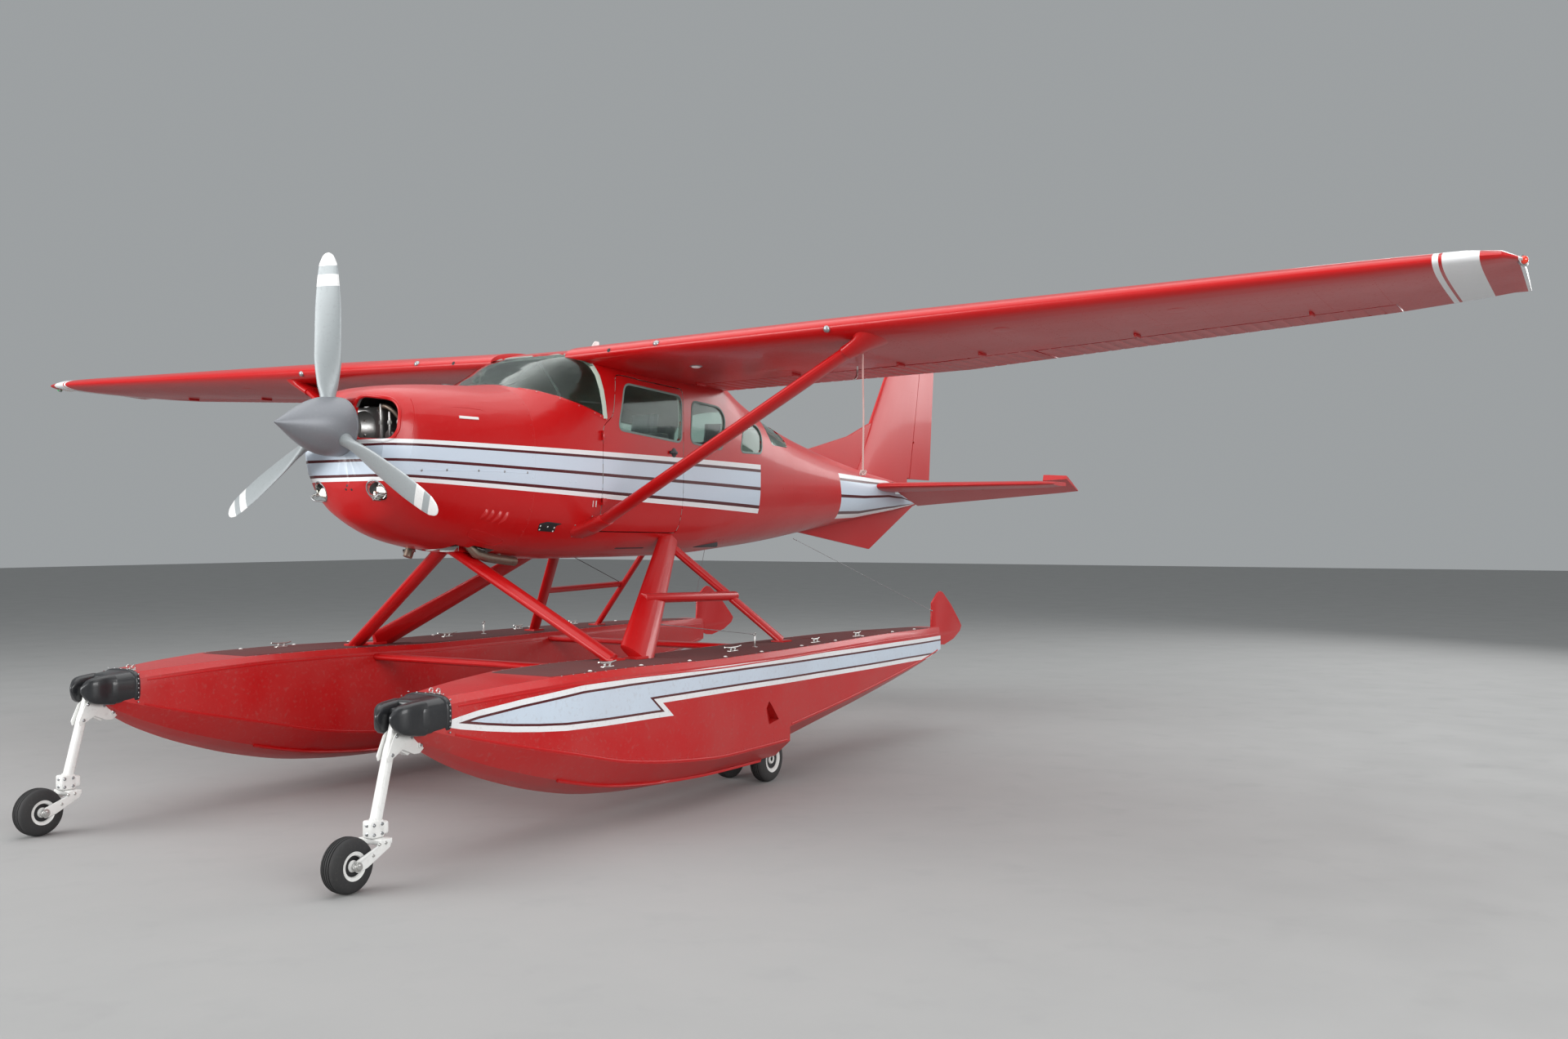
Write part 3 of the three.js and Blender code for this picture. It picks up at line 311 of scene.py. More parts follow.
def frames_along(path: Sequence[Vector]) -> list[tuple[Vector, Vector]]:
    """Two crossing directions at each point of a path, turned as little as possible from point to point."""
    found = []
    across = None
    for k in range(len(path)):
        ahead = (path[min(k + 1, len(path) - 1)] - path[max(k - 1, 0)]).normalized()
        across = ahead.orthogonal() if across is None else across - ahead * across.dot(ahead)
        across.normalize()
        found.append((across.copy(), ahead.cross(across)))
    return found


def tube(name: str, path: Sequence[Vector], radius: float | Callable[[float], float], sides: int = 12) -> Piece:
    """A round rod along a path.

    Args:
        name: The piece's name.
        path: Its centre line, in metres.
        radius: Its radius in millimetres, or a function of the share of the path.
        sides: How many sides it has.

    Returns:
        The new piece.
    """
    rings = []
    for k, (point, (u, v)) in enumerate(zip(path, frames_along(path))):
        reach = (radius(k / (len(path) - 1)) if callable(radius) else radius) * MM
        rings.append([point + (u * c + v * s) * reach for c, s in circle(sides)])
    return lattice(name, rings)


def block(name: str, low: Vector, high: Vector, bevel: float = 0.0, segments: int = 2) -> Piece:
    """A cube primitive stretched between two corners, its edges bevelled.

    Args:
        name: The piece's name.
        low: Lowest corner in metres.
        high: Highest corner in metres.
        bevel: Width of the bevel in millimetres.
        segments: Steps of the bevel.

    Returns:
        The new piece.
    """
    bpy.ops.mesh.primitive_cube_add(size=1, location=(low + high) / 2)
    piece = named(name)
    piece.scale = high - low
    settle(piece)
    if bevel:
        with editing(piece):
            bpy.ops.mesh.bevel(offset=bevel * MM, segments=segments, affect="EDGES")
    return piece


def rod(name: str, start: Vector, end: Vector, radius: float, sides: int = 16, bevel: float = 0.0) -> Piece:
    """A cylinder primitive between two points, its rims bevelled.

    Args:
        name: The piece's name.
        start: One end in metres.
        end: The other end in metres.
        radius: Radius in millimetres.
        sides: How many sides it has.
        bevel: Width of the rims' bevel in millimetres.

    Returns:
        The new piece.
    """
    along = end - start
    bpy.ops.mesh.primitive_cylinder_add(vertices=sides, radius=radius * MM, depth=along.length)
    piece = named(name)
    if bevel:
        modify(piece, "BEVEL", width=bevel * MM, segments=2, limit_method="ANGLE", angle_limit=math.radians(50))
    turn = UP.rotation_difference(along.normalized()).to_matrix().to_4x4()
    piece.data.transform(Matrix.Translation((start + end) / 2) @ turn)
    return piece


def plate(name: str, outline: Sequence[Vector], thick: Vector, bevel: float = 0.0) -> Piece:
    """A flat outline, started as a circle primitive, filled and extruded.

    Args:
        name: The piece's name.
        outline: Its corners in metres.
        thick: How far and which way it is extruded, in metres.
        bevel: Width of the bevel in millimetres.

    Returns:
        The new piece.
    """
    bpy.ops.mesh.primitive_circle_add(vertices=len(outline), fill_type="NGON")
    piece = named(name)
    for vertex, point in zip(piece.data.vertices, outline):
        vertex.co = point
    with editing(piece):
        bpy.ops.mesh.extrude_region_move(TRANSFORM_OT_translate={"value": thick})
        bpy.ops.mesh.select_all(action="SELECT")
        bpy.ops.mesh.normals_make_consistent(inside=False)
    if bevel:
        modify(piece, "BEVEL", width=bevel * MM, segments=2, limit_method="ANGLE", angle_limit=math.radians(40))
    return piece


def joined(name: str, parts: Sequence[Piece]) -> Piece:
    """Several pieces as one."""
    bpy.ops.object.select_all(action="DESELECT")
    for part in parts:
        part.select_set(True)
    bpy.context.view_layer.objects.active = parts[0]
    if len(parts) > 1:
        bpy.ops.object.join()
    return named(name)


def copied(piece: Piece, name: str, move: Matrix) -> Piece:
    """A copy with its own mesh, moved by a matrix, with its faces turned back outwards after a mirror.

    Args:
        piece: The piece to copy.
        name: The copy's name.
        move: Where the copy goes.

    Returns:
        The copy.
    """
    copy = piece.copy()
    copy.data = piece.data.copy()
    bpy.context.scene.collection.objects.link(copy)
    copy.name = name
    copy.data.name = name
    copy.data.transform(move)
    if move.to_3x3().determinant() < 0:
        with editing(copy):
            bpy.ops.mesh.normals_make_consistent(inside=False)
    return copy


MIRROR = Matrix.Scale(-1, 4, ACROSS)


def both_sides(piece: Piece, stem: str) -> dict[Side, Piece]:
    """The piece, made on the left, and its mirror image on the right."""
    right = copied(piece, f"{stem}_right", MIRROR)
    piece.name = f"{stem}_left"
    return {Side.LEFT: piece, Side.RIGHT: right}


def solid_copy(node: str, name: str) -> Piece:
    """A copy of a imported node's mesh with its corners merged, ready to be shaped.

    Args:
        node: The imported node.
        name: The new piece's name.

    Returns:
        The copy, which rides on nothing yet.
    """
    source = bpy.data.objects[node]
    piece = bpy.data.objects.new(name, source.data.copy())
    bpy.context.scene.collection.objects.link(piece)
    piece.data.name = name
    piece.data.materials.clear()
    if piece.data.has_custom_normals:
        activate(piece)
        bpy.ops.mesh.customdata_custom_splitnormals_clear()
    with editing(piece):
        bpy.ops.mesh.remove_doubles(threshold=MERGE)
    return piece


def sliced(piece: Piece, planes: Sequence[tuple[Vector, Vector]]) -> Piece:
    """Cuts new edges into a piece's faces along planes, without removing anything."""
    with editing(piece):
        for point, normal in planes:
            bpy.ops.mesh.select_all(action="SELECT")
            bpy.ops.mesh.bisect(plane_co=point, plane_no=normal)
    return piece


def moved(piece: Piece, change: Callable[[Vector], Vector]) -> Piece:
    """Moves every corner of a piece by a rule.

    Args:
        piece: The piece to shape.
        change: Gives a corner's new place from its old one.

    Returns:
        The same piece.
    """
    for vertex in piece.data.vertices:
        vertex.co = change(vertex.co.copy())
    piece.data.update()
    return piece


def install(piece: Piece, body: str, slot: str, *paints: str, replaces: Sequence[str] = ()) -> Piece:
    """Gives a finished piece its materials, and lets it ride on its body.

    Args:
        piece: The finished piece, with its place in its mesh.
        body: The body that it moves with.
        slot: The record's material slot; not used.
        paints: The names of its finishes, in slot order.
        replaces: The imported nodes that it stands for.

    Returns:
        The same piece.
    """
    settle(piece)
    kept = [polygon.material_index for polygon in piece.data.polygons]
    piece.data.materials.clear()
    for paint in paints:
        piece.data.materials.append(finish(paint))
    if len(paints) > 1:
        for polygon, index in zip(piece.data.polygons, kept):
            polygon.material_index = min(index, len(paints) - 1)
    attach(piece, body)
    if replaces:
        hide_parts(*replaces)
    LOG.info("%s on %s, %d faces", piece.name, body, len(piece.data.polygons))
    return piece


@dataclass(frozen=True)
class Hit:
    """A place on a skin, and the way that the skin faces there."""

    point: Vector
    normal: Vector

    def matrix(self, spin: float = 0.0) -> Matrix:
        """Carries a piece that stands along Z at the origin to this place, turned by some degrees."""
        turn = UP.rotation_difference(self.normal).to_matrix().to_4x4()
        return Matrix.Translation(self.point) @ turn @ Matrix.Rotation(math.radians(spin), 4, "Z")


class Skin:
    """Finds places on the surface of finished pieces."""

    def __init__(self, *names: str) -> None:
        """Reads the meshes of the named pieces."""
        corners: list[Vector] = []
        faces: list[list[int]] = []
        for name in names:
            mesh = bpy.data.objects[name].data
            start = len(corners)
            corners += [vertex.co.copy() for vertex in mesh.vertices]
            faces += [[start + k for k in polygon.vertices] for polygon in mesh.polygons]
        self.tree = BVHTree.FromPolygons(corners, faces)

    def hit(self, start: Vector, towards: Vector) -> Hit | None:
        """Where a ray first meets the skin, or None where it misses."""
        point, normal, *_ = self.tree.ray_cast(start, towards)
        if point is None:
            return None
        return Hit(point, -normal if normal.dot(towards) > 0 else normal)

    def hits(self, starts: Sequence[Vector], towards: Vector) -> list[Hit]:
        """The places that parallel rays meet, leaving out the rays that miss."""
        found = [self.hit(start, towards) for start in starts]
        return [hit for hit in found if hit]


def scattered(name: str, pattern: Piece, hits: Sequence[Hit], spin: float = 0.0) -> Piece:
    """Copies of a small piece at places on a skin, as one piece.

    Args:
        name: The new piece's name.
        pattern: A piece that stands along Z at the origin, which is used up.
        hits: Where the copies go.
        spin: How far each is turned about its own axis, in degrees.

    Returns:
        All copies as one piece.
    """
    copies = [copied(pattern, name, hit.matrix(spin)) for hit in hits]
    bpy.data.objects.remove(pattern)
    return joined(name, copies)


def button(name: str, radius: float, height: float, sides: int = 10) -> Piece:
    """A low round head that stands along Z at the origin, sunk a little below it."""
    profile = [(0, height), (0.5 * radius, 0.96 * height), (0.86 * radius, 0.6 * height), (radius, 0), (radius, -1.5),
               (0, -1.5)]
    return soften(revolve(name, profile, ORIGIN, UP, sides), 50)


def screw(name: str, radius: float, height: float) -> Piece:
    """A round head with a cross slot that stands along Z at the origin."""
    head = button(name, radius, height, 12)
    bars = []
    for turn in (0.0, math.pi / 2):
        bar = block("slot", mm(-0.62 * radius, -0.1 * radius, 0.5 * height),
                    mm(0.62 * radius, 0.1 * radius, 1.12 * height), 0.1 * height, 1)
        bar.data.transform(Matrix.Rotation(turn, 4, "Z"))
        bars.append(bar)
    return joined(name, [head, *bars])


def bolt(name: str, radius: float, height: float) -> Piece:
    """A six-sided head on its washer that stands along Z at the origin."""
    foot, top = mm(0, 0, -2), mm(0, 0, height)
    washer = button("washer", radius * 1.45, height * 0.22, 16)
    return soften(joined(name, [rod(name, foot, top, radius, 6, radius * 0.14), washer]), 30)


def rounded_loop(corners: Sequence[tuple[float, float]], reach: float, spacing: float = 40.0,
                 steps: int = 6) -> list[tuple[float, float]]:
    """Points round an outline with rounded corners.

    Args:
        corners: The outline's corners.
        reach: How far from each corner its rounding starts.
        spacing: Longest step along an edge.
        steps: Steps in each corner.

    Returns:
        The points, without the first one repeated.
    """
    found = []
    for k, corner in enumerate(corners):
        ends = []
        for other in (corners[k - 1], corners[(k + 1) % len(corners)]):
            span = math.dist(corner, other)
            share = min(reach, span / 2.2) / span
            ends.append([c + (o - c) * share for c, o in zip(corner, other)])
        for i in range(steps + 1):
            t = i / steps
            found.append(tuple((1 - t) ** 2 * p + 2 * t * (1 - t) * q + t * t * r
                               for p, q, r in zip(ends[0], corner, ends[1])))
    dense = []
    for p, q in zip(found, found[1:] + found[:1]):
        count = max(int(math.dist(p, q) / spacing), 1)
        dense += [tuple(u + (v - u) * i / count for u, v in zip(p, q)) for i in range(count)]
    return dense


def ribbon(name: str, path: Sequence[Hit], width: float, height: float, closed: bool = False,
           shift: float = 0.0) -> Piece:
    """A raised strip along places on a skin.

    Args:
        name: The piece's name.
        path: The places, in order.
        width: Width in millimetres.
        height: How far it stands proud, in millimetres.
        closed: Whether it runs round to its start.
        shift: How far it is set to one side of the path, in millimetres.

    Returns:
        The strip.
    """
    rows = []
    last = len(path) - 1
    for k, hit in enumerate(path):
        before = path[k - 1] if closed or k > 0 else hit
        after = path[(k + 1) % (last + 1)] if closed or k < last else hit
        along = (after.point - before.point).normalized()
        across = hit.normal.cross(along).normalized() * MM
        middle, up = hit.point + across * shift, hit.normal * MM
        profile = [(-0.5, -2.0), (-0.5, 0.55 * height), (-0.36, height), (0.36, height), (0.5, 0.55 * height),
                   (0.5, -2.0)]
        rows.append([middle + across * (u * width) + up * v for u, v in profile])
    if closed:
        rows.append(rows[0])
    return soften(lattice(name, rows, capped=not closed), 40)


def ring(name: str, path: Sequence[Vector], radius: float, sides: int = 10) -> Piece:
    """A round bead along a closed path."""
    rows = []
    count = len(path)
    middle = sum(path, Vector()) / count
    for k, point in enumerate(path):
        along = (path[(k + 1) % count] - path[k - 1]).normalized()
        out = point - middle
        out = (out - along * out.dot(along)).normalized()
        up = along.cross(out)
        rows.append([point + (out * c + up * s) * radius * MM for c, s in circle(sides)])
    return soften(lattice(name, [*rows, rows[0]], capped=False), 60)


def on_curve(corners: Sequence[Vector], k: int, t: float) -> Vector:
    """The point between corner k and the next one, at a share of the way, on a smooth line through all corners."""
    a, b = corners[k], corners[k + 1]
    before = corners[k - 1] if k else a * 2 - b
    after = corners[k + 2] if k + 2 < len(corners) else b * 2 - a
    return 0.5 * (2 * a + (b - before) * t + (2 * before - 5 * a + 4 * b - after) * t * t
                  + (3 * a - before - 3 * b + after) * t ** 3)


def curve_points(corners: Sequence[Vector], steps: int = 6) -> list[Vector]:
    """Points on a smooth line through corners.

    Args:
        corners: The corners in metres.
        steps: Steps between two corners.

    Returns:
        The points, both ends among them.
    """
    found = [on_curve(corners, k, i / steps) for k in range(len(corners) - 1) for i in range(steps)]
    return [*found, corners[-1]]


# Shapes that the skins follow


class Fuselage:
    """The fuselage's sections: faceted as the frame has them, and smooth as the real skin is."""

    # station, half width, lowest, highest, waist height, squareness above and below the waist
    SECTIONS = Table([
        (118, 322, 1958, 2478, 2235, 2.8, 2.4),
        (165, 384, 1858, 2522, 2235, 2.8, 2.4),
        (260, 443, 1752, 2555, 2230, 2.8, 2.4),
        (600, 512, 1620, 2598, 2200, 2.8, 2.6),
        (1145, 565, 1547, 2640, 2150, 3.0, 3.0),
        (1450, 588, 1525, 2765, 2150, 3.4, 3.2),
        (1750, 600, 1517, 2900, 2150, 4.5, 3.4),
        (2200, 605, 1517, 2975, 2150, 6.0, 3.4),
        (3000, 600, 1521, 2960, 2150, 6.0, 3.4),
        (3350, 583, 1534, 2905, 2150, 5.0, 3.2),
        (3750, 553, 1560, 2790, 2140, 3.6, 3.0),
        (4150, 515, 1586, 2685, 2130, 3.0, 2.8),
        (4500, 478, 1614, 2590, 2120, 2.8, 2.6),
        (5400, 362, 1710, 2432, 2100, 2.6, 2.4),
        (6500, 222, 1830, 2290, 2080, 2.4, 2.2),
        (7400, 105, 1925, 2200, 2070, 2.2, 2.2),
        (7820, 40, 1972, 2130, 2050, 2.0, 2.0),
    ])
    POINTS = 28
    STATION_STEP = 75.0
    TURN_STEP = 5.0
    NOSE_CUTS = (132, 148, 190, 225)
    # radius round the axis that stays as it is, and depths in the wall between which the move fades out
    CORE = 60.0
    FADE = (70.0, 190.0)

    @staticmethod
    def corner(row: Sequence[float], turn: float) -> tuple[float, float]:
        """X and height of the section's point at a turn, for a row without its station."""
        half, low, high, waist, above, below = row
        c, s = math.cos(turn), math.sin(turn)
        power = 2 / (above if s > 0 else below)
        reach = high - waist if s > 0 else waist - low
        return bulged(c, power) * half, waist + bulged(s, power) * reach

    def faceted_radius(self, station: float, angle: float) -> float:
        """The faceted skin's distance from the axis at an angle seen from the axis."""
        k, share = self.SECTIONS._cell(station)
        rows = [self.SECTIONS.rows[k][1:], self.SECTIONS.rows[k + 1][1:]]
        waist = self.axis(station)
        turns = [(i + 0.5) / self.POINTS * 2 * math.pi for i in range(self.POINTS)]
        ring = []
        for turn in turns:
            (xa, za), (xb, zb) = (self.corner(row, turn) for row in rows)
            ring.append((xa + (xb - xa) * share, za + (zb - za) * share - waist))
        direction = (math.cos(angle), math.sin(angle))
        best = 0.0
        for (x0, z0), (x1, z1) in zip(ring, ring[1:] + ring[:1]):
            span = (x1 - x0, z1 - z0)
            bottom = direction[0] * span[1] - direction[1] * span[0]
            if abs(bottom) < 1e-9:
                continue
            reach = (x0 * span[1] - z0 * span[0]) / bottom
            place = (x0 * direction[1] - z0 * direction[0]) / bottom
            if reach > 0 and -1e-6 <= place <= 1 + 1e-6:
                best = max(best, reach)
        return best

    def smooth_radius(self, station: float, angle: float) -> float:
        """The smooth skin's distance from the axis at an angle seen from the axis."""
        half, low, high, waist, above, below = self.SECTIONS.curved(station)
        centre = self.axis(station)
        low_reach, high_reach = 0.0, 2000.0
        for _ in range(26):
            reach = (low_reach + high_reach) / 2
            x, z = reach * math.cos(angle), centre + reach * math.sin(angle) - waist
            power, tall = (above, high - waist) if z > 0 else (below, waist - low)
            inside = (abs(x) / half) ** power + (abs(z) / tall) ** power < 1
            low_reach, high_reach = (reach, high_reach) if inside else (low_reach, reach)
        return low_reach

    def hit(self, station: float, height: float, sign: float = 1.0) -> Hit:
        """The place on one side of the smooth skin at a station and a height.

        Args:
            station: The station in millimetres.
            height: The height in millimetres.
            sign: 1 for the left side, -1 for the right.

        Returns:
            The place, facing outwards.
        """
        def place(s: float, h: float) -> Vector:
            """The skin's point."""
            half, low, high, waist, above, below = self.SECTIONS.curved(s)
            power, tall = (above, high - waist) if h > waist else (below, waist - low)
            share = min(abs(h - waist) / tall, 1.0)
            return at(sign * half * (1 - share ** power) ** (1 / power), s, h)

        along = place(station + 4, height) - place(station - 4, height)
        up = place(station, height + 3) - place(station, height - 3)
        normal = along.cross(up).normalized()
        return Hit(place(station, height), normal if normal.x * sign > 0 else -normal)

    def axis(self, station: float) -> float:
        """Height of the line that angles are measured about."""
        return self.SECTIONS.straight(station)[3]

    def planes(self, first: float, last: float) -> list[tuple[Vector, Vector]]:
        """The cutting planes that give a skin enough corners to be smooth.

        Args:
            first: Lowest station of the piece.
            last: Highest station of the piece.

        Returns:
            A point and a normal for each plane.
        """
        found = []
        count = max(int((last - first) / self.STATION_STEP), 1)
        for k in range(1, count):
            found.append((at(0, first + (last - first) * k / count, 0), BACK))
        found += [(at(0, s, 0), BACK) for s in self.NOSE_CUTS if first < s < last]
        middle = (first + last) / 2
        rise = Vector((0, (last - first) * MM, (self.axis(last) - self.axis(first)) * MM)).normalized()
        steps = int(180 / self.TURN_STEP)
        for k in range(steps):
            turn = math.radians(k * self.TURN_STEP)
            out = Vector((math.cos(turn), 0, math.sin(turn)))
            centre = at(0, middle, (self.axis(first) + self.axis(last)) / 2)
            found.append((centre, out.cross(rise).normalized()))
        return found

    def rounded(self, point: Vector) -> Vector:
        """A corner of the faceted skin, or of the wall behind it, moved out to the smooth one.

        Args:
            point: The corner in metres.

        Returns:
            Its new place.
        """
        station = point.y / MM + MID_STATION
        x, z = point.x / MM, point.z / MM - self.axis(station)
        radius = math.hypot(x, z)
        if radius < self.CORE:
            return point
        angle = math.atan2(z, x)
        flat = self.faceted_radius(station, angle)
        depth = flat - radius
        share = held((depth + 9) / 7) * held((self.FADE[1] - depth) / (self.FADE[1] - self.FADE[0]))
        grown = radius + (self.smooth_radius(station, angle) - flat) * share
        return at(x * grown / radius, station, self.axis(station) + z * grown / radius)


@dataclass(frozen=True)
class Foil:
    """A lifting surface whose faceted sections are moved onto the exact curve.

    Attributes:
        rows: Place along the span, leading edge, mid height, chord, thickness share, incidence.
        camber: Camber share of the chord.
        count: Facets from edge to edge on each face.
        upright: Whether the span runs up, as a fin's does.
    """

    rows: Table
    camber: float = 0.0
    count: int = 9
    upright: bool = False

    EDGE = 3.0
    PEAK = 0.4
    # stretches of the span shorter than this aren't cut, and corners farther than this off a face stay
    SHORTEST = 300.0
    LOOSE = 2.5
    SHARES = (0.0006, 0.0022, 0.005, 0.0095, 0.0145, 0.029, 0.04, 0.058, 0.105, 0.14, 0.2, 0.26, 0.36, 0.46, 0.58,
              0.7, 0.8, 0.9)

    @staticmethod
    def half(share: float, thickness: float) -> float:
        """Half thickness as a share of the chord."""
        root = 0.2969 * math.sqrt(share) - 0.126 * share - 0.3516 * share ** 2
        return 5 * thickness * (root + 0.2843 * share ** 3 - 0.1036 * share ** 4)

    def rise(self, share: float) -> float:
        """Height of the camber line as a share of the chord."""
        peak = self.PEAK
        if share < peak:
            return self.camber / peak ** 2 * (2 * peak * share - share ** 2)
        return self.camber / (1 - peak) ** 2 * (1 - 2 * peak + 2 * peak * share - share ** 2)

    def face(self, share: float, chord: float, thickness: float, up: float) -> float:
        """Height of one face of the exact section above its chord line, before incidence."""
        share = held(share)
        return self.rise(share) * chord + up * (self.half(share, thickness) * chord + self.EDGE * share)

    def facet(self, share: float, chord: float, thickness: float, up: float) -> float:
        """Height of the faceted section at the same place."""
        share = held(share)
        turn = math.acos(2 * share - 1) / math.pi * self.count
        a = min(int(turn), self.count - 1)
        s0, s1 = ((1 + math.cos(k / self.count * math.pi)) / 2 for k in (a, a + 1))
        t = (share - s0) / (s1 - s0)
        return self.face(s0, chord, thickness, up) * (1 - t) + self.face(s1, chord, thickness, up) * t

    def planes(self) -> list[tuple[Vector, Vector]]:
        """The cutting planes along the span that give the round nose and the faces enough corners."""
        found = []
        rows = self.rows.rows
        for before, after in zip(rows, rows[1:]):
            if after[0] - before[0] < self.SHORTEST:
                continue
            for share in self.SHARES:
                ends = []
                for place, leading, height, chord, *_ in (before, after):
                    station = leading + share * chord
                    ends.append(at(0, station, place) if self.upright else at(place, station, height))
                along = (ends[1] - ends[0]).normalized()
                level = ACROSS if self.upright else UP
                found.append((ends[0], along.cross(level).normalized()))
        return found

    def rounded(self, point: Vector) -> Vector:
        """A corner of the faceted surface moved onto the exact one; corners off the surface stay.

        Args:
            point: The corner in metres.

        Returns:
            Its new place.
        """
        station = point.y / MM + MID_STATION
        place, level = (point.z / MM, point.x / MM) if self.upright else (abs(point.x) / MM, point.z / MM)
        leading, height, chord, thickness, incidence = self.rows.straight(place)
        share = (station - leading) / chord
        if not 0 <= share <= 1:
            return point
        base = height - share * chord * math.sin(math.radians(incidence))
        best = None
        for up in (1.0, -1.0):
            off = level - base - self.facet(share, chord, thickness, up)
            if best is None or abs(off) < abs(best[0]):
                best = (off, up)
        off, up = best
        if abs(off) > self.LOOSE:
            return point
        target = base + self.face(share, chord, thickness, up) + off
        if self.upright:
            return at(target, station, place)
        return Vector((point.x, point.y, target * MM))


class Hull:
    """The float's rows, faceted as the frame has them, and smooth along the hull."""

    FLOAT_X = 1235.0
    STEP = 2575.0
    # station, half deck, half beam, deck, chine and keel heights
    FORE = Table([
        (-650, 38, 55, 822, 765, 742),
        (-520, 95, 132, 868, 712, 622),
        (-240, 165, 208, 893, 628, 474),
        (40, 215, 262, 910, 560, 368),
        (370, 262, 305, 922, 483, 270),
        (770, 288, 328, 922, 392, 188),
        (1280, 300, 335, 912, 324, 138),
        (1850, 300, 335, 900, 284, 118),
        (2575, 300, 335, 900, 288, 112),
    ])
    AFT = Table([
        (2575, 300, 335, 900, 385, 205),
        (3030, 285, 318, 900, 425, 272),
        (3970, 238, 266, 900, 515, 398),
        (5180, 135, 156, 880, 640, 578),
        (5530, 92, 108, 873, 684, 638),
    ])

    def planes(self) -> list[tuple[Vector, Vector]]:
        """Cross cuts, closer together at the bow."""
        stations = [-600, -560, -480, -430, -380, -330, -290, -180, -120, -60, 0, 90, 150, 210, 280, 450, 550, 660]
        stations += [900, 1020, 1150, 1420, 1560, 1700, 2000, 2200, 2800, 3250, 3500, 3750, 4250, 4550, 4850]
        return [(at(0, station, 0), BACK) for station in stations]

    def rounded(self, point: Vector) -> Vector:
        """A corner of the faceted hull moved onto the smooth one.

        Args:
            point: The corner in metres.

        Returns:
            Its new place.
        """
        station = point.y / MM + MID_STATION
        side = math.copysign(1, point.x)
        x, z = point.x / MM - side * self.FLOAT_X, point.z / MM
        rows = self.FORE if station < self.STEP - 0.5 else self.AFT
        if not self.FORE.places[0] <= station <= self.AFT.places[-1]:
            return point
        flat, smooth = rows.straight(station), rows.curved(station)
        (k0, k1), (c0, c1), (d0, d1) = [(flat[i], smooth[i]) for i in (4, 3, 2)]
        if z >= d0:
            raised = z + d1 - d0
        elif z >= c0:
            raised = c1 + (z - c0) / (d0 - c0) * (d1 - c1)
        else:
            raised = k1 + (z - k0) / (c0 - k0) * (c1 - k1)
        wide = smooth[1] / flat[1]
        return at(side * self.FLOAT_X + x * wide, station, raised)


FUSELAGE = Fuselage()
HULL = Hull()
WING_FOIL = Foil(
    Table([
        (330, 1715, 2870, 1626, 0.12, 3.6),
        (2540, 1765, 2931, 1626, 0.12, 3.9),
        (5300, 1905, 3017, 1190, 0.11, 3.1),
        (5740, 1935, 3030, 1110, 0.1, 2.2),
        (5900, 1975, 3032, 1040, 0.075, 1.6),
        (5985, 2065, 3020, 900, 0.03, 1.5),
    ]),
    camber=0.02, count=11,
)
TAIL_FOIL = Foil(Table([
    (0, 6540, 2137, 1120, 0.085, 0),
    (1800, 6565, 2137, 765, 0.08, 0),
    (1980, 6600, 2137, 690, 0.05, 0),
]))
FIN_FOIL = Foil(
    Table([
        (2150, 6400, 0, 1790, 0.06, 0),
        (2766, 6790, 0, 1464, 0.065, 0),
        (3165, 7070, 0, 1225, 0.07, 0),
        (3700, 7452, 0, 898, 0.07, 0),
        (3800, 7560, 0, 780, 0.05, 0),
    ]),
    upright=True,
)


# Finishes


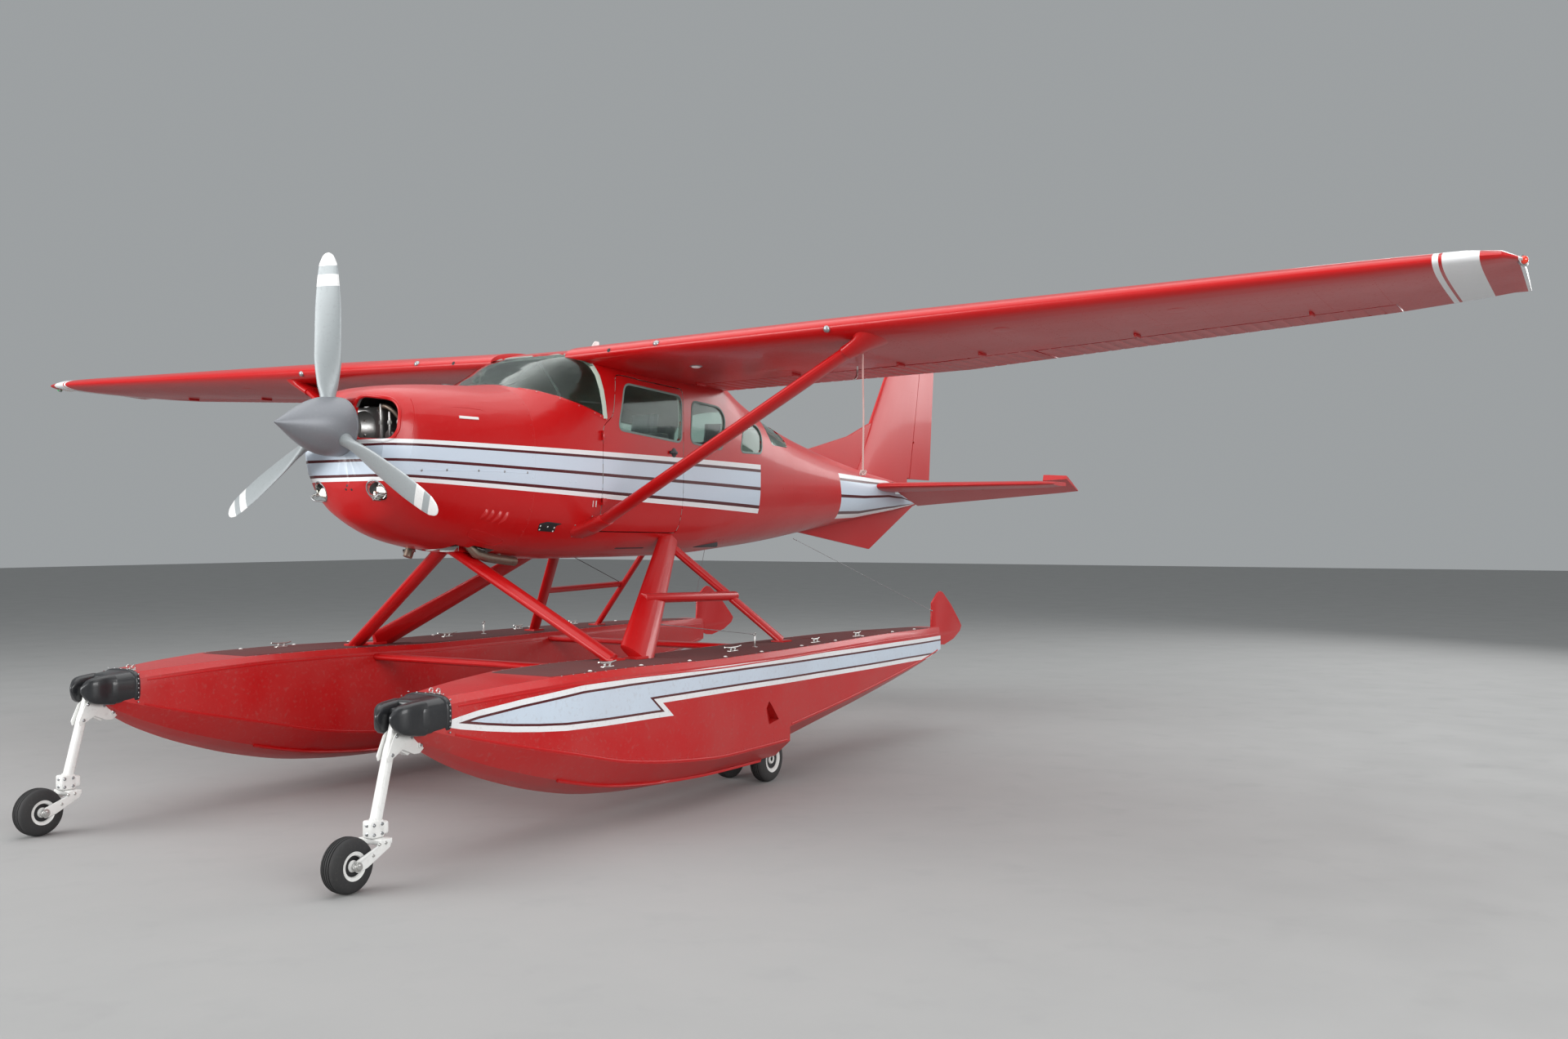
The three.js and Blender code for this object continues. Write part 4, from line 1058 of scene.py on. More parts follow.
class Graph:
    """A short way to write a node tree."""

    def __init__(self, tree: bpy.types.NodeTree) -> None:
        """Keeps the tree that nodes are added to."""
        self.tree = tree

    def add(self, kind: str, inputs: dict[str | int, object] | None = None, **settings: object) -> bpy.types.Node:
        """Adds a node.

        Args:
            kind: The node's type without its ShaderNode prefix.
            inputs: Values or sockets for its inputs, by name or number.
            settings: Attributes of the node.

        Returns:
            The node.
        """
        node = self.tree.nodes.new(f"ShaderNode{kind}" if not kind.startswith("Node") else kind)
        for key, value in settings.items():
            setattr(node, key, value)
        for key, value in (inputs or {}).items():
            self.feed(node.inputs[key], value)
        return node

    def feed(self, socket: bpy.types.NodeSocket, value: object) -> None:
        """Links a socket or sets a value."""
        if isinstance(value, bpy.types.NodeSocket):
            self.tree.links.new(value, socket)
        else:
            socket.default_value = value

    def math(self, operation: str, a: object, b: object = 0.0, c: object = 0.0,
             clamp: bool = False) -> bpy.types.NodeSocket:
        """The result of a math node."""
        node = self.add("Math", {0: a, 1: b, 2: c}, operation=operation, use_clamp=clamp)
        return node.outputs[0]

    def mix(self, share: object, a: object, b: object, blend: str = "MIX") -> bpy.types.NodeSocket:
        """Two colours mixed."""
        node = self.add("Mix", data_type="RGBA", blend_type=blend)
        self.feed(node.inputs[0], share)
        self.feed(node.inputs[6], a)
        self.feed(node.inputs[7], b)
        return node.outputs[2]

    def ramp(self, share: object, stops: Sequence[tuple[float, Sequence[float]]],
             constant: bool = False) -> bpy.types.NodeSocket:
        """A colour ramp with its stops.

        Args:
            share: What the ramp reads.
            stops: Place and colour of each stop.
            constant: Whether colours step instead of blending.

        Returns:
            The ramp's colour.
        """
        node = self.add("ValToRGB", {0: share})
        ramp = node.color_ramp
        ramp.interpolation = "CONSTANT" if constant else "LINEAR"
        while len(ramp.elements) < len(stops):
            ramp.elements.new(0.5)
        for element, (place, colour) in zip(ramp.elements, stops):
            element.position = place
            element.color = (*colour[:3], 1.0)
        return node.outputs[0]

    def curve(self, value: object, points: Sequence[tuple[float, float]], low: float,
              high: float) -> bpy.types.NodeSocket:
        """A value read off a broken line.

        Args:
            value: What is looked up.
            points: Input and output pairs, sorted by input.
            low: Output that stands for no light.
            high: Output that stands for full light.

        Returns:
            The looked-up value.
        """
        first, last = points[0][0], points[-1][0]
        share = self.add("MapRange", {0: value, 1: first, 2: last}).outputs[0]
        stops = [((p - first) / (last - first), [(q - low) / (high - low)] * 3) for p, q in points]
        grey = self.ramp(share, stops)
        level = self.add("SeparateColor", {0: grey}).outputs[0]
        return self.math("MULTIPLY_ADD", level, high - low, low)

    def noise(self, vector: object, scale: object, detail: float, rough: float = 0.5) -> bpy.types.NodeSocket:
        """Noise between 0 and 1."""
        return self.add("TexNoise", {"Vector": vector, "Scale": scale, "Detail": detail,
                                     "Roughness": rough}).outputs[0]

    def weather(self, shader: bpy.types.Node, colour: object, roughness: float, tint: Sequence[float], amount: float,
                grain: float, spread: float) -> bpy.types.NodeSocket:
        """Gives a shader its weathered colour and roughness.

        Args:
            shader: The shader node.
            colour: The clean colour.
            roughness: The clean surface's roughness.
            tint: What dust and wear turn the colour to.
            amount: How much of the tint shows.
            grain: Scale of the fine grain.
            spread: How much duller the dusty places are.

        Returns:
            The height of the fine grain.
        """
        node = self.add("Group", node_tree=Effects.weather())
        for key, value in (("Color", colour), ("Roughness", roughness), ("Tint", (*tint, 1)), ("Amount", amount),
                           ("Grain", grain), ("Spread", spread)):
            self.feed(node.inputs[key], value)
        self.feed(shader.inputs["Base Color"], node.outputs["Color"])
        self.feed(shader.inputs["Roughness"], node.outputs["Roughness"])
        return node.outputs["Height"]

    def bump(self, shader: bpy.types.Node, height: object, strength: float, distance: float) -> None:
        """Gives a shader its fine relief, so many metres deep."""
        node = self.add("Bump", {"Height": height, "Strength": strength, "Distance": distance})
        self.feed(shader.inputs["Normal"], node.outputs[0])


def new_material(name: str) -> tuple[bpy.types.Material, Graph, bpy.types.Node]:
    """A new material, its graph and its main shader node."""
    material = bpy.data.materials.new(name)
    material.use_nodes = True
    return material, Graph(material.node_tree), material.node_tree.nodes["Principled BSDF"]


def group_tree(name: str, inputs: dict[str, tuple[str, object]],
               outputs: dict[str, str]) -> tuple[bpy.types.NodeTree, Graph]:
    """Starts a shader node group with named sockets.

    Args:
        name: The group's name.
        inputs: Socket kind and default value by name.
        outputs: Socket kind by name.

    Returns:
        The tree and a graph on it.
    """
    tree = bpy.data.node_groups.new(name, "ShaderNodeTree")
    for key, (kind, default) in inputs.items():
        socket = tree.interface.new_socket(name=key, in_out="INPUT", socket_type=f"NodeSocket{kind}")
        socket.default_value = default
    for key, kind in outputs.items():
        tree.interface.new_socket(name=key, in_out="OUTPUT", socket_type=f"NodeSocket{kind}")
    return tree, Graph(tree)


class Effects:
    """Shader effects that several finishes share, each built once."""

    _built: dict[str, bpy.types.NodeTree] = {}

    @classmethod
    def weather(cls) -> bpy.types.NodeTree:
        """Slow colour change, dust and small specks over a surface, with a matching roughness and height."""
        if "weather" in cls._built:
            return cls._built["weather"]
        tree, graph = group_tree(
            "weather",
            {"Color": ("Color", (1, 1, 1, 1)), "Roughness": ("Float", 0.3), "Tint": ("Color", (0.5, 0.5, 0.5, 1)),
             "Amount": ("Float", 0.2), "Grain": ("Float", 60.0), "Spread": ("Float", 0.1)},
            {"Color": "Color", "Roughness": "Float", "Height": "Float"},
        )
        source = tree.nodes.new("NodeGroupInput").outputs
        place = graph.add("TexCoord").outputs["Object"]
        slow = graph.add("TexNoise", {"Vector": place, "Scale": 1.7, "Detail": 5.0}).outputs[0]
        fine = graph.add("TexNoise", {"Vector": place, "Scale": source["Grain"], "Detail": 4.0}).outputs[0]
        patches = graph.add("MapRange", {0: slow, 1: 0.35, 2: 0.7}).outputs[0]
        specks = graph.add("MapRange", {0: fine, 1: 0.56, 2: 0.7}).outputs[0]
        dust = graph.math("MULTIPLY_ADD", specks, 0.45, graph.math("MULTIPLY", patches, 0.6))
        share = graph.math("MULTIPLY", dust, source["Amount"], clamp=True)
        colour = graph.mix(share, source["Color"], source["Tint"])
        rough = graph.math("MULTIPLY_ADD", dust, source["Spread"], source["Roughness"], clamp=True)
        result = tree.nodes.new("NodeGroupOutput").inputs
        graph.feed(result["Color"], colour)
        graph.feed(result["Roughness"], rough)
        graph.feed(result["Height"], fine)
        cls._built["weather"] = tree
        return tree

    @classmethod
    def peel(cls) -> bpy.types.NodeTree:
        """The fine waviness of sprayed paint."""
        if "peel" in cls._built:
            return cls._built["peel"]
        tree, graph = group_tree(
            "peel", {"Scale": ("Float", 160.0), "Wave": ("Float", 0.5)}, {"Height": "Float"},
        )
        source = tree.nodes.new("NodeGroupInput").outputs
        place = graph.add("TexCoord").outputs["Object"]
        fine = graph.add("TexNoise", {"Vector": place, "Scale": source["Scale"], "Detail": 2.0}).outputs[0]
        wide = graph.add("TexNoise", {"Vector": place, "Scale": 4.5, "Detail": 1.0}).outputs[0]
        height = graph.math("MULTIPLY_ADD", wide, source["Wave"], graph.math("MULTIPLY", fine, 0.22))
        result = tree.nodes.new("NodeGroupOutput").inputs
        graph.feed(result["Height"], height)
        cls._built["peel"] = tree
        return tree


RED = (0.50, 0.0022, 0.0035)
MAROON = (0.075, 0.002, 0.006)
WHITE = (0.84, 0.85, 0.86)
# white paint in the bluish tone that it has in shade: painted shade on the stripes' wide white bands
SHADED_WHITE = (0.60, 0.69, 0.79)


class Livery(Enum):
    """Where a painted piece carries its stripes."""

    PLAIN = "plain"
    FUSELAGE = "fuselage"
    FLOAT = "float"
    WING = "wing"


# share from the stripe's top edge to its bottom edge, and the colour from there on; the wide bands are white paint in
# its bluish shaded tone, painted shade, and the thin edge lines plain white
BANDS = (
    (0.0, WHITE), (0.095, MAROON), (0.155, SHADED_WHITE), (0.46, MAROON), (0.525, SHADED_WHITE), (0.835, MAROON), (0.9, WHITE),
)


@dataclass(frozen=True)
class Paint:
    """Glossy sprayed paint, with its stripes.

    Attributes:
        name: The material's name.
        livery: Which stripes it carries.
        colour: The plain colour.
        roughness: How dull it is.
        coat: How strong the clear coat is.
        dust: How much dust lies on it.
    """

    name: str
    livery: Livery = Livery.PLAIN
    colour: tuple[float, float, float] = RED
    roughness: float = 0.3
    coat: float = 0.12
    dust: float = 0.06

    def _stripe(self, graph: Graph, y: object, z: object, tops: Sequence[tuple[float, float]],
                bottoms: Sequence[tuple[float, float]], inside: object, below: object) -> bpy.types.NodeSocket:
        """The banded stripe between two broken lines, over the colour below it.

        Args:
            graph: The material's graph.
            y: Station in metres.
            z: Height in metres.
            tops: Station and height of the upper edge.
            bottoms: Station and height of the lower edge.
            inside: 1 where the stripe may show, else 0.
            below: The colour that it is painted on.

        Returns:
            The colour with its stripe.
        """
        top = graph.curve(y, tops, 0.0, 4.0)
        bottom = graph.curve(y, bottoms, 0.0, 4.0)
        share = graph.math("DIVIDE", graph.math("SUBTRACT", top, z), graph.math("SUBTRACT", top, bottom))
        bands = graph.ramp(share, BANDS, constant=True)
        shown = graph.math("MULTIPLY", graph.math("GREATER_THAN", share, 0.0), graph.math("LESS_THAN", share, 1.0))
        return graph.mix(graph.math("MULTIPLY", shown, inside), below, bands)

    def _float_stripe(self, graph: Graph, span: object, y: object, z: object, below: object) -> bpy.types.NodeSocket:
        """The pointed stripe on a float's outer side, with its notch, over the colour below it.

        Args:
            graph: The material's graph.
            span: Distance from the aircraft's middle in metres.
            y: Station in metres.
            z: Height in metres.
            below: The colour that it is painted on.

        Returns:
            The colour with its stripe.
        """
        top = graph.curve(y, [(-0.62, 0.7), (-0.52, 0.745), (-0.41, 0.775), (-0.29, 0.799), (-0.02, 0.83),
                              (0.41, 0.864), (0.8, 0.868), (2.0, 0.857), (3.01, 0.845), (4.39, 0.824), (5.6, 0.799)],
                              0.5, 1.0)
        lobe = graph.curve(y, [(-0.62, 0.79), (-0.52, 0.745), (-0.39, 0.713), (-0.24, 0.688), (-0.08, 0.666),
                               (0.09, 0.648),
                               (0.28, 0.633), (0.56, 0.625), (1.03, 0.617), (1.22, 0.611)], 0.5, 1.0)
        band = graph.curve(y, [(1.1, 0.698), (2.0, 0.689), (3.01, 0.675), (4.68, 0.644), (5.6, 0.62)], 0.5, 1.0)
        from_top = graph.math("SUBTRACT", top, z)
        notch = graph.math("MULTIPLY_ADD", y, -0.62, graph.math("MULTIPLY_ADD", z, -0.784,
                                                                0.62 * 1.219 + 0.784 * 0.611))
        front = graph.math("MINIMUM", graph.math("SUBTRACT", z, lobe), notch)
        rear = graph.math("MINIMUM", graph.math("SUBTRACT", z, band), graph.math("SUBTRACT", y, 0.8))
        depth = graph.math("MINIMUM", from_top, graph.math("MAXIMUM", front, rear))
        share = graph.add("MapRange", {0: depth, 1: 0.0, 2: 0.1}).outputs[0]
        # the wide band is white paint in its bluish shaded tone: painted shade
        bands = graph.ramp(share, [(0.0, WHITE), (0.30, MAROON), (0.43, SHADED_WHITE)], constant=True)
        outer = graph.math("GREATER_THAN", span, HULL.FLOAT_X * MM + 0.03)
        shown = graph.math("MULTIPLY", graph.math("GREATER_THAN", depth, 0.0), outer)
        return graph.mix(shown, below, bands)

    def _marked(self, graph: Graph, colour: object) -> bpy.types.NodeSocket:
        """The paint's colour with the livery's stripes on it."""
        parts = graph.add("SeparateXYZ", {0: graph.add("TexCoord").outputs["Object"]}).outputs
        x, y, z = parts[0], graph.math("ADD", parts[1], MID_STATION * MM), parts[2]
        span = graph.math("ABSOLUTE", x)
        if self.livery is Livery.FUSELAGE:
            tops = [(0.0, 2.232), (5.6, 2.228), (6.9, 2.205), (7.3, 2.15), (7.82, 2.0)]
            bottoms = [(0.0, 1.995), (0.25, 1.989), (1.95, 1.913), (3.93, 1.841), (5.6, 1.816), (6.2, 1.832),
                       (7.16, 1.918), (7.82, 1.998)]
            front = graph.math("LESS_THAN", y, 3.865)
            rear = graph.math("GREATER_THAN", graph.math("MULTIPLY_ADD", z, 0.25, y), 5.6 + 0.25 * 2.02)
            inside = graph.math("MAXIMUM", front, rear)
            return self._stripe(graph, y, z, tops, bottoms, inside, colour)
        if self.livery is Livery.FLOAT:
            return self._float_stripe(graph, span, y, z, colour)
        if self.livery is Livery.WING:
            stops = [(0.0, (0, 0, 0)), (0.28, (1, 1, 1)), (0.314, (0, 0, 0)), (0.333, (1, 1, 1)), (0.5425, (0, 0, 0))]
            share = graph.add("MapRange", {0: span, 1: 5.375, 2: 6.17}).outputs[0]
            bands = graph.ramp(share, stops, constant=True)
            low = graph.curve(span, [(5.8, 3.2), (5.86, 3.075), (5.9, 3.056), (5.985, 3.03)], 2.8, 3.4)
            rim = graph.math("MULTIPLY", graph.math("GREATER_THAN", z, low), graph.math("GREATER_THAN", span, 5.86))
            edge = graph.math("GREATER_THAN", span, 5.968)
            shown = graph.math("MAXIMUM", bands, graph.math("MAXIMUM", rim, edge))
            return graph.mix(shown, colour, (*WHITE, 1))
        return colour

    def build(self) -> bpy.types.Material:
        """Makes the material."""
        material, graph, shader = new_material(self.name)
        marked = self._marked(graph, (*self.colour, 1))
        graph.weather(shader, marked, self.roughness, (0.28, 0.19, 0.17), self.dust, 45.0, 0.12)
        peel = graph.add("Group", node_tree=Effects.peel())
        graph.bump(shader, peel.outputs[0], 0.16, 0.004)
        shader.inputs["Coat Weight"].default_value = self.coat
        shader.inputs["Coat Roughness"].default_value = 0.06
        shader.inputs["Specular IOR Level"].default_value = 0.4
        return material


@dataclass(frozen=True)
class Surface:
    """A worn, grained surface: metal, rubber, plastic or cloth.

    Attributes:
        name: The material's name.
        colour: Its main colour.
        tint: What dust and wear turn it to.
        roughness: How dull it is.
        metallic: 1 for bare metal.
        amount: How much of the tint shows.
        grain: Scale of its fine grain.
        bump: How deep the grain is, in millimetres.
        coat: Strength of a clear coat.
        sheen: Strength of the sheen on cloth.
        glow: How brightly it shines by itself.
    """

    name: str
    colour: tuple[float, float, float]
    tint: tuple[float, float, float]
    roughness: float
    metallic: float = 0.0
    amount: float = 0.5
    grain: float = 80.0
    bump: float = 0.3
    coat: float = 0.0
    sheen: float = 0.0
    glow: float = 0.0

    def build(self) -> bpy.types.Material:
        """Makes the material."""
        material, graph, shader = new_material(self.name)
        height = graph.weather(shader, (*self.colour, 1), self.roughness, self.tint, self.amount, self.grain, 0.15)
        graph.bump(shader, height, 0.5, self.bump * MM)
        shader.inputs["Metallic"].default_value = self.metallic
        shader.inputs["Coat Weight"].default_value = self.coat
        shader.inputs["Sheen Weight"].default_value = self.sheen
        shader.inputs["Emission Color"].default_value = (*self.colour, 1)
        shader.inputs["Emission Strength"].default_value = self.glow
        return material


@dataclass(frozen=True)
class Glass:
    """Tinted window plastic with a few fine scratches."""

    name: str
    colour: tuple[float, float, float] = (0.72, 0.86, 0.80)
    roughness: float = 0.03

    def build(self) -> bpy.types.Material:
        """Makes the material."""
        material, graph, shader = new_material(self.name)
        place = graph.add("TexCoord").outputs["Object"]
        smear = graph.noise(place, 9.0, 5.0, 0.6)
        rough = graph.math("MULTIPLY_ADD", smear, 0.06, self.roughness)
        graph.feed(shader.inputs["Roughness"], rough)
        colour = graph.mix(graph.add("MapRange", {0: smear, 1: 0.4, 2: 0.8}).outputs[0], (*self.colour, 1),
                           (self.colour[0] * 0.9, self.colour[1] * 0.94, self.colour[2] * 0.92, 1))
        graph.feed(shader.inputs["Base Color"], colour)
        shader.inputs["Transmission Weight"].default_value = 1.0
        shader.inputs["IOR"].default_value = 1.2
        return material


@dataclass(frozen=True)
class BladePaint:
    """Grey propeller paint with white bands near each tip."""

    name: str = "blade_paint"

    def build(self) -> bpy.types.Material:
        """Makes the material, whose bands read the distance from the hub."""
        material, graph, shader = new_material(self.name)
        place = graph.add("TexCoord").outputs["Object"]
        centre = graph.add("VectorMath", {0: place, 1: (0.0, -MID_STATION * MM, 2.307)},
                           operation="SUBTRACT").outputs[0]
        flat = graph.add("VectorMath", {0: centre, 1: (1.0, 0.0, 1.0)}, operation="MULTIPLY").outputs[0]
        reach = graph.add("VectorMath", {0: flat}, operation="LENGTH").outputs[1]
        grey, white = (0.34, 0.37, 0.38), (0.80, 0.80, 0.79)
        colour = graph.ramp(reach, [(0.0, grey), (0.808, white), (0.875, grey), (0.922, white)], constant=True)
        height = graph.weather(shader, colour, 0.42, (0.2, 0.21, 0.21), 0.35, 70.0, 0.15)
        graph.bump(shader, height, 0.3, 0.0004)
        shader.inputs["Metallic"].default_value = 0.25
        return material


FINISHES = {kind.name: kind for kind in (
    Paint("fuselage_paint", Livery.FUSELAGE),
    Paint("float_paint", Livery.FLOAT, roughness=0.34, dust=0.3),
    Paint("wing_paint", Livery.WING),
    Paint("red_paint"),
    Surface("white_paint", (0.78, 0.78, 0.76), (0.42, 0.40, 0.36), 0.35, amount=0.5, grain=35.0, coat=0.2),
    Glass("glass"),
    BladePaint(),
    Surface("spinner_grey", (0.21, 0.22, 0.24), (0.32, 0.33, 0.35), 0.42, 0.35, 0.4, 50.0, 0.15),
    Surface("engine_metal", (0.46, 0.46, 0.45), (0.20, 0.18, 0.16), 0.38, 0.85, 0.6, 40.0, 0.6),
    Surface("bright_metal", (0.62, 0.62, 0.60), (0.35, 0.34, 0.31), 0.3, 0.95, 0.4, 60.0, 0.2),
    Surface("exhaust_steel", (0.30, 0.24, 0.19), (0.12, 0.08, 0.06), 0.45, 0.85, 0.8, 30.0, 0.4),
    Surface("tyre_rubber", (0.020, 0.020, 0.021), (0.085, 0.080, 0.074), 0.72, amount=0.5, grain=90.0, bump=0.5),
    Surface("bumper_rubber", (0.010, 0.011, 0.013), (0.04, 0.04, 0.042), 0.34, amount=0.3, grain=50.0, bump=0.4,
            coat=0.25),
    Surface("seat_cloth", (0.12, 0.13, 0.15), (0.20, 0.20, 0.21), 0.85, amount=0.4, grain=400.0, bump=0.8, sheen=0.4),
    Surface("panel_plastic", (0.03, 0.03, 0.033), (0.08, 0.08, 0.08), 0.6, amount=0.4, grain=200.0, bump=0.4),
    Surface("trim", (0.44, 0.43, 0.40), (0.30, 0.29, 0.27), 0.75, amount=0.5, grain=150.0, bump=0.4),
    Surface("rope_fibre", (0.55, 0.30, 0.28), (0.75, 0.68, 0.62), 0.85, amount=0.7, grain=500.0, bump=0.6, sheen=0.3),
    Surface("deck_grip", (0.12, 0.018, 0.018), (0.08, 0.055, 0.05), 0.85, amount=0.7, grain=260.0, bump=1.2),
    Surface("mirror", (0.85, 0.85, 0.83), (0.7, 0.7, 0.68), 0.08, 1.0, 0.2, 40.0, 0.05),
    Glass("lamp_glass", (0.96, 0.97, 0.97), 0.02),
    Surface("filament", (1.0, 0.95, 0.86), (1.0, 0.9, 0.8), 0.3, amount=0.2, grain=90.0, bump=0.05, glow=2.5),
    Surface("beacon_red", (0.75, 0.04, 0.012), (0.5, 0.03, 0.02), 0.12, amount=0.2, grain=60.0, bump=0.05, coat=0.6),
    Surface("beacon_green", (0.02, 0.42, 0.10), (0.02, 0.3, 0.08), 0.12, amount=0.2, grain=60.0, bump=0.05, coat=0.6),
    Surface("pale_seal", (0.56, 0.68, 0.58), (0.42, 0.50, 0.43), 0.55, amount=0.5, grain=90.0, bump=0.3),
    Surface("window_seal", (0.20, 0.27, 0.25), (0.12, 0.16, 0.15), 0.55, amount=0.5, grain=90.0, bump=0.3),
    Surface("bare_steel", (0.40, 0.41, 0.42), (0.22, 0.21, 0.20), 0.34, 0.9, 0.5, 70.0, 0.2),
    Surface("dial_white", (0.8, 0.8, 0.78), (0.6, 0.6, 0.58), 0.5, amount=0.3, grain=200.0, bump=0.05),
    Surface("lead_orange", (0.45, 0.10, 0.02), (0.2, 0.06, 0.03), 0.6, amount=0.4, grain=120.0, bump=0.2),
    Surface("black", (0.012, 0.012, 0.013), (0.05, 0.05, 0.05), 0.5, amount=0.3, grain=120.0, bump=0.2),
    Surface("floor", (0.36, 0.36, 0.355), (0.31, 0.31, 0.31), 0.7, amount=0.4, grain=3.0, bump=0.05),
)}
_made: dict[str, bpy.types.Material] = {}


def finish(name: str) -> bpy.types.Material:
    """The material of a finish, built the first time it is asked for."""
    if name not in _made:
        _made[name] = FINISHES[name].build()
    return _made[name]


# Stage


@dataclass
class Studio:
    """Camera at the photograph's viewing angle, a pale floor and soft lights."""

    position: tuple[float, float, float] = (6.364, -9.178, 1.697)
    turn: float = 30.70
    pitch: float = 90.51
    lens: float = 32.13
    floor_half: float = 60.0

    def camera(self) -> None:
        """Adds the camera and makes it the scene's own."""
        data = bpy.data.cameras.new("camera")
        data.lens = self.lens
        data.sensor_width = 36.0
        data.clip_end = 300.0
        camera = bpy.data.objects.new("camera", data)
        camera.location = self.position
        camera.rotation_euler = (math.radians(self.pitch), math.radians(0.04), math.radians(self.turn))
        bpy.context.scene.collection.objects.link(camera)
        bpy.context.scene.camera = camera

    def floor(self) -> None:
        """Adds the floor."""
        bpy.ops.object.select_all(action="DESELECT")
        bpy.ops.mesh.primitive_plane_add(size=2 * self.floor_half)
        floor = named("floor")
        floor.data.materials.append(finish("floor"))

    def lights(self) -> None:
        """Adds soft lamps over, beside and behind the aircraft, and a pale world."""
        # name, place, aimed at, size across and along, power
        lamps = [
            ("overhead", (0.0, -1.0, 9.0), (0.0, 0.0, 1.5), (16.0, 12.0), 900.0),
            ("door_side", (-7.0, -15.0, 5.0), (0.0, -1.0, 2.0), (12.0, 6.0), 1900.0),
            ("camera_side", (16.0, -9.0, 5.5), (1.0, 0.0, 1.8), (10.0, 6.0), 1500.0),
            ("behind", (6.0, 12.0, 6.0), (0.0, 2.0, 2.0), (9.0, 5.0), 500.0),
        ]
        for name, place, aim, (across, along), power in lamps:
            light = bpy.data.lights.new(name, "AREA")
            light.shape = "RECTANGLE"
            light.size, light.size_y = across, along
            light.energy = power
            lamp = bpy.data.objects.new(name, light)
            lamp.location = place
            lamp.rotation_euler = (Vector(aim) - Vector(place)).to_track_quat("-Z", "Y").to_euler()
            bpy.context.scene.collection.objects.link(lamp)
        world = bpy.data.worlds.new("world")
        world.use_nodes = True
        world.node_tree.nodes["Background"].inputs[0].default_value = (0.80, 0.84, 0.86, 1)
        world.node_tree.nodes["Background"].inputs[1].default_value = 0.42
        bpy.context.scene.world = world
        bpy.context.scene.view_settings.view_transform = "Standard"


@dataclass
class MooringRope:
    """Three-strand rope that hangs from the left wing strut's lug and ends in a knot."""

    exit: Vector
    radius: float = 6.0
    strand: float = 3.1
    lay: float = 46.0
    steps: int = 240

    # away from the lug's foot: across, aft, down
    ROUTE = ((0, 0, -0.3), (0, 1, -150), (3, 3, -400), (0, 1, -620), (-3, 5, -755))

    def path(self, count: int) -> list[Vector]:
        """Points along the rope's smooth centre line."""
        corners = [self.exit + Vector(p) * MM for p in self.ROUTE]
        found = []
        for k in range(count + 1):
            place = k / count * (len(corners) - 1)
            i = min(int(place), len(corners) - 2)
            found.append(on_curve(corners, i, place - i))
        return found

    def build(self) -> None:
        path = self.path(self.steps)
        strands = []
        for k in range(3):
            line = []
            run = 0.0
            for i, (point, (u, v)) in enumerate(zip(path, frames_along(path))):
                run += (point - path[i - 1]).length if i else 0.0
                turn = run / MM / self.lay * 2 * math.pi + k * 2 * math.pi / 3
                line.append(point + (u * math.cos(turn) + v * math.sin(turn)) * (self.radius - self.strand) * MM)
            strands.append(tube(f"strand_{k}", line, self.strand, 8))
        rope = soften(joined("mooring_rope", strands), 60)
        foot = path[-1]
        turns = []
        for k in range(73):
            a = k / 72 * 2 * math.pi
            turns.append(foot + Vector(((14 + 6 * math.cos(3 * a)) * math.cos(2 * a), (11 + 5 * math.cos(3 * a))
                                        * math.sin(2 * a), 16 + 13 * math.sin(3 * a))) * MM)
        knot = soften(tube("rope_knot", turns[:-1] + [turns[0]], self.radius - 0.6, 10), 60)
        install(rope, "airframe", "rope_fibre", "rope_fibre", replaces=["tie_rope"])
        install(knot, "airframe", "rope_fibre", "rope_fibre")


# Airframe


@dataclass
class Shell:
    """Fuselage skins, doors and glass, smooth copies of the frame's faceted ones."""

    inside_from: float = 130.0
    skin_depth: float = 9.0
    bulkhead: float = 0.8

    # node, body, whether it is glass
    PIECES = (
        ("cabin", "airframe", False), ("cowl", "airframe", False), ("tail_cone", "airframe", False),
        ("door_left", "left_door", False), ("cargo_door_front", "cargo_front", False),
        ("cargo_door_rear", "cargo_rear", False), ("windscreen", "airframe", True), ("rear_window", "airframe", True),
        ("window_middle_left", "airframe", True), ("window_aft_left", "airframe", True),
        ("window_front_right", "airframe", True), ("door_pane_left", "left_door", True),
        ("cargo_pane_front", "cargo_front", True), ("cargo_pane_rear", "cargo_rear", True),
    )

    def _inside_faces(self, piece: Piece) -> None:
        """Gives the faces that look inwards the second material."""
        for polygon in piece.data.polygons:
            middle = polygon.center
            station = middle.y / MM + MID_STATION
            x, z = middle.x / MM, middle.z / MM - FUSELAGE.axis(station)
            radius, angle = math.hypot(x, z), math.atan2(z, x)
            inwards = polygon.normal.x * x + polygon.normal.z * z < 0 or abs(polygon.normal.y) > self.bulkhead
            depth = FUSELAGE.smooth_radius(station, angle) - radius
            if station > self.inside_from and inwards and depth > self.skin_depth:
                polygon.material_index = 1

    def build(self) -> None:
        """Makes every skin."""
        for node, body, glass in self.PIECES:
            piece = solid_copy(node, f"{node}_skin")
            low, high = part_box(node)
            sliced(piece, FUSELAGE.planes(low.y / MM + MID_STATION, high.y / MM + MID_STATION))
            moved(piece, FUSELAGE.rounded)
            soften(piece, 30)
            if glass:
                install(piece, body, "clear_glass", "glass", replaces=[node])
                continue
            self._inside_faces(piece)
            inner = "engine_metal" if node == "cowl" else "trim"
            install(piece, body, "red_paint", "fuselage_paint", inner, replaces=[node])


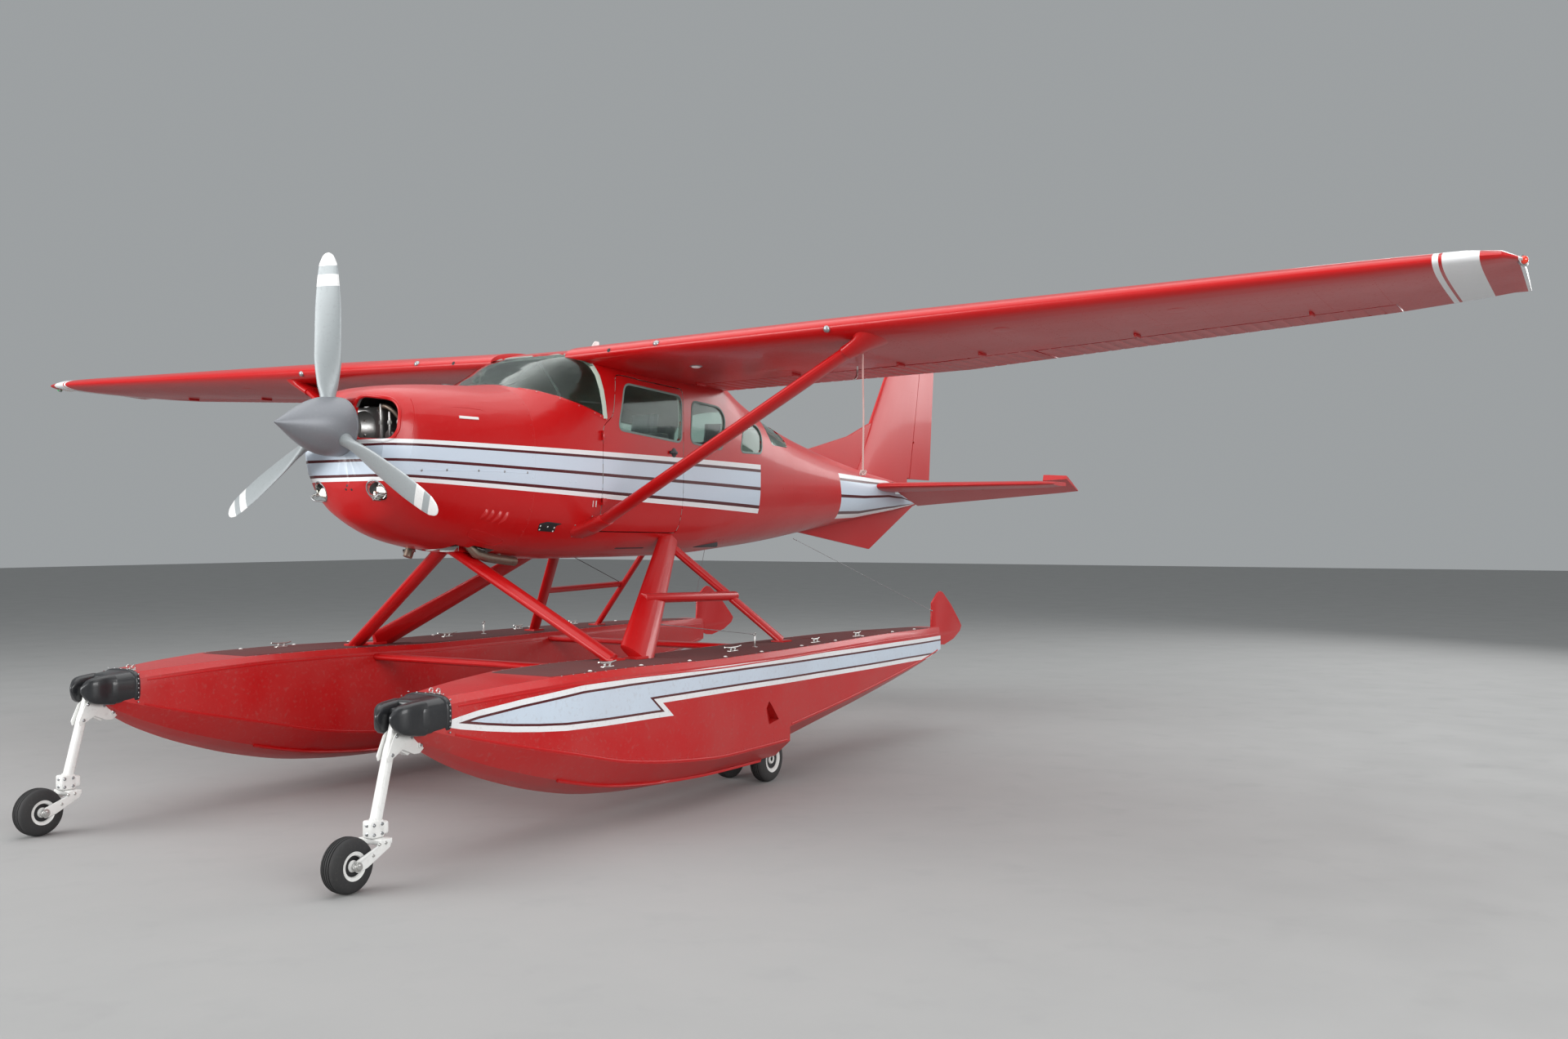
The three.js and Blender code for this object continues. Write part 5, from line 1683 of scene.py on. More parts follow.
@dataclass
class Surfaces:
    """Wings, tail, floats and struts, smooth copies of the frame's faceted ones."""

    rib_pitch: float = 88.0
    rib_half: float = 13.0
    rib_depth: float = 5.0
    rib_margin: float = 45.0
    rib_fade: tuple[float, float] = (0.05, 0.03)

    def _ribbed(self, piece: Piece) -> Piece:
        """Presses grooves that run from front to back into a flap or an aileron."""
        low = min(vertex.co.x for vertex in piece.data.vertices) / MM + self.rib_margin
        high = max(vertex.co.x for vertex in piece.data.vertices) / MM - self.rib_margin
        count = int((high - low) / self.rib_pitch)
        middles = [low + (high - low) * (k + 0.5) / count for k in range(count)]
        cuts = [m + self.rib_half * u for m in middles for u in (-1.0, -0.6, 0.0, 0.6, 1.0)]
        sliced(piece, [(Vector((x * MM, 0, 0)), ACROSS) for x in cuts])
        depths = []
        for vertex in piece.data.vertices:
            x = vertex.co.x / MM
            off = min(abs(x - m) for m in middles) / self.rib_half
            depths.append(self.rib_depth * (1 - min(off, 1.0) ** 2) ** 2)
        normals = [vertex.normal.copy() for vertex in piece.data.vertices]
        front = min(vertex.co.y for vertex in piece.data.vertices)
        back = max(vertex.co.y for vertex in piece.data.vertices)
        for vertex, normal, depth in zip(piece.data.vertices, normals, depths):
            fade = held((vertex.co.y - front) / self.rib_fade[0]) * held((back - vertex.co.y) / self.rib_fade[1])
            if abs(normal.z) > 0.5:
                vertex.co -= Vector((0, 0, math.copysign(depth * fade * MM, normal.z)))
        piece.data.update()
        return piece

    def _foils(self) -> None:
        """Makes the lifting surfaces."""
        # node, body, foil, finish
        rows = [("tailplane", "airframe", TAIL_FOIL, "red_paint"), ("fin", "airframe", FIN_FOIL, "red_paint"),
                ("rudder", "rudder", FIN_FOIL, "red_paint")]
        for side in Side:
            rows += [
                (f"wing_{side.tag}", "airframe", WING_FOIL, "wing_paint"),
                (f"flap_{side.tag}", f"flap_{side.tag}", WING_FOIL, "wing_paint"),
                (f"aileron_{side.tag}", f"aileron_{side.tag}", WING_FOIL, "wing_paint"),
            ]
        for node, body, foil, paint in rows:
            piece = solid_copy(node, f"{node}_skin")
            planes = foil.planes()
            if node.endswith("_right"):
                planes = [(MIRROR @ point, MIRROR.to_3x3() @ normal) for point, normal in planes]
            if node == "tailplane":
                planes += [(MIRROR @ point, MIRROR.to_3x3() @ normal) for point, normal in planes]
            sliced(piece, planes)
            moved(piece, foil.rounded)
            if node.startswith(("flap", "aileron")):
                self._ribbed(piece)
            soften(piece, 32)
            install(piece, body, "red_paint", paint, replaces=[node])

    def _copies(self) -> None:
        """Makes the pieces whose frame shape only needs soft shading."""
        # node stem, body stem, slot, finish, sided, bevel in millimetres
        rows = [
            ("elevator", "elevator", "red_paint", "red_paint", False, 0.0),
            ("spreader_front", "airframe", "red_paint", "red_paint", False, 0.0),
            ("spreader_rear", "airframe", "red_paint", "red_paint", False, 0.0),
            ("wing_strut", "airframe", "red_paint", "red_paint", True, 0.0),
            ("front_strut", "airframe", "red_paint", "red_paint", True, 1.5),
            ("main_strut", "airframe", "red_paint", "red_paint", True, 1.5),
            ("rear_strut", "airframe", "red_paint", "red_paint", True, 1.5),
            ("nose_fork", "nose_fork", "white_paint", "white_paint", True, 5.0),
            ("main_leg", "airframe", "white_paint", "white_paint", True, 3.0),
            ("water_rudder", "water_rudder", "red_paint", "red_paint", True, 2.0),
            ("exhaust", "airframe", "exhaust_steel", "exhaust_steel", False, 0.0),
            ("instrument_panel", "airframe", "panel_plastic", "panel_plastic", False, 4.0),
        ]
        for stem, body, slot, paint, sided, bevel in rows:
            for tag in [f"_{side.tag}" for side in Side] if sided else [""]:
                piece = solid_copy(stem + tag, f"{stem}{tag}_skin")
                if bevel:
                    modify(piece, "BEVEL", width=bevel * MM, segments=3, limit_method="ANGLE",
                           angle_limit=math.radians(38), harden_normals=False)
                rides = body + tag if sided and body != "airframe" else body
                install(soften(piece, 35), rides, slot, paint, replaces=[stem + tag])

    def _pocket(self, piece: Piece, sign: float) -> None:
        """Sinks the slanting pocket into a float's outer side, ahead of the step."""
        outline = [at(sign * 1500, s, z) for s, z in ((2304, 584), (2330, 560), (2428, 452), (2302, 430),
                                                      (2268, 537))]
        cutter = plate("cutter", outline, Vector((sign * 0.2, 0, 0)), 0)
        for vertex in cutter.data.vertices:
            if abs(vertex.co.x) < 1.6 and vertex.co.y / MM + MID_STATION < 2310:
                vertex.co.x = sign * 1.535
        modify(piece, "BOOLEAN", operation="DIFFERENCE", object=cutter, solver="EXACT")
        bpy.data.objects.remove(cutter)

    def _floats(self) -> None:
        """Makes the float hulls."""
        for side in Side:
            node = f"float_{side.tag}"
            piece = sliced(solid_copy(node, f"{node}_skin"), HULL.planes())
            moved(piece, HULL.rounded)
            self._pocket(piece, side.sign)
            soften(piece, 22)
            install(piece, "airframe", "red_paint", "float_paint", replaces=[node])

    def build(self) -> None:
        """Makes all of them."""
        self._foils()
        self._floats()
        self._copies()


@dataclass
class Nose:
    """What the cowl carries: inlet lips and baffles, landing lamps, louvres, seams, fasteners, drains and latches."""

    lamp_x: float = 228.0
    lamp_height: float = 1938.0
    lamp_radius: float = 52.0
    inlet_x: float = 112.0
    inlet_height: float = 2342.0
    inlet_round: float = 45.0
    front: float = 118.0

    # across from the inlet's middle line, height above its level
    INLET = ((-38, -100), (235, -118), (272, -60), (262, 60), (205, 122), (20, 145), (-32, 80))
    # station and height of each louvre's lower and upper end
    LOUVRES = (((778, 1779), (797, 1836)), ((826, 1768), (845, 1831)), ((875, 1757), (906, 1826)),
               ((928, 1744), (961, 1822)))

    def _front_hit(self, skin: Skin, x: float, height: float) -> Hit:
        """The place on the nose straight behind a point of its front view."""
        found = skin.hit(at(x, -600, height), BACK)
        if found and found.point.y / MM + MID_STATION < 290:
            return found
        return Hit(at(x, self.front, height), AHEAD)

    def _inlet(self, skin: Skin, sign: float) -> tuple[Piece, Piece]:
        """An inlet's rounded lip and the baffle behind it."""
        loop = rounded_loop([(x, z) for x, z in self.INLET], self.inlet_round, 22, 8)
        path = []
        for x, z in loop:
            place = self._front_hit(skin, sign * (self.inlet_x + x * 1.045 - 4), self.inlet_height + z * 1.05)
            path.append(place.point - place.normal * 3.5 * MM)
        lip = ring("lip", path, 11.0, 12)
        outline = [at(sign * x, 242, z) for x, z in ((300, 2232), (392, 2228), (404, 2290), (392, 2330), (306, 2318))]
        baffle = plate("baffle", outline, Vector((0, 0.004, 0)), 1.2)
        return lip, baffle

    def _lamp(self, skin: Skin, sign: float) -> list[tuple[Piece, str]]:
        """A landing lamp: bezel, clear dome, bowl and bulb."""
        reach = self.lamp_radius + 5
        around = [self._front_hit(skin, sign * self.lamp_x + c * reach, self.lamp_height + s * reach)
                  for c, s in circle(24)]
        rim = [hit.point for hit in around]
        middle = sum(rim, Vector()) / len(rim)
        out = sum((hit.normal for hit in around), Vector()).normalized()
        bezel = ring("bezel", rim, 4.5)
        rows = []
        for share in (1.0, 0.86, 0.68, 0.46, 0.22, 0.06):
            rows.append([middle + (point - middle) * share + out * (1 - share ** 2) * 13 * MM for point in rim])
        dome = soften(lattice("dome", rows), 50)
        profile = [(3, 62), (20, 60), (34, 50), (44, 34), (48.5, 12), (51, 12), (47, 36), (36, 54), (21, 64), (3, 66)]
        deepest = max(point.y for point in rim) / MM + MID_STATION
        centre = at(sign * self.lamp_x, deepest - 8, self.lamp_height)
        bowl = soften(revolve("bowl", [*profile, profile[0]], centre, BACK, 36), 40)
        bulb_profile = [(0, 8), (9, 10), (15, 18), (17, 28), (13, 40), (8, 47), (8, 60), (0, 60)]
        bulb = soften(revolve("bulb", bulb_profile, centre, BACK, 20), 50)
        return [(bezel, "bare_steel"), (dome, "lamp_glass"), (bowl, "mirror"), (bulb, "filament")]

    def _louvres(self, sign: float) -> Piece:
        """Four pressed louvres, open at the back."""
        parts = []
        for low, high in self.LOUVRES:
            rows = []
            for k in range(9):
                share = k / 8
                swell = math.sin(math.pi * min(max(share, 0.02), 0.98)) ** 0.5
                station, height = (a + (b - a) * share for a, b in zip(low, high))
                row = []
                for offset, rise in ((-15, -2.5), (-11, 1.0), (-4, 9.0), (4, 14.5), (8, 15.0), (9, 12.0), (9, -2.5)):
                    hit = FUSELAGE.hit(station + offset, height, sign)
                    lift = rise if rise < 0 else rise * swell
                    row.append(hit.point + hit.normal * lift * MM)
                rows.append(row)
            parts.append(soften(lattice("louvre", rows), 40))
        return joined("louvres", parts)

    def _fasteners(self, skin: Skin) -> tuple[Piece, Piece]:
        """Quarter-turn fasteners along the cowl's split line, and screws round its rear edge."""
        split, edge = [], []
        for sign in BOTH:
            for station, height in ((173, 2047), (300, 2055), (460, 2061), (688, 2065), (890, 2066), (1080, 2066)):
                split.append(FUSELAGE.hit(station, height, sign))
            for k in range(15):
                edge.append(FUSELAGE.hit(1128, 1640 + k * 66, sign))
        below = skin.hits([at(x, 1128, 1200) for x in (-320, -200, -80, 80, 200, 320)], UP)
        above = skin.hits([at(x, 1128, 3000) for x in (-360, -240, -120, 0, 120, 240, 360)], DOWN)
        return (scattered("cowl_fasteners", screw("fastener", 7.5, 1.6), split, 45),
                scattered("cowl_screws", button("screw", 5.0, 1.3), edge + below + above))

    def _seams(self) -> list[Piece]:
        """Thin joint strips: the bowl's edge, the split line between upper and lower cowl, and the hatch's edge."""
        strips = []
        for sign in BOTH:
            bowl = [FUSELAGE.hit(232 + 45 * ((height - 2100) / 350) ** 2, height, sign)
                    for height in range(2085, 2471, 24)]
            strips.append(ribbon("bowl_seam", bowl, 7.0, 2.2))
            split = [FUSELAGE.hit(station, 2052 + 12 * min((station - 130) / 500, 1), sign)
                     for station in range(136, 1141, 38)]
            strips.append(ribbon("split_seam", split, 3.0, 0.7))
            hatch = [FUSELAGE.hit(station, height, sign) for station, height in
                     ((430, 2420), (470, 2436), (560, 2440), (650, 2440), (742, 2436), (782, 2420))]
            strips.append(ribbon("hatch_seam", hatch, 3.0, 0.7))
        return strips

    def build(self) -> None:
        """Makes all of it."""
        skin = Skin("cowl_skin")
        lips, baffles, lamp_parts = [], [], {}
        for sign in BOTH:
            lip, baffle = self._inlet(skin, sign)
            lips.append(lip)
            baffles.append(baffle)
            for piece, paint in self._lamp(skin, sign):
                lamp_parts.setdefault(paint, []).append(piece)
        install(joined("inlet_lips", lips), "airframe", "red_paint", "fuselage_paint")
        install(joined("inlet_baffles", baffles), "airframe", "red_paint", "red_paint")
        names = {"bare_steel": "lamp_bezels", "lamp_glass": "lamp_domes", "mirror": "lamp_bowls",
                 "filament": "lamp_bulbs"}
        for paint, parts in lamp_parts.items():
            slot = "clear_glass" if paint == "lamp_glass" else "grey_metal"
            install(joined(names[paint], parts), "airframe", slot, paint)
        install(joined("cowl_louvres", [self._louvres(sign) for sign in BOTH]), "airframe", "red_paint", "red_paint")
        fasteners, screws = self._fasteners(skin)
        install(fasteners, "airframe", "grey_metal", "bare_steel")
        install(screws, "airframe", "red_paint", "fuselage_paint")
        install(joined("cowl_seams", self._seams()), "airframe", "red_paint", "fuselage_paint")
        drains = [self._front_hit(skin, x, height) for x, height in ((28, 1968), (14, 1946), (58, 1944))]
        install(scattered("nose_drains", button("drain", 8, 0.8, 16), drains), "airframe", "panel_plastic", "black")
        latches, flaps = [], []
        for sign in BOTH:
            path = [FUSELAGE.hit(station, 2378, sign) for station in (556, 592, 628, 664, 700)]
            latches.append(ribbon("latch", path, 17, 5.0))
            edge = [(747, 1717), (880, 1690), (1038, 1648), (1044, 1628), (1000, 1612), (870, 1640), (760, 1672)]
            flaps.append(ribbon("flap_edge", [FUSELAGE.hit(s, h, sign) for s, h in rounded_loop(edge, 24, 30)], 6,
                                2.0, closed=True))
        install(joined("oil_door_latches", latches), "airframe", "grey_metal", "dial_white")
        install(joined("cooling_flap_edges", flaps), "airframe", "red_paint", "red_paint")


@dataclass
class Engine:
    """Flat engine: crankcase, finned cylinders, covers, pumps, pipes and plug leads."""

    cylinder_height: float = 2290.0
    cylinder_inner: float = 150.0
    cylinder_outer: float = 384.0
    barrel: float = 52.0
    fin: float = 70.0
    fin_pitch: float = 9.5
    stations: tuple[float, ...] = (400.0, 590.0, 780.0)

    def _cylinder(self, station: float, sign: float) -> list[tuple[Piece, str]]:
        """One finned cylinder with its cover, pipe and lead."""
        profile = [(0, self.cylinder_inner), (self.barrel, self.cylinder_inner)]
        place = self.cylinder_inner + 8
        while place < self.cylinder_outer - 45:
            profile += [(self.barrel, place), (self.fin, place + 1.6), (self.fin, place + 3.4),
                        (self.barrel, place + 5)]
            place += self.fin_pitch
        head = self.cylinder_outer - 36
        profile += [(self.barrel + 6, head), (self.barrel + 8, head + 6), (self.barrel - 4, head + 12),
                    (0, head + 12)]
        centre = at(0, station, self.cylinder_height)
        finned = soften(revolve("cylinder", profile, centre, Vector((sign, 0, 0)), 40), 28)
        x0, x1 = sorted((sign * (head + 6), sign * self.cylinder_outer))
        cover = block("cover", at(x0, station - 48, self.cylinder_height - 34),
                      at(x1, station + 48, self.cylinder_height + 40), 9, 3)
        pipe = tube("pipe", curve_points([at(sign * 110, station + 20, 2085), at(sign * 200, station + 26, 2080),
                                          at(sign * 290, station + 26, 2120), at(sign * 330, station + 20, 2228)]),
                                          19, 14)
        lead = tube("lead", curve_points([at(sign * 120, station + 60, 2440), at(sign * 210, station + 50, 2452),
                                          at(sign * 300, station + 18, 2416), at(sign * 318, station - 6, 2364)]), 5,
                                          8)
        plug = rod("plug", at(sign * 318, station - 6, 2372), at(sign * 318, station - 6, 2346), 10, 6, 1.5)
        return [(finned, "engine_metal"), (soften(cover, 30), "engine_metal"), (pipe, "bright_metal"),
                (lead, "lead_orange"), (plug, "bright_metal")]

    def _case(self) -> list[tuple[Piece, str]]:
        """The crankcase, its nose, sump and accessories."""
        case = block("case", at(-150, 262, 2090), at(150, 968, 2436), 22, 4)
        nose = revolve("nose", [(0, 154), (64, 154), (68, 160), (68, 190), (92, 225), (110, 268), (0, 268)],
                       at(0, 0, 2307), BACK, 40)
        sump = block("sump", at(-225, 306, 1866), at(225, 846, 2072), 26, 4)
        back = block("back", at(-205, 960, 2004), at(205, 1072, 2416), 12, 3)
        spine = block("spine", at(-24, 290, 2430), at(24, 950, 2446), 5, 2)
        found = [(soften(piece, 32), "engine_metal") for piece in (case, nose, sump, back, spine)]
        for x, height, radius, reach in ((-120, 2350, 42, 70), (110, 2350, 42, 70), (0, 2150, 52, 66)):
            end = revolve("pump", [(0, 1060), (radius, 1060), (radius, 1060 + reach - 14),
                                   (radius - 8, 1060 + reach - 4),
                                   (0, 1060 + reach - 4)], at(x, 0, height), BACK, 24)
            found.append((soften(end, 32), "bright_metal"))
        for sign in BOTH:
            for height in (2110, 2350):
                arm = rod("mount", at(sign * 120, 1050, height), at(sign * 238, 1143, height), 14, 14, 2)
                found.append((soften(arm), "black"))
        bolts = [Hit(at(x, 262, z), AHEAD) for x, z in ((-128, 2412), (128, 2412), (-128, 2114), (128, 2114))]
        bolts += [Hit(at(math.cos(a) * 84, 214, 2307 + math.sin(a) * 84), AHEAD) for a in
                  (math.radians(30 + 60 * k) for k in range(6))]
        found.append((scattered("case_bolts", bolt("case_bolt", 7, 8), bolts), "bright_metal"))
        return found

    def _front_gear(self, sign: float) -> list[tuple[Piece, str]]:
        """Pipes, rods and a starter that show through one inlet."""
        found = []
        for x, station, low, high, radius in ((176, 236, 2236, 2446, 7), (222, 262, 2236, 2400, 9),
                                              (262, 292, 2240, 2452, 6)):
            found.append((soften(rod("rod", at(sign * x, station, low), at(sign * x, station, high), radius, 16,
                                     1.5)), "bright_metal"))
            found.append((soften(rod("nut", at(sign * x, station, low + 90), at(sign * x, station, low + 112),
                                     radius + 6, 6, 1.5), 30),
                          "bright_metal"))
        barrel = revolve("starter", [(0, -60), (30, -60), (36, -52), (36, 30), (30, 38), (14, 42), (14, 58), (0, 58)],
                         at(sign * 205, 330, 2262), BACK, 32)
        found.append((soften(barrel, 32), "bright_metal"))
        pipe = tube("pipe", curve_points([at(sign * 150, 250, 2420), at(sign * 205, 244, 2432),
                                          at(sign * 262, 262, 2396), at(sign * 290, 300, 2330)], 6), 13, 14)
        found.append((soften(pipe, 50), "exhaust_steel"))
        return found

    def build(self) -> None:
        """Makes the engine as one piece of each finish."""
        groups: dict[str, list[Piece]] = {}
        parts = self._case() + self._front_gear(1) + self._front_gear(-1)
        for station in self.stations:
            for sign in BOTH:
                parts += self._cylinder(station, sign)
        for piece, paint in parts:
            groups.setdefault(paint, []).append(piece)
        for k, (paint, pieces) in enumerate(groups.items()):
            install(joined(f"engine_{paint}", pieces), "airframe", "engine_metal", paint,
                    replaces=["engine"] if k == 0 else ())


@dataclass
class Exhaust:
    """Clamps on the exhaust stacks, and the bright breather pipe beside them."""

    radius: float = 30.0

    def build(self) -> None:
        """Makes the clamps and the pipe."""
        groups: list[Piece] = []
        for middle, axis in ((at(142, 1003, 1698), Vector((0.2, 0.45, -1.0))),
                             (at(205, 1190, 1535), Vector((0.4, 1.0, -0.25))),
                             (at(-200, 838, 1580), Vector((0, 0.05, -1)))):
            profile = [(self.radius - 2, -9), (self.radius + 3.5, -9), (self.radius + 4.5, -6), (self.radius + 3, -3),
                       (self.radius + 3, 3), (self.radius + 4.5, 6), (self.radius + 3.5, 9), (self.radius - 2, 9),
                       (self.radius - 2, -9)]
            clamp = soften(revolve("clamp", profile, middle, axis, 32), 40)
            out = axis.orthogonal().normalized()
            ear = block("ear", mm(-7, -9, -2), mm(7, 9, 14), 2)
            ear.data.transform(Hit(middle + out * (self.radius + 2) * MM, out).matrix())
            groups += [clamp, ear]
        install(joined("exhaust_clamps", groups), "airframe", "grey_metal", "bright_metal")
        path = curve_points([at(196, 1010, 1600), at(204, 1120, 1574), at(200, 1260, 1556), at(196, 1390, 1546)], 8)
        pipe = tube("breather_pipe", path, 11, 16)
        install(soften(pipe, 50), "airframe", "grey_metal", "bright_metal")


@dataclass
class CabinTrim:
    """Window seals, pillar and sill strips, braces, vent plate, door handles, covers, rivets and aerials."""

    seal_width: float = 15.0
    seal_height: float = 2.4

    # window corners by station and height, with the side and the body that the window moves with
    WINDOWS = (
        ("door_left", 1, "left_door", ((1945, 2386), (2685, 2338), (2690, 2672), (2025, 2706))),
        ("middle_left", 1, "airframe", ((2800, 2345), (3240, 2312), (3290, 2560), (3205, 2632), (2822, 2650))),
        ("aft_left", 1, "airframe", ((3520, 2312), (3890, 2318), (3925, 2480), (3865, 2545), (3600, 2556))),
        ("front_right", -1, "airframe", ((1945, 2386), (2685, 2338), (2690, 2672), (2025, 2706))),
        ("cargo_front", -1, "cargo_front", ((2850, 2345), (3240, 2330), (3240, 2640), (2850, 2650))),
        ("cargo_rear", -1, "cargo_rear", ((3380, 2330), (3800, 2330), (3800, 2480), (3720, 2570), (3380, 2600))),
    )
    PILLAR = ((1822, 2452), (1814, 2540), (1804, 2640), (1795, 2740), (1788, 2800))
    SILL = ((1815, 2457), (1700, 2489), (1560, 2527), (1420, 2565), (1290, 2601), (1215, 2621))
    VENT = ((1238, 1750), (1250, 1705), (1393, 1697), (1387, 1737), (1436, 1751), (1304, 1763))
    VENT_SCREWS = ((1254, 1737), (1317, 1732), (1376, 1726), (1258, 1715), (1376, 1704))

    def _seals(self) -> None:
        """The seals round the side windows."""
        for name, sign, body, corners in self.WINDOWS:
            path = [FUSELAGE.hit(station, height, sign) for station, height in rounded_loop(corners, 60, 30)]
            seal = ribbon(f"seal_{name}", path, self.seal_width, self.seal_height, closed=True)
            install(seal, body, "panel_plastic", "window_seal")

    def _windscreen(self) -> None:
        """The pale pillar seals, the sill's retaining strips with their screws, and the braces inside."""
        pillars, sills, screws = [], [], []
        for sign in BOTH:
            pillars.append(ribbon("pillar", [FUSELAGE.hit(s - 16, h, sign) for s, h in self.PILLAR], 40, 3.0))
            path = [FUSELAGE.hit(s, h - 8, sign) for s, h in self.SILL]
            sills.append(ribbon("sill", path, 26, 2.2))
            for before, after in zip(path, path[1:]):
                screws += [before, Hit((before.point + after.point) / 2, before.normal)]
        install(joined("pillar_seals", pillars), "airframe", "panel_plastic", "pale_seal")
        install(joined("sill_strips", sills), "airframe", "red_paint", "fuselage_paint")
        raised = [Hit(hit.point + hit.normal * 2 * MM, hit.normal) for hit in screws]
        install(scattered("sill_screws", button("screw", 4.5, 1.4), raised), "airframe", "grey_metal", "bare_steel")
        braces = []
        for sign in BOTH:
            path = [at(sign * 14, 1830, 2858), at(sign * 250, 1700, 2680), at(sign * 400, 1600, 2560)]
            braces.append(tube("brace", curve_points(path, 5), 12, 12))
        install(joined("cabin_braces", braces), "airframe", "panel_plastic", "black")

    def _fittings(self) -> None:
        """The vent plate with its screws, the door stop pads, the door handles and the small round covers."""
        rows = []
        loop = rounded_loop(self.VENT, 12, 14, 4)
        middle = (sum(p[0] for p in loop) / len(loop), sum(p[1] for p in loop) / len(loop))
        for share, lift in ((1.0, -2.0), (1.0, 2.0), (0.93, 3.2), (0.4, 3.2), (0.1, 3.2)):
            row = []
            for s, h in loop:
                hit = FUSELAGE.hit(middle[0] + (s - middle[0]) * share, middle[1] + (h - middle[1]) * share)
                row.append(hit.point + hit.normal * lift * MM)
            rows.append(row)
        install(soften(lattice("vent_plate", rows), 30), "airframe", "panel_plastic", "black")
        places = [FUSELAGE.hit(s, h) for s, h in self.VENT_SCREWS]
        raised = [Hit(hit.point + hit.normal * 3.2 * MM, hit.normal) for hit in places]
        install(scattered("vent_screws", screw("screw", 6.0, 2.2), raised), "airframe", "grey_metal", "white_paint")
        marks = []
        for station, width in ((1690, 5), (1720, 9)):
            marks.append(ribbon("mark", [FUSELAGE.hit(station, h) for h in range(1862, 1906, 7)], width, 3.0))
        install(joined("door_stop_pads", marks), "airframe", "white_paint", "white_paint")
        for body, name, station, sign in (("left_door", "handle_left_door", 2590, 1),
                                          ("cargo_rear", "handle_cargo_door", 3370, -1)):
            bed = button("bed", 34, 3.0, 32)
            grip = block("grip", mm(-11, -62, 3), mm(11, 30, 13), 4, 3)
            stem = rod("stem", DOWN * MM, UP * 14 * MM, 9, 20, 1.5)
            handle = joined(name, [bed, grip, stem])
            handle.data.transform(FUSELAGE.hit(station, 2262, sign).matrix(0 if sign > 0 else 180))
            install(soften(handle, 35), body, "grey_metal", "black")
        covers = [FUSELAGE.hit(s, h, sign) for s, h, sign in ((1457, 2021, 1), (1513, 2023, 1), (1457, 2021, -1),
                                                              (1513, 2023, -1),
                                                              (4300, 2050, 1), (4300, 2050, -1))]
        install(scattered("small_covers", button("cover", 8, 1.2, 20), covers), "airframe", "white_paint",
                "fuselage_paint")

    def _rivets(self) -> None:
        """Rows of flush rivets round the tail cone's frames and along its skin joints."""
        places = []
        for sign in BOTH:
            for station in (4540, 5000, 5480, 5960, 6440):
                low, high = FUSELAGE.SECTIONS.curved(station)[1:3]
                count = int((high - low - 130) / 46)
                for k in range(count + 1):
                    places.append(FUSELAGE.hit(station, low + 65 + (high - low - 130) * k / count, sign))
            for k in range(34):
                station = 4560 + k * 62
                low, high = FUSELAGE.SECTIONS.curved(station)[1:3]
                places.append(FUSELAGE.hit(station, low + (high - low) * 0.82, sign))
            for k in range(40):
                places.append(FUSELAGE.hit(1180 + k * 66, 1640, sign))
        install(scattered("fuselage_rivets", button("rivet", 3.4, 0.8, 8), places), "airframe", "red_paint",
                "fuselage_paint")

    def _aerials(self, skin: Skin) -> None:
        """Two blade aerials and a whip aerial on the roof."""
        parts = []
        for x, station, tall, chord in ((0, 2420, 110, 130), (0, 3300, 150, 120)):
            foot = skin.hit(at(x, station, 3600), DOWN)
            base = foot.point.z / MM
            rows = []
            for share in (-0.12, 0.0, 0.25, 0.5, 0.75, 0.93, 1.0):
                width, thick = chord * (1 - 0.55 * max(share, 0)), 15 * (1 - 0.5 * max(share, 0))
                if share == 1.0:
                    width, thick = width * 0.7, thick * 0.4
                rows.append([at(x + s * thick / 2, station + max(share, 0) * tall * 0.5 + c * width / 2,
                                base + share * tall) for c, s in circle(20)])
            parts.append(soften(lattice("aerial", rows), 40))
        foot = skin.hit(at(0, 3900, 3600), DOWN)
        whip = [foot.point - Vector((0, 0, 0.01)), foot.point + Vector((0, 0.05, 0.16)),
                foot.point + Vector((0, 0.16, 0.4)), foot.point + Vector((0, 0.30, 0.62))]
        parts.append(tube("whip", curve_points(whip, 6), lambda share: 5 - 3 * share, 10))
        parts.append(scattered("whip_foot", button("foot", 26, 12, 24), [foot]))
        install(joined("roof_aerials", parts), "airframe", "white_paint", "white_paint")

    def build(self) -> None:
        """Makes all of it."""
        skin = Skin("cabin_skin", "tail_cone_skin", "wing_left_skin", "wing_right_skin")
        self._seals()
        self._windscreen()
        self._fittings()
        self._rivets()
        self._aerials(skin)


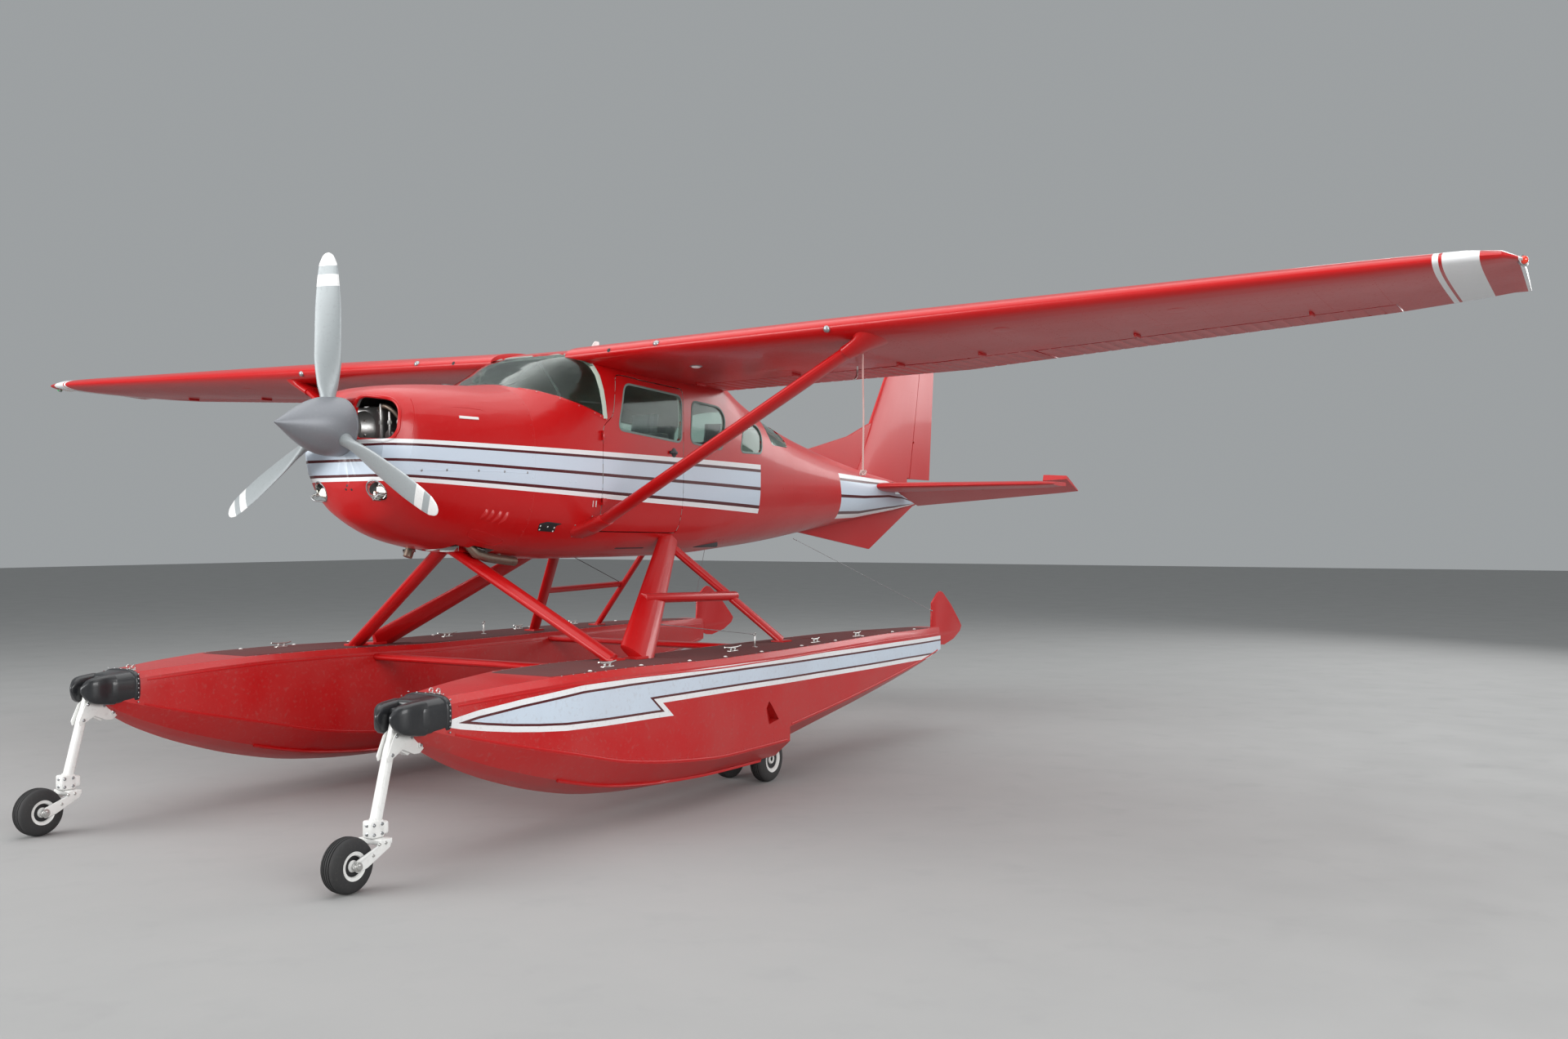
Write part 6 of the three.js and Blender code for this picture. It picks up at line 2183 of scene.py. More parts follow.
@dataclass
class Cockpit:
    """Dials, radios, glare shield and control wheels."""

    face: float = 1620.0

    # across, height, radius
    DIALS = (
        (430, 2385, 39), (340, 2385, 39), (250, 2385, 39), (430, 2292, 39), (340, 2292, 39), (250, 2292, 39),
        (-250, 2390, 27), (-320, 2390, 27), (-390, 2390, 27), (-250, 2322, 27), (-320, 2322, 27), (-390, 2322, 27),
    )

    def _dial(self, x: float, height: float, radius: float) -> list[tuple[Piece, str]]:
        """A dial that faces aft: bezel, ticks and pointer."""
        centre, axis = at(x, self.face, height), BACK
        profile = [(0, -2), (radius, -2), (radius, 7), (radius - 4, 8), (radius - 6, 3), (0, 3)]
        bezel = soften(revolve("bezel", profile, centre, axis, 32), 30)
        marks = []
        for k in range(12):
            turn = Matrix.Rotation(math.radians(30 * k), 4, "Y")
            long = 7 if k % 3 == 0 else 4
            mark = block("tick", mm(-0.9, 3.0, radius - 8 - long), mm(0.9, 3.9, radius - 8), 0.3, 1)
            mark.data.transform(Matrix.Translation(centre) @ turn)
            marks.append(mark)
        hand = block("hand", mm(-1.4, 3.4, -8), mm(1.4, 4.4, radius - 13), 0.4, 1)
        hand.data.transform(Matrix.Translation(centre) @ Matrix.Rotation(math.radians(height * 7 + x), 4, "Y"))
        return [(bezel, "black"), (joined("marks", [*marks, hand]), "dial_white")]

    def _wheel(self, x: float) -> list[Piece]:
        """A control wheel on its shaft."""
        centre = at(x, 1760, 2215)
        rim = []
        for k in range(25):
            a = math.radians(-215 + 250 * k / 24)
            rim.append(centre + Vector((math.cos(a) * 0.135, 0, math.sin(a) * 0.105)))
        hub = block("hub", centre - Vector((0.075, 0.012, 0.034)), centre + Vector((0.075, 0.014, 0.030)), 10, 3)
        shaft = rod("shaft", centre + Vector((0, -0.142, 0)), centre + Vector((0, 0.004, 0)), 12, 16, 2)
        spokes = [rod("spoke", centre + Vector((s * 0.06, 0, 0)), centre + Vector((s * 0.133, 0, -0.01)), 9, 10, 1)
                  for s in (1, -1)]
        return [soften(tube("rim", rim, 11, 12), 50), soften(hub, 30), soften(shaft), *[soften(s) for s in spokes]]

    def build(self) -> None:
        """Makes the whole cockpit front."""
        groups: dict[str, list[Piece]] = {"black": [], "dial_white": []}
        for dial in self.DIALS:
            for piece, paint in self._dial(*dial):
                groups[paint].append(piece)
        for x in (340, -340):
            groups["black"] += self._wheel(x)
        for k, (z0, z1) in enumerate(((2366, 2424), (2306, 2360), (2246, 2300), (2186, 2240))):
            radio = block("radio", at(-92, self.face - 2, z0), at(92, self.face + 9, z1), 3, 2)
            groups["black"].append(soften(radio, 30))
            for x in (-76, 76):
                knob = revolve("knob", [(0, 7), (10, 7), (9.4, 20), (8, 22), (0, 22)],
                               at(x, self.face, (z0 + z1) / 2), BACK, 16)
                groups["dial_white" if k % 2 else "black"].append(soften(knob, 35))
        install(joined("dials_and_wheels", groups["black"]), "airframe", "panel_plastic", "black")
        install(joined("dial_marks", groups["dial_white"]), "airframe", "panel_plastic", "dial_white")
        rows = []
        for x in range(-500, 501, 50):
            share = abs(x) / 500
            top = 2492 + 62 * (1 - share ** 2.4)
            profile = [(1225, top - 6 + 22), (1330, top + 8), (1480, top), (1600, top - 8), (1656, top - 16),
                       (1662, top - 26), (1600, top - 24), (1330, top - 10), (1225, top + 6)]
            rows.append([at(x, s, min(z, 2620 - 40 * share)) for s, z in profile])
        install(soften(lattice("glare_shield", rows), 40), "airframe", "panel_plastic", "panel_plastic")


@dataclass
class Boots:
    """The rubber bow bumpers: two rounded lobes with a slot between them, on a collar round the bow."""

    slot: float = 33.0
    squareness: float = 0.56
    # station, half width, lowest, highest
    SHAPE = Table([(-742, 62, 762, 822), (-700, 101, 716, 855), (-640, 118, 703, 866), (-560, 134, 695, 874),
                   (-446, 160, 688, 886)])

    def _section(self, station: float, inner: float, outer: float, low: float, high: float,
                 share: float) -> list[Vector]:
        """A rounded box section, shrunk towards its middle by a share."""
        points = []
        cx, cz = (inner + outer) / 2, (low + high) / 2
        for c, s in circle(40):
            u = bulged(c, self.squareness) * (outer - inner) / 2 * share
            v = bulged(s, self.squareness) * (high - low) / 2 * share
            points.append(at(HULL.FLOAT_X + cx + u, station, cz + v))
        return points

    def build(self) -> None:
        """Makes both bumpers with their screws."""
        parts = []
        for sign in BOTH:
            rows = []
            for station, share in ((-744, 0.30), (-741, 0.52), (-735, 0.70), (-725, 0.85), (-710, 0.94),
                                   (-690, 0.985), (-660, 1.0), (-630, 1.0), (-600, 1.0), (-570, 0.99)):
                half, low, high = self.SHAPE.curved(max(station, -742))
                waist = 1 - 0.05 * math.exp(-((station + 610) / 26) ** 2)
                inner, outer = sorted((sign * self.slot, sign * (half * waist + (4 if station < -640 else 0))))
                rows.append(self._section(station, inner, outer, low, high, share))
            parts.append(soften(lattice("lobe", rows), 60))
        rows = []
        for station, grow in ((-604, -14), (-598, -5), (-588, 0), (-560, 1), (-520, 2), (-474, 2), (-470, 7),
                              (-466, 8), (-450, 8), (-446, 6), (-446, -4)):
            half, low, high = self.SHAPE.curved(min(station, -446))
            rows.append(self._section(station, -half - grow, half + grow, low - grow, high + grow, 1.0))
        parts.append(soften(lattice("collar", rows), 40))
        rows = [self._section(station, -60 * share, 60 * share, 728, 838, share) for station, share in
                ((-672, 0.4), (-669, 0.8), (-662, 0.96), (-640, 1.0), (-596, 1.0))]
        parts.append(soften(lattice("slot_back", rows), 50))
        left = joined("bow_bumper_left_skin", parts)
        heads = []
        for k in range(7):
            for side in BOTH:
                heads.append(Hit(at(HULL.FLOAT_X + side * 168, -458, 706 + k * 27), Vector((side, 0, 0))))
        for x in (-120, -60, 0, 60, 120):
            heads.append(Hit(at(HULL.FLOAT_X + x, -458, 893), UP))
        screws = scattered("bumper_screws_left", screw("screw", 5.0, 2.2), heads)
        pads, heads_both = both_sides(left, "bow_bumper_skin"), both_sides(screws, "bumper_screws")
        for side in Side:
            install(pads[side], "airframe", "bumper_rubber", "bumper_rubber", replaces=[f"bow_bumper_{side.tag}"])
            install(heads_both[side], "airframe", "grey_metal", "bare_steel")


@dataclass
class NoseGear:
    """The sprung nose legs: flattened tube, cap, hinge bracket and cast knuckle, all bolted."""

    foot: tuple[float, float] = (-792.0, 290.0)
    head: tuple[float, float] = (-660.0, 806.0)
    half_width: float = 30.0
    half_depth: float = 24.0
    squareness: float = 0.7

    def _tube(self) -> Piece:
        """The flattened leg, drawn in under its cap."""
        rows = []
        for share, wide, deep in ((0.0, 1.0, 1.0), (0.1, 1.0, 1.0), (0.4, 0.98, 0.98), (0.66, 0.95, 0.95),
                                  (0.72, 0.86, 0.9), (0.76, 0.72, 0.8), (0.98, 0.66, 0.74), (1.0, 0.58, 0.64)):
            s = self.foot[0] + (self.head[0] - self.foot[0]) * share
            z = self.foot[1] + (self.head[1] - self.foot[1]) * share
            rows.append([at(HULL.FLOAT_X + bulged(c, self.squareness) * self.half_width * wide,
                            s + bulged(n, self.squareness) * self.half_depth * deep, z) for c, n in circle(32)])
        return soften(lattice("leg", rows), 40)

    def build(self) -> None:
        """Makes both legs."""
        x = HULL.FLOAT_X
        parts = [self._tube()]
        parts.append(soften(block("knuckle", at(x - 34, -842, 232), at(x + 34, -758, 318), 11, 4), 40))
        parts.append(soften(block("housing", at(x - 27, -772, 240), at(x + 27, -722, 306), 14, 4), 40))
        parts.append(soften(rod("king_pin", at(x, -800, 233), at(x, -800, 326), 21, 32, 3), 40))
        for offset in (-40, 33):
            outline = [at(x + offset, s, z) for s, z in ((-706, 706), (-676, 730), (-560, 724), (-520, 706),
                                                         (-500, 668), (-506, 628),
                                                       (-536, 604), (-572, 604), (-650, 636), (-712, 600),
                                                       (-740, 586), (-748, 612))]
            parts.append(soften(plate("cheek", outline, mm(7, 0, 0), 2.5), 40))
        parts.append(soften(rod("hinge", at(x - 48, -536, 646), at(x + 48, -536, 646), 15, 24, 2.5), 40))
        outline = [at(x - 24, s, z) for s, z in ((-660, 800), (-572, 716), (-545, 640), (-600, 600), (-700, 655))]
        parts.append(soften(plate("web", outline, mm(48, 0, 0), 3), 40))
        leg = joined("nose_leg_left_skin", parts)
        heads = []
        for side in BOTH:
            for s, z in ((-716, 618), (-690, 706), (-536, 646), (-590, 690)):
                reach = 48 if s == -536 else 40.5
                heads.append(Hit(at(x + side * reach, s, z), Vector((side, 0, 0))))
            for s, z in ((-826, 252), (-826, 298), (-776, 252), (-776, 298)):
                heads.append(Hit(at(x + side * 34, s, z), Vector((side, 0, 0))))
        heads += [Hit(at(x, -842, z), AHEAD) for z in (254, 296)]
        bolts = scattered("nose_leg_bolts_left", bolt("bolt", 6.5, 6.5), heads)
        legs, fixings = both_sides(leg, "nose_leg_skin"), both_sides(bolts, "nose_leg_bolts")
        for side in Side:
            install(legs[side], "airframe", "white_paint", "white_paint", replaces=[f"nose_leg_{side.tag}"])
            install(fixings[side], "airframe", "white_paint", "bare_steel")


@dataclass
class ForkTrim:
    """Axle nuts and arm bolts on the nose forks, and bolts on the main legs."""

    half: float = 74.0

    def build(self) -> None:
        """Makes them on both sides."""
        x = HULL.FLOAT_X
        station, height = Wheels.nose_axle, Wheels.nose[0]
        parts = []
        for side in BOTH:
            cap = revolve("cap", [(0, 20), (12, 19), (15, 15), (15, 8), (22, 7), (24, 2), (24, -3), (0, -3)],
                          at(x + side * self.half, station, height), Vector((side, 0, 0)), 28)
            parts.append(soften(cap, 35))
        heads = []
        for side in BOTH:
            for s, z in ((-830, 214), (-790, 214), (-868, 168)):
                heads.append(Hit(at(x + side * self.half, s, z), Vector((side, 0, 0))))
        parts.append(scattered("arm_bolts", bolt("bolt", 6, 6), heads))
        legs = []
        for side in BOTH:
            for s, z in ((2620, 178), (2700, 236), (2800, 320), (2920, 400), (3040, 440)):
                legs.append(Hit(at(x + side * 34, s, z), Vector((side, 0, 0))))
        leg_bolts = scattered("main_leg_bolts", bolt("bolt", 8, 7), legs)
        for side, piece in both_sides(joined("fork_trim", parts), "fork_trim").items():
            install(piece, f"nose_fork_{side.tag}", "white_paint", "bright_metal")
        for piece in both_sides(leg_bolts, "main_leg_bolts").values():
            install(piece, "airframe", "white_paint", "bare_steel")


@dataclass
class FloatTrim:
    """Deck covering, edge strips, rivets, strakes, plugs, cleats, posts, bow eyes and lids of the floats."""

    grip_from: float = 250.0
    grip_to: float = 5380.0
    beside: float = 600.0

    def _grip(self) -> Piece:
        """The rough deck covering, thicker than paint, drawn in at both ends."""
        rows = []
        stations = [self.grip_from + (self.grip_to - self.grip_from) * k / 60 for k in range(61)]
        for k, station in enumerate(stations):
            half, _, deck = self._rows(station)[:3]
            wide = (half - 20) * (0.93 if k in (0, 60) else 1.0)
            lift = 0.4 if k in (0, 60) else 2.6
            row = [(-wide, -3.0), (-wide, lift * 0.6), (-wide + 6, lift)]
            row += [(wide * u, lift) for u in (-0.6, -0.2, 0.2, 0.6)]
            row += [(wide - 6, lift), (wide, lift * 0.6), (wide, -3.0)]
            rows.append([at(HULL.FLOAT_X + x, station, deck + rise) for x, rise in row])
        return soften(lattice("deck_grip", rows), 30)

    def _line(self, skin: Skin, level: Callable[[float], tuple[float, float]], first: float, last: float, step: float,
              inner: bool) -> list[Hit]:
        """Places along a hull's side, at a height that depends on the station."""
        found = []
        count = int((last - first) / step)
        for k in range(count + 1):
            station = first + (last - first) * k / count
            height = level(station)
            side = -1 if inner else 1
            hit = skin.hit(at(HULL.FLOAT_X + side * self.beside, station, height), Vector((-side, 0, 0)))
            if hit:
                found.append(hit)
        return found

    @staticmethod
    def _rows(station: float) -> list[float]:
        """The hull's half deck, half beam, deck, chine and keel at a station."""
        return (HULL.FORE if station < HULL.STEP - 1 else HULL.AFT).curved(station)

    def _strips(self, skin: Skin) -> tuple[list[Piece], list[Hit]]:
        """Edge strips along deck and chine, the strakes under the hull, and the rivets."""
        strips, rivets = [], []
        for inner in (False, True):
            edge = self._line(skin, lambda s: self._rows(s)[2] - 52, -400, 5480, 60, inner)
            strips.append(ribbon("deck_strip", edge, 9, 2.2))
            rivets += self._line(skin, lambda s: self._rows(s)[2] - 66, -380, 5460, 34, inner)
            for first, last in ((-420, 2540), (2600, 5440)):
                strips.append(ribbon("chine_strip", self._line(skin, lambda s: self._rows(s)[3] + 11, first, last, 60,
                                                               inner), 12, 2.6))
                rivets += self._line(skin, lambda s: self._rows(s)[3] + 26, first, last, 34, inner)
            for station in (-140, 360, 860, 1360, 1860, 2360, 2860, 3360, 3860, 4360, 4860):
                deck, chine = self._rows(station)[2:4]
                for k in range(int((deck - chine - 120) / 36)):
                    hit = skin.hit(at(HULL.FLOAT_X + (-self.beside if inner else self.beside), station,
                                      chine + 45 + 36 * k),
                                   Vector((1 if inner else -1, 0, 0)))
                    rivets += [hit] if hit else []
        for side in BOTH:
            rows = []
            for k in range(46):
                station = 330 + k * 49
                beam = self._rows(station)[1]
                hit = skin.hit(at(HULL.FLOAT_X + side * beam * 0.62, station, -50), UP)
                if hit:
                    rows.append(hit)
            strips.append(ribbon("strake", rows, 16, 13.0))
        return strips, rivets

    def _cleat(self, station: float, offset: float, long: float) -> Piece:
        """A horn cleat on the deck."""
        foot = at(HULL.FLOAT_X + offset, station, self._rows(station)[2] + 3)
        horns = tube("horns",
                     curve_points([foot + Vector((0, -long / 2, 0.030)), foot + Vector((0, -long / 4, 0.024)),
                                            foot + Vector((0, 0, 0.022)), foot + Vector((0, long / 4, 0.024)),
                                            foot + Vector((0, long / 2, 0.030))], 5),
                                            lambda s: 7.5 - 3.5 * abs(2 * s - 1), 12)
        feet = [rod("foot", foot + Vector((0, y, -0.006)), foot + Vector((0, y, 0.026)), 7, 14, 1.5)
                for y in (-0.024, 0.024)]
        base = block("base", foot + Vector((-0.014, -0.048, -0.006)), foot + Vector((0.014, 0.048, 0.004)), 3, 2)
        return soften(joined("cleat", [horns, *feet, base]), 40)

    def _post(self, station: float, offset: float) -> Piece:
        """A short upright post with an eye on top."""
        foot = at(HULL.FLOAT_X + offset, station, self._rows(station)[2] + 2)
        stem = rod("stem", foot - Vector((0, 0, 0.006)), foot + Vector((0, 0, 0.078)), 5.5, 14, 1)
        pad = button("pad", 22, 5, 20)
        pad.data.transform(Matrix.Translation(foot))
        eye = [foot + Vector((0, c * 0.011, 0.086 + s * 0.011)) for c, s in circle(20)]
        return soften(joined("post", [stem, pad, ring("eye", eye, 3.2)]), 40)

    def _shackle(self, offset: float) -> Piece:
        """A bow eye just behind the bumper."""
        foot = at(HULL.FLOAT_X + offset, -395, self._rows(-395)[2] + 1)
        loop = [foot + Vector((0, c * 0.012, 0.013 + s * 0.012)) for c, s in circle(24)]
        pad = button("pad", 16, 4, 20)
        pad.data.transform(Matrix.Translation(foot))
        return joined("bow_eye", [ring("loop", loop, 3.6), pad])

    def build(self) -> None:
        """Makes the trim on the left float and its mirror image on the right one."""
        skin = Skin("float_left_skin")
        strips, rivets = self._strips(skin)
        plugs = []
        for station in (560, 1010, 1500, 1900, 2340, 2890, 3420, 3900, 4500, 5000):
            half, _, deck = self._rows(station)[:3]
            plugs.append(Hit(at(HULL.FLOAT_X + half - 46, station, deck + 2), UP))
        edge_screws = []
        for k in range(58):
            station = 300 + k * 87
            half, _, deck = self._rows(station)[:3]
            for side in BOTH:
                edge_screws.append(Hit(at(HULL.FLOAT_X + side * (half - 9), station, deck), UP))
        silver = [self._cleat(2290, 60, 0.20), self._cleat(3218, 170, 0.11), self._cleat(3900, 150, 0.11),
                  self._cleat(820, 150, 0.16), self._post(2642, 14), self._shackle(24), self._shackle(-26)]
        lids = []
        for station, radius in ((1680, 92), (3560, 88), (4500, 70)):
            deck = self._rows(station)[2]
            lid = revolve("lid", [(0, 5), (radius - 24, 5.5), (radius - 20, 3.6), (radius - 14, 5.4),
                                  (radius - 4, 5.0), (radius, 1), (radius, -4), (0, -4)],
                                  at(HULL.FLOAT_X - 60, station, deck), UP, 48)
            lids.append(soften(lid, 30))
        rows = [
            ("deck_grip", self._grip(), "red_paint", "deck_grip"),
            ("hull_strips", joined("hull_strips", strips), "red_paint", "red_paint"),
            ("hull_rivets", scattered("hull_rivets", button("rivet", 3.6, 1.3, 8), rivets), "red_paint",
             "float_paint"),
            ("pump_plugs", scattered("pump_plugs", button("plug", 13, 7, 20), plugs), "white_paint", "white_paint"),
            ("deck_screws", scattered("deck_screws", screw("screw", 5, 1.8), edge_screws), "grey_metal",
             "bare_steel"),
            ("deck_fittings", joined("deck_fittings", silver), "grey_metal", "bright_metal"),
            ("deck_lids", joined("deck_lids", lids), "red_paint", "deck_grip"),
        ]
        for name, piece, slot, paint in rows:
            for half in both_sides(piece, name).values():
                install(half, "airframe", slot, paint)


@dataclass
class WingTrim:
    """Tip lights, strut cuffs, covers, caps, vents, hinge arms and rivets of the wings, and rivets of the tail."""

    strut_foot: tuple[float, float, float] = (600.0, 1680.0, 1720.0)
    strut_head: tuple[float, float, float] = (2510.0, 1954.0, 2882.0)
    kink: float = 2540.0
    below: float = 2500.0

    def _lights(self, skin: Skin) -> list[tuple[str, Piece, str, str]]:
        """The tip's navigation lamp and strobe, on its forward corner."""
        edge = skin.hit(at(6400, 2120, 3020), Vector((-1, 0, 0))) or Hit(at(5980, 2120, 3020), ACROSS)
        foot = edge.point
        lens = revolve("lens", [(0, 26), (9, 24), (17, 18), (21, 8), (22, -6), (0, -6)], foot, Vector((0.8, -0.6, 0)),
                       28)
        base = revolve("base", [(25, -10), (27, -6), (26, 3), (22, 5), (21, -10), (25, -10)], foot,
                       Vector((0.8, -0.6, 0)), 28)
        back = skin.hit(at(6400, 2210, 3020), Vector((-1, 0, 0))) or Hit(foot + Vector((0, 0.09, 0)), ACROSS)
        strobe = block("strobe", back.point + Vector((-0.012, -0.045, -0.013)),
                       back.point + Vector((0.018, 0.045, 0.013)), 11, 4)
        return [("tip_lens", soften(lens, 50), "red_paint", "beacon_red"),
                ("tip_base", soften(base, 40), "grey_metal", "bare_steel"),
                ("tip_strobe", soften(strobe, 50), "white_paint", "white_paint")]

    def _along(self) -> tuple[Vector, Vector, Vector]:
        """The strut's foot, its direction and its chord direction."""
        foot, head = at(*self.strut_foot), at(*self.strut_head)
        along = (head - foot).normalized()
        aft = (BACK - along * BACK.dot(along)).normalized()
        return foot, along, aft

    def _foot_cuff(self) -> Piece:
        """The fairing round the strut's foot, flaring onto the fuselage."""
        foot, along, aft = self._along()
        out = along.cross(aft)
        rows = []
        for share, wide, deep in ((0.0, 152, 66), (0.12, 146, 61), (0.35, 126, 52), (0.62, 106, 46), (0.85, 94, 42),
                                  (1.0, 87, 38), (1.0, 82, 33)):
            row = []
            for c, s in circle(36):
                ground = FUSELAGE.hit(1668 + 22 + c * wide + s * 14, 1722 + s * deep + c * 16)
                low = ground.point + ground.normal * (-0.003 if share == 0 else 0.004)
                centre = foot + along * 0.118
                high = centre + aft * (c * wide * MM) + out * (s * deep * MM * (1 - 0.28 * max(c, 0)))
                ease = share * share * (3 - 2 * share)
                row.append(low.lerp(high, ease))
            rows.append(row)
        return soften(lattice("cuff", rows), 50)

    def _head_cuff(self, skin: Skin) -> Piece:
        """The fairing round the strut's head, flaring onto the wing's underside."""
        _, along, aft = self._along()
        out = along.cross(aft)
        head = at(*self.strut_head)
        rows = []
        for share, wide, deep in ((0.0, 86, 37), (0.0, 90, 41), (0.3, 98, 46), (0.6, 116, 58), (0.85, 136, 76),
                                  (1.0, 146, 88)):
            row = []
            for c, s in circle(36):
                low = head - along * 0.19 + aft * (c * wide * MM) + out * (s * deep * MM * (1 - 0.28 * max(c, 0)))
                x, station = self.strut_head[0] - 6 - s * deep * 1.1, self.strut_head[1] + c * wide
                roof = skin.hit(at(x, station, self.below), UP)
                high = roof.point + Vector((0, 0, 0.002 if share == 1.0 else -0.003)) if roof else at(x, station,
                                                                                                      2878)
                row.append(low.lerp(high, share * share * (3 - 2 * share)))
            rows.append(row)
        return soften(lattice("head_cuff", rows), 50)

    def _underside(self, skin: Skin) -> list[tuple[str, Piece, str, str]]:
        """Inspection covers, rivet rows, bumps on the leading edge, lamp, tank vent and cap, and hinge arms."""
        covers = skin.hits([at(x, station, self.below) for x, station in
                            ((1500, 2620), (2050, 2620), (2900, 2580), (3500, 2560), (4100, 2540), (4700, 2520),
                             (3300, 2080), (4300, 2140))], UP)
        rivets = []
        for x in range(820, 5600, 300):
            rivets += skin.hits([at(x, 1860 + 44 * k + max(x - self.kink, 0) * 0.05, self.below) for k in range(17)],
                                UP)
        for station in (2060, 2680):
            rivets += skin.hits([at(x, station + max(x - self.kink, 0) * 0.02, self.below)
                                 for x in range(780, 5600, 52)], UP)
        bumps = []
        for x in (1061, 2304):
            hit = skin.hit(at(x, 1500, 2913), BACK)
            bumps += [hit] if hit else []
        hole = skin.hit(at(690, 1500, 2891), BACK)
        lamp = skin.hit(at(1120, 2110, self.below), UP)
        vent = skin.hit(at(2012, 2715, self.below), UP)
        found = [
            ("wing_covers", scattered("covers", button("cover", 58, 1.6, 36), covers), "red_paint", "red_paint"),
            ("wing_rivets", scattered("rivets", button("rivet", 3.2, 0.9, 8), rivets), "red_paint", "wing_paint"),
            ("edge_bumps", scattered("bumps", button("bump", 22, 14, 24), bumps), "grey_metal", "bare_steel"),
            # a black disc stands for the hole in the leading edge: painted shade of its opening
            ("edge_hole", scattered("hole", button("hole", 14, 1.2, 20), [hole]), "panel_plastic", "black"),
            ("under_lamp_rim", scattered("rim", button("rim", 44, 5, 36), [lamp]), "grey_metal", "bare_steel"),
            ("under_lamp", scattered("lamp", button("lamp", 34, 12, 32), [lamp]), "white_paint", "dial_white"),
        ]
        down = vent.point
        pipe = tube("vent", curve_points([down + Vector((0, 0, 0.02)), down - Vector((0, 0, 0.03)),
                                          down - Vector((0, 0.018, 0.075)), down - Vector((0, 0.05, 0.092))], 6), 7,
                                          12)
        found.append(("tank_vent", soften(pipe, 60), "grey_metal", "bright_metal"))
        caps = skin.hits([at(1700, 2180, 3600)], DOWN)
        found.append(("tank_cap", scattered("cap", button("cap", 44, 10, 32), caps), "red_paint", "bare_steel"))
        arms = []
        for x in (700, 1500, 2300, 2900, 3900, 4900):
            station = 2810 if x < self.kink else 2760
            hit = skin.hit(at(x, station, self.below), UP)
            if hit:
                arms.append(soften(block("arm", hit.point + Vector((-0.008, -0.08, -0.018)),
                                         hit.point + Vector((0.008, 0.03, 0.01)), 5, 3), 40))
        found.append(("hinge_arms", joined("hinge_arms", arms), "red_paint", "red_paint"))
        return found

    def _tail(self) -> None:
        """The beacon's base on the fin, and the rivet rows of fin and tailplane."""
        top = at(0, 7760, 3797)
        base = revolve("base", [(24, -4), (26, 0), (24, 7), (0, 7), (0, -4)], top - Vector((0, 0, 0.012)), UP, 28)
        install(soften(base, 40), "airframe", "grey_metal", "bare_steel")
        skin = Skin("fin_skin", "tailplane_skin")
        rivets = []
        for sign in BOTH:
            for height in (2560, 2860, 3160, 3460):
                rivets += skin.hits([at(sign * 600, 6900 + (height - 2500) * 0.52 + 44 * k, height)
                                     for k in range(12)], Vector((-sign, 0, 0)))
            for x in (420, 900, 1380, 1780):
                rivets += skin.hits([at(sign * x, 6640 + 42 * k, 1800) for k in range(10)], UP)
                rivets += skin.hits([at(sign * x, 6640 + 42 * k, 2600) for k in range(10)], DOWN)
        install(scattered("tail_rivets", button("rivet", 3.2, 0.9, 8), rivets), "airframe", "red_paint", "red_paint")

    def build(self) -> None:
        """Makes the left wing's trim and its mirror image, and the tail's."""
        skin = Skin("wing_left_skin", "flap_left_skin", "aileron_left_skin")
        rows = self._lights(Skin("wing_left_skin")) + self._underside(Skin("wing_left_skin"))
        rows.append(("strut_foot_cuff", self._foot_cuff(), "red_paint", "red_paint"))
        rows.append(("strut_head_cuff", self._head_cuff(skin), "red_paint", "red_paint"))
        heads = []
        for station, height in ((1573, 1668), (1560, 1742), (1700, 1800), (1800, 1786), (1790, 1700), (1680, 1660)):
            heads.append(FUSELAGE.hit(station, height))
        rows.append(("cuff_screws", scattered("cuff_screws", screw("screw", 5, 3.0), heads), "grey_metal",
                     "bare_steel"))
        for name, piece, slot, paint in rows:
            for side, half in both_sides(piece, name).items():
                install(half, "airframe", slot, "beacon_green" if name == "tip_lens" and side is Side.RIGHT
                        else paint)
        self._tail()


@dataclass
class Rigging:
    """Thin taut wires with their end fittings."""

    # start and end (x, station, height), radius, finish
    WIRES = (
        ((1249, 2642, 990), (905, 1990, 1085), 2.4, "bare_steel"),
        ((-360, 2600, 1530), (-868, 3905, 1268), 2.6, "black"),
        ((1249, 5560, 1010), (440, 4560, 1640), 2.2, "bare_steel"),
        ((-1249, 5560, 1010), (-440, 4560, 1640), 2.2, "bare_steel"),
    )

    def build(self) -> None:
        """Makes the wires, each with an end fitting."""
        for k, (start, end, radius, paint) in enumerate(self.WIRES, start=1):
            a, b = at(*start), at(*end)
            along = (b - a).normalized()
            parts = [tube("wire", [a.lerp(b, t / 6) for t in range(7)], radius, 10)]
            for point, way in ((a, along), (b, -along)):
                parts.append(rod("end", point - way * 0.004, point + way * 0.034, radius + 2.4, 12, 1))
            install(soften(joined(f"wire_{k}", parts), 40), "airframe", "grey_metal", paint)


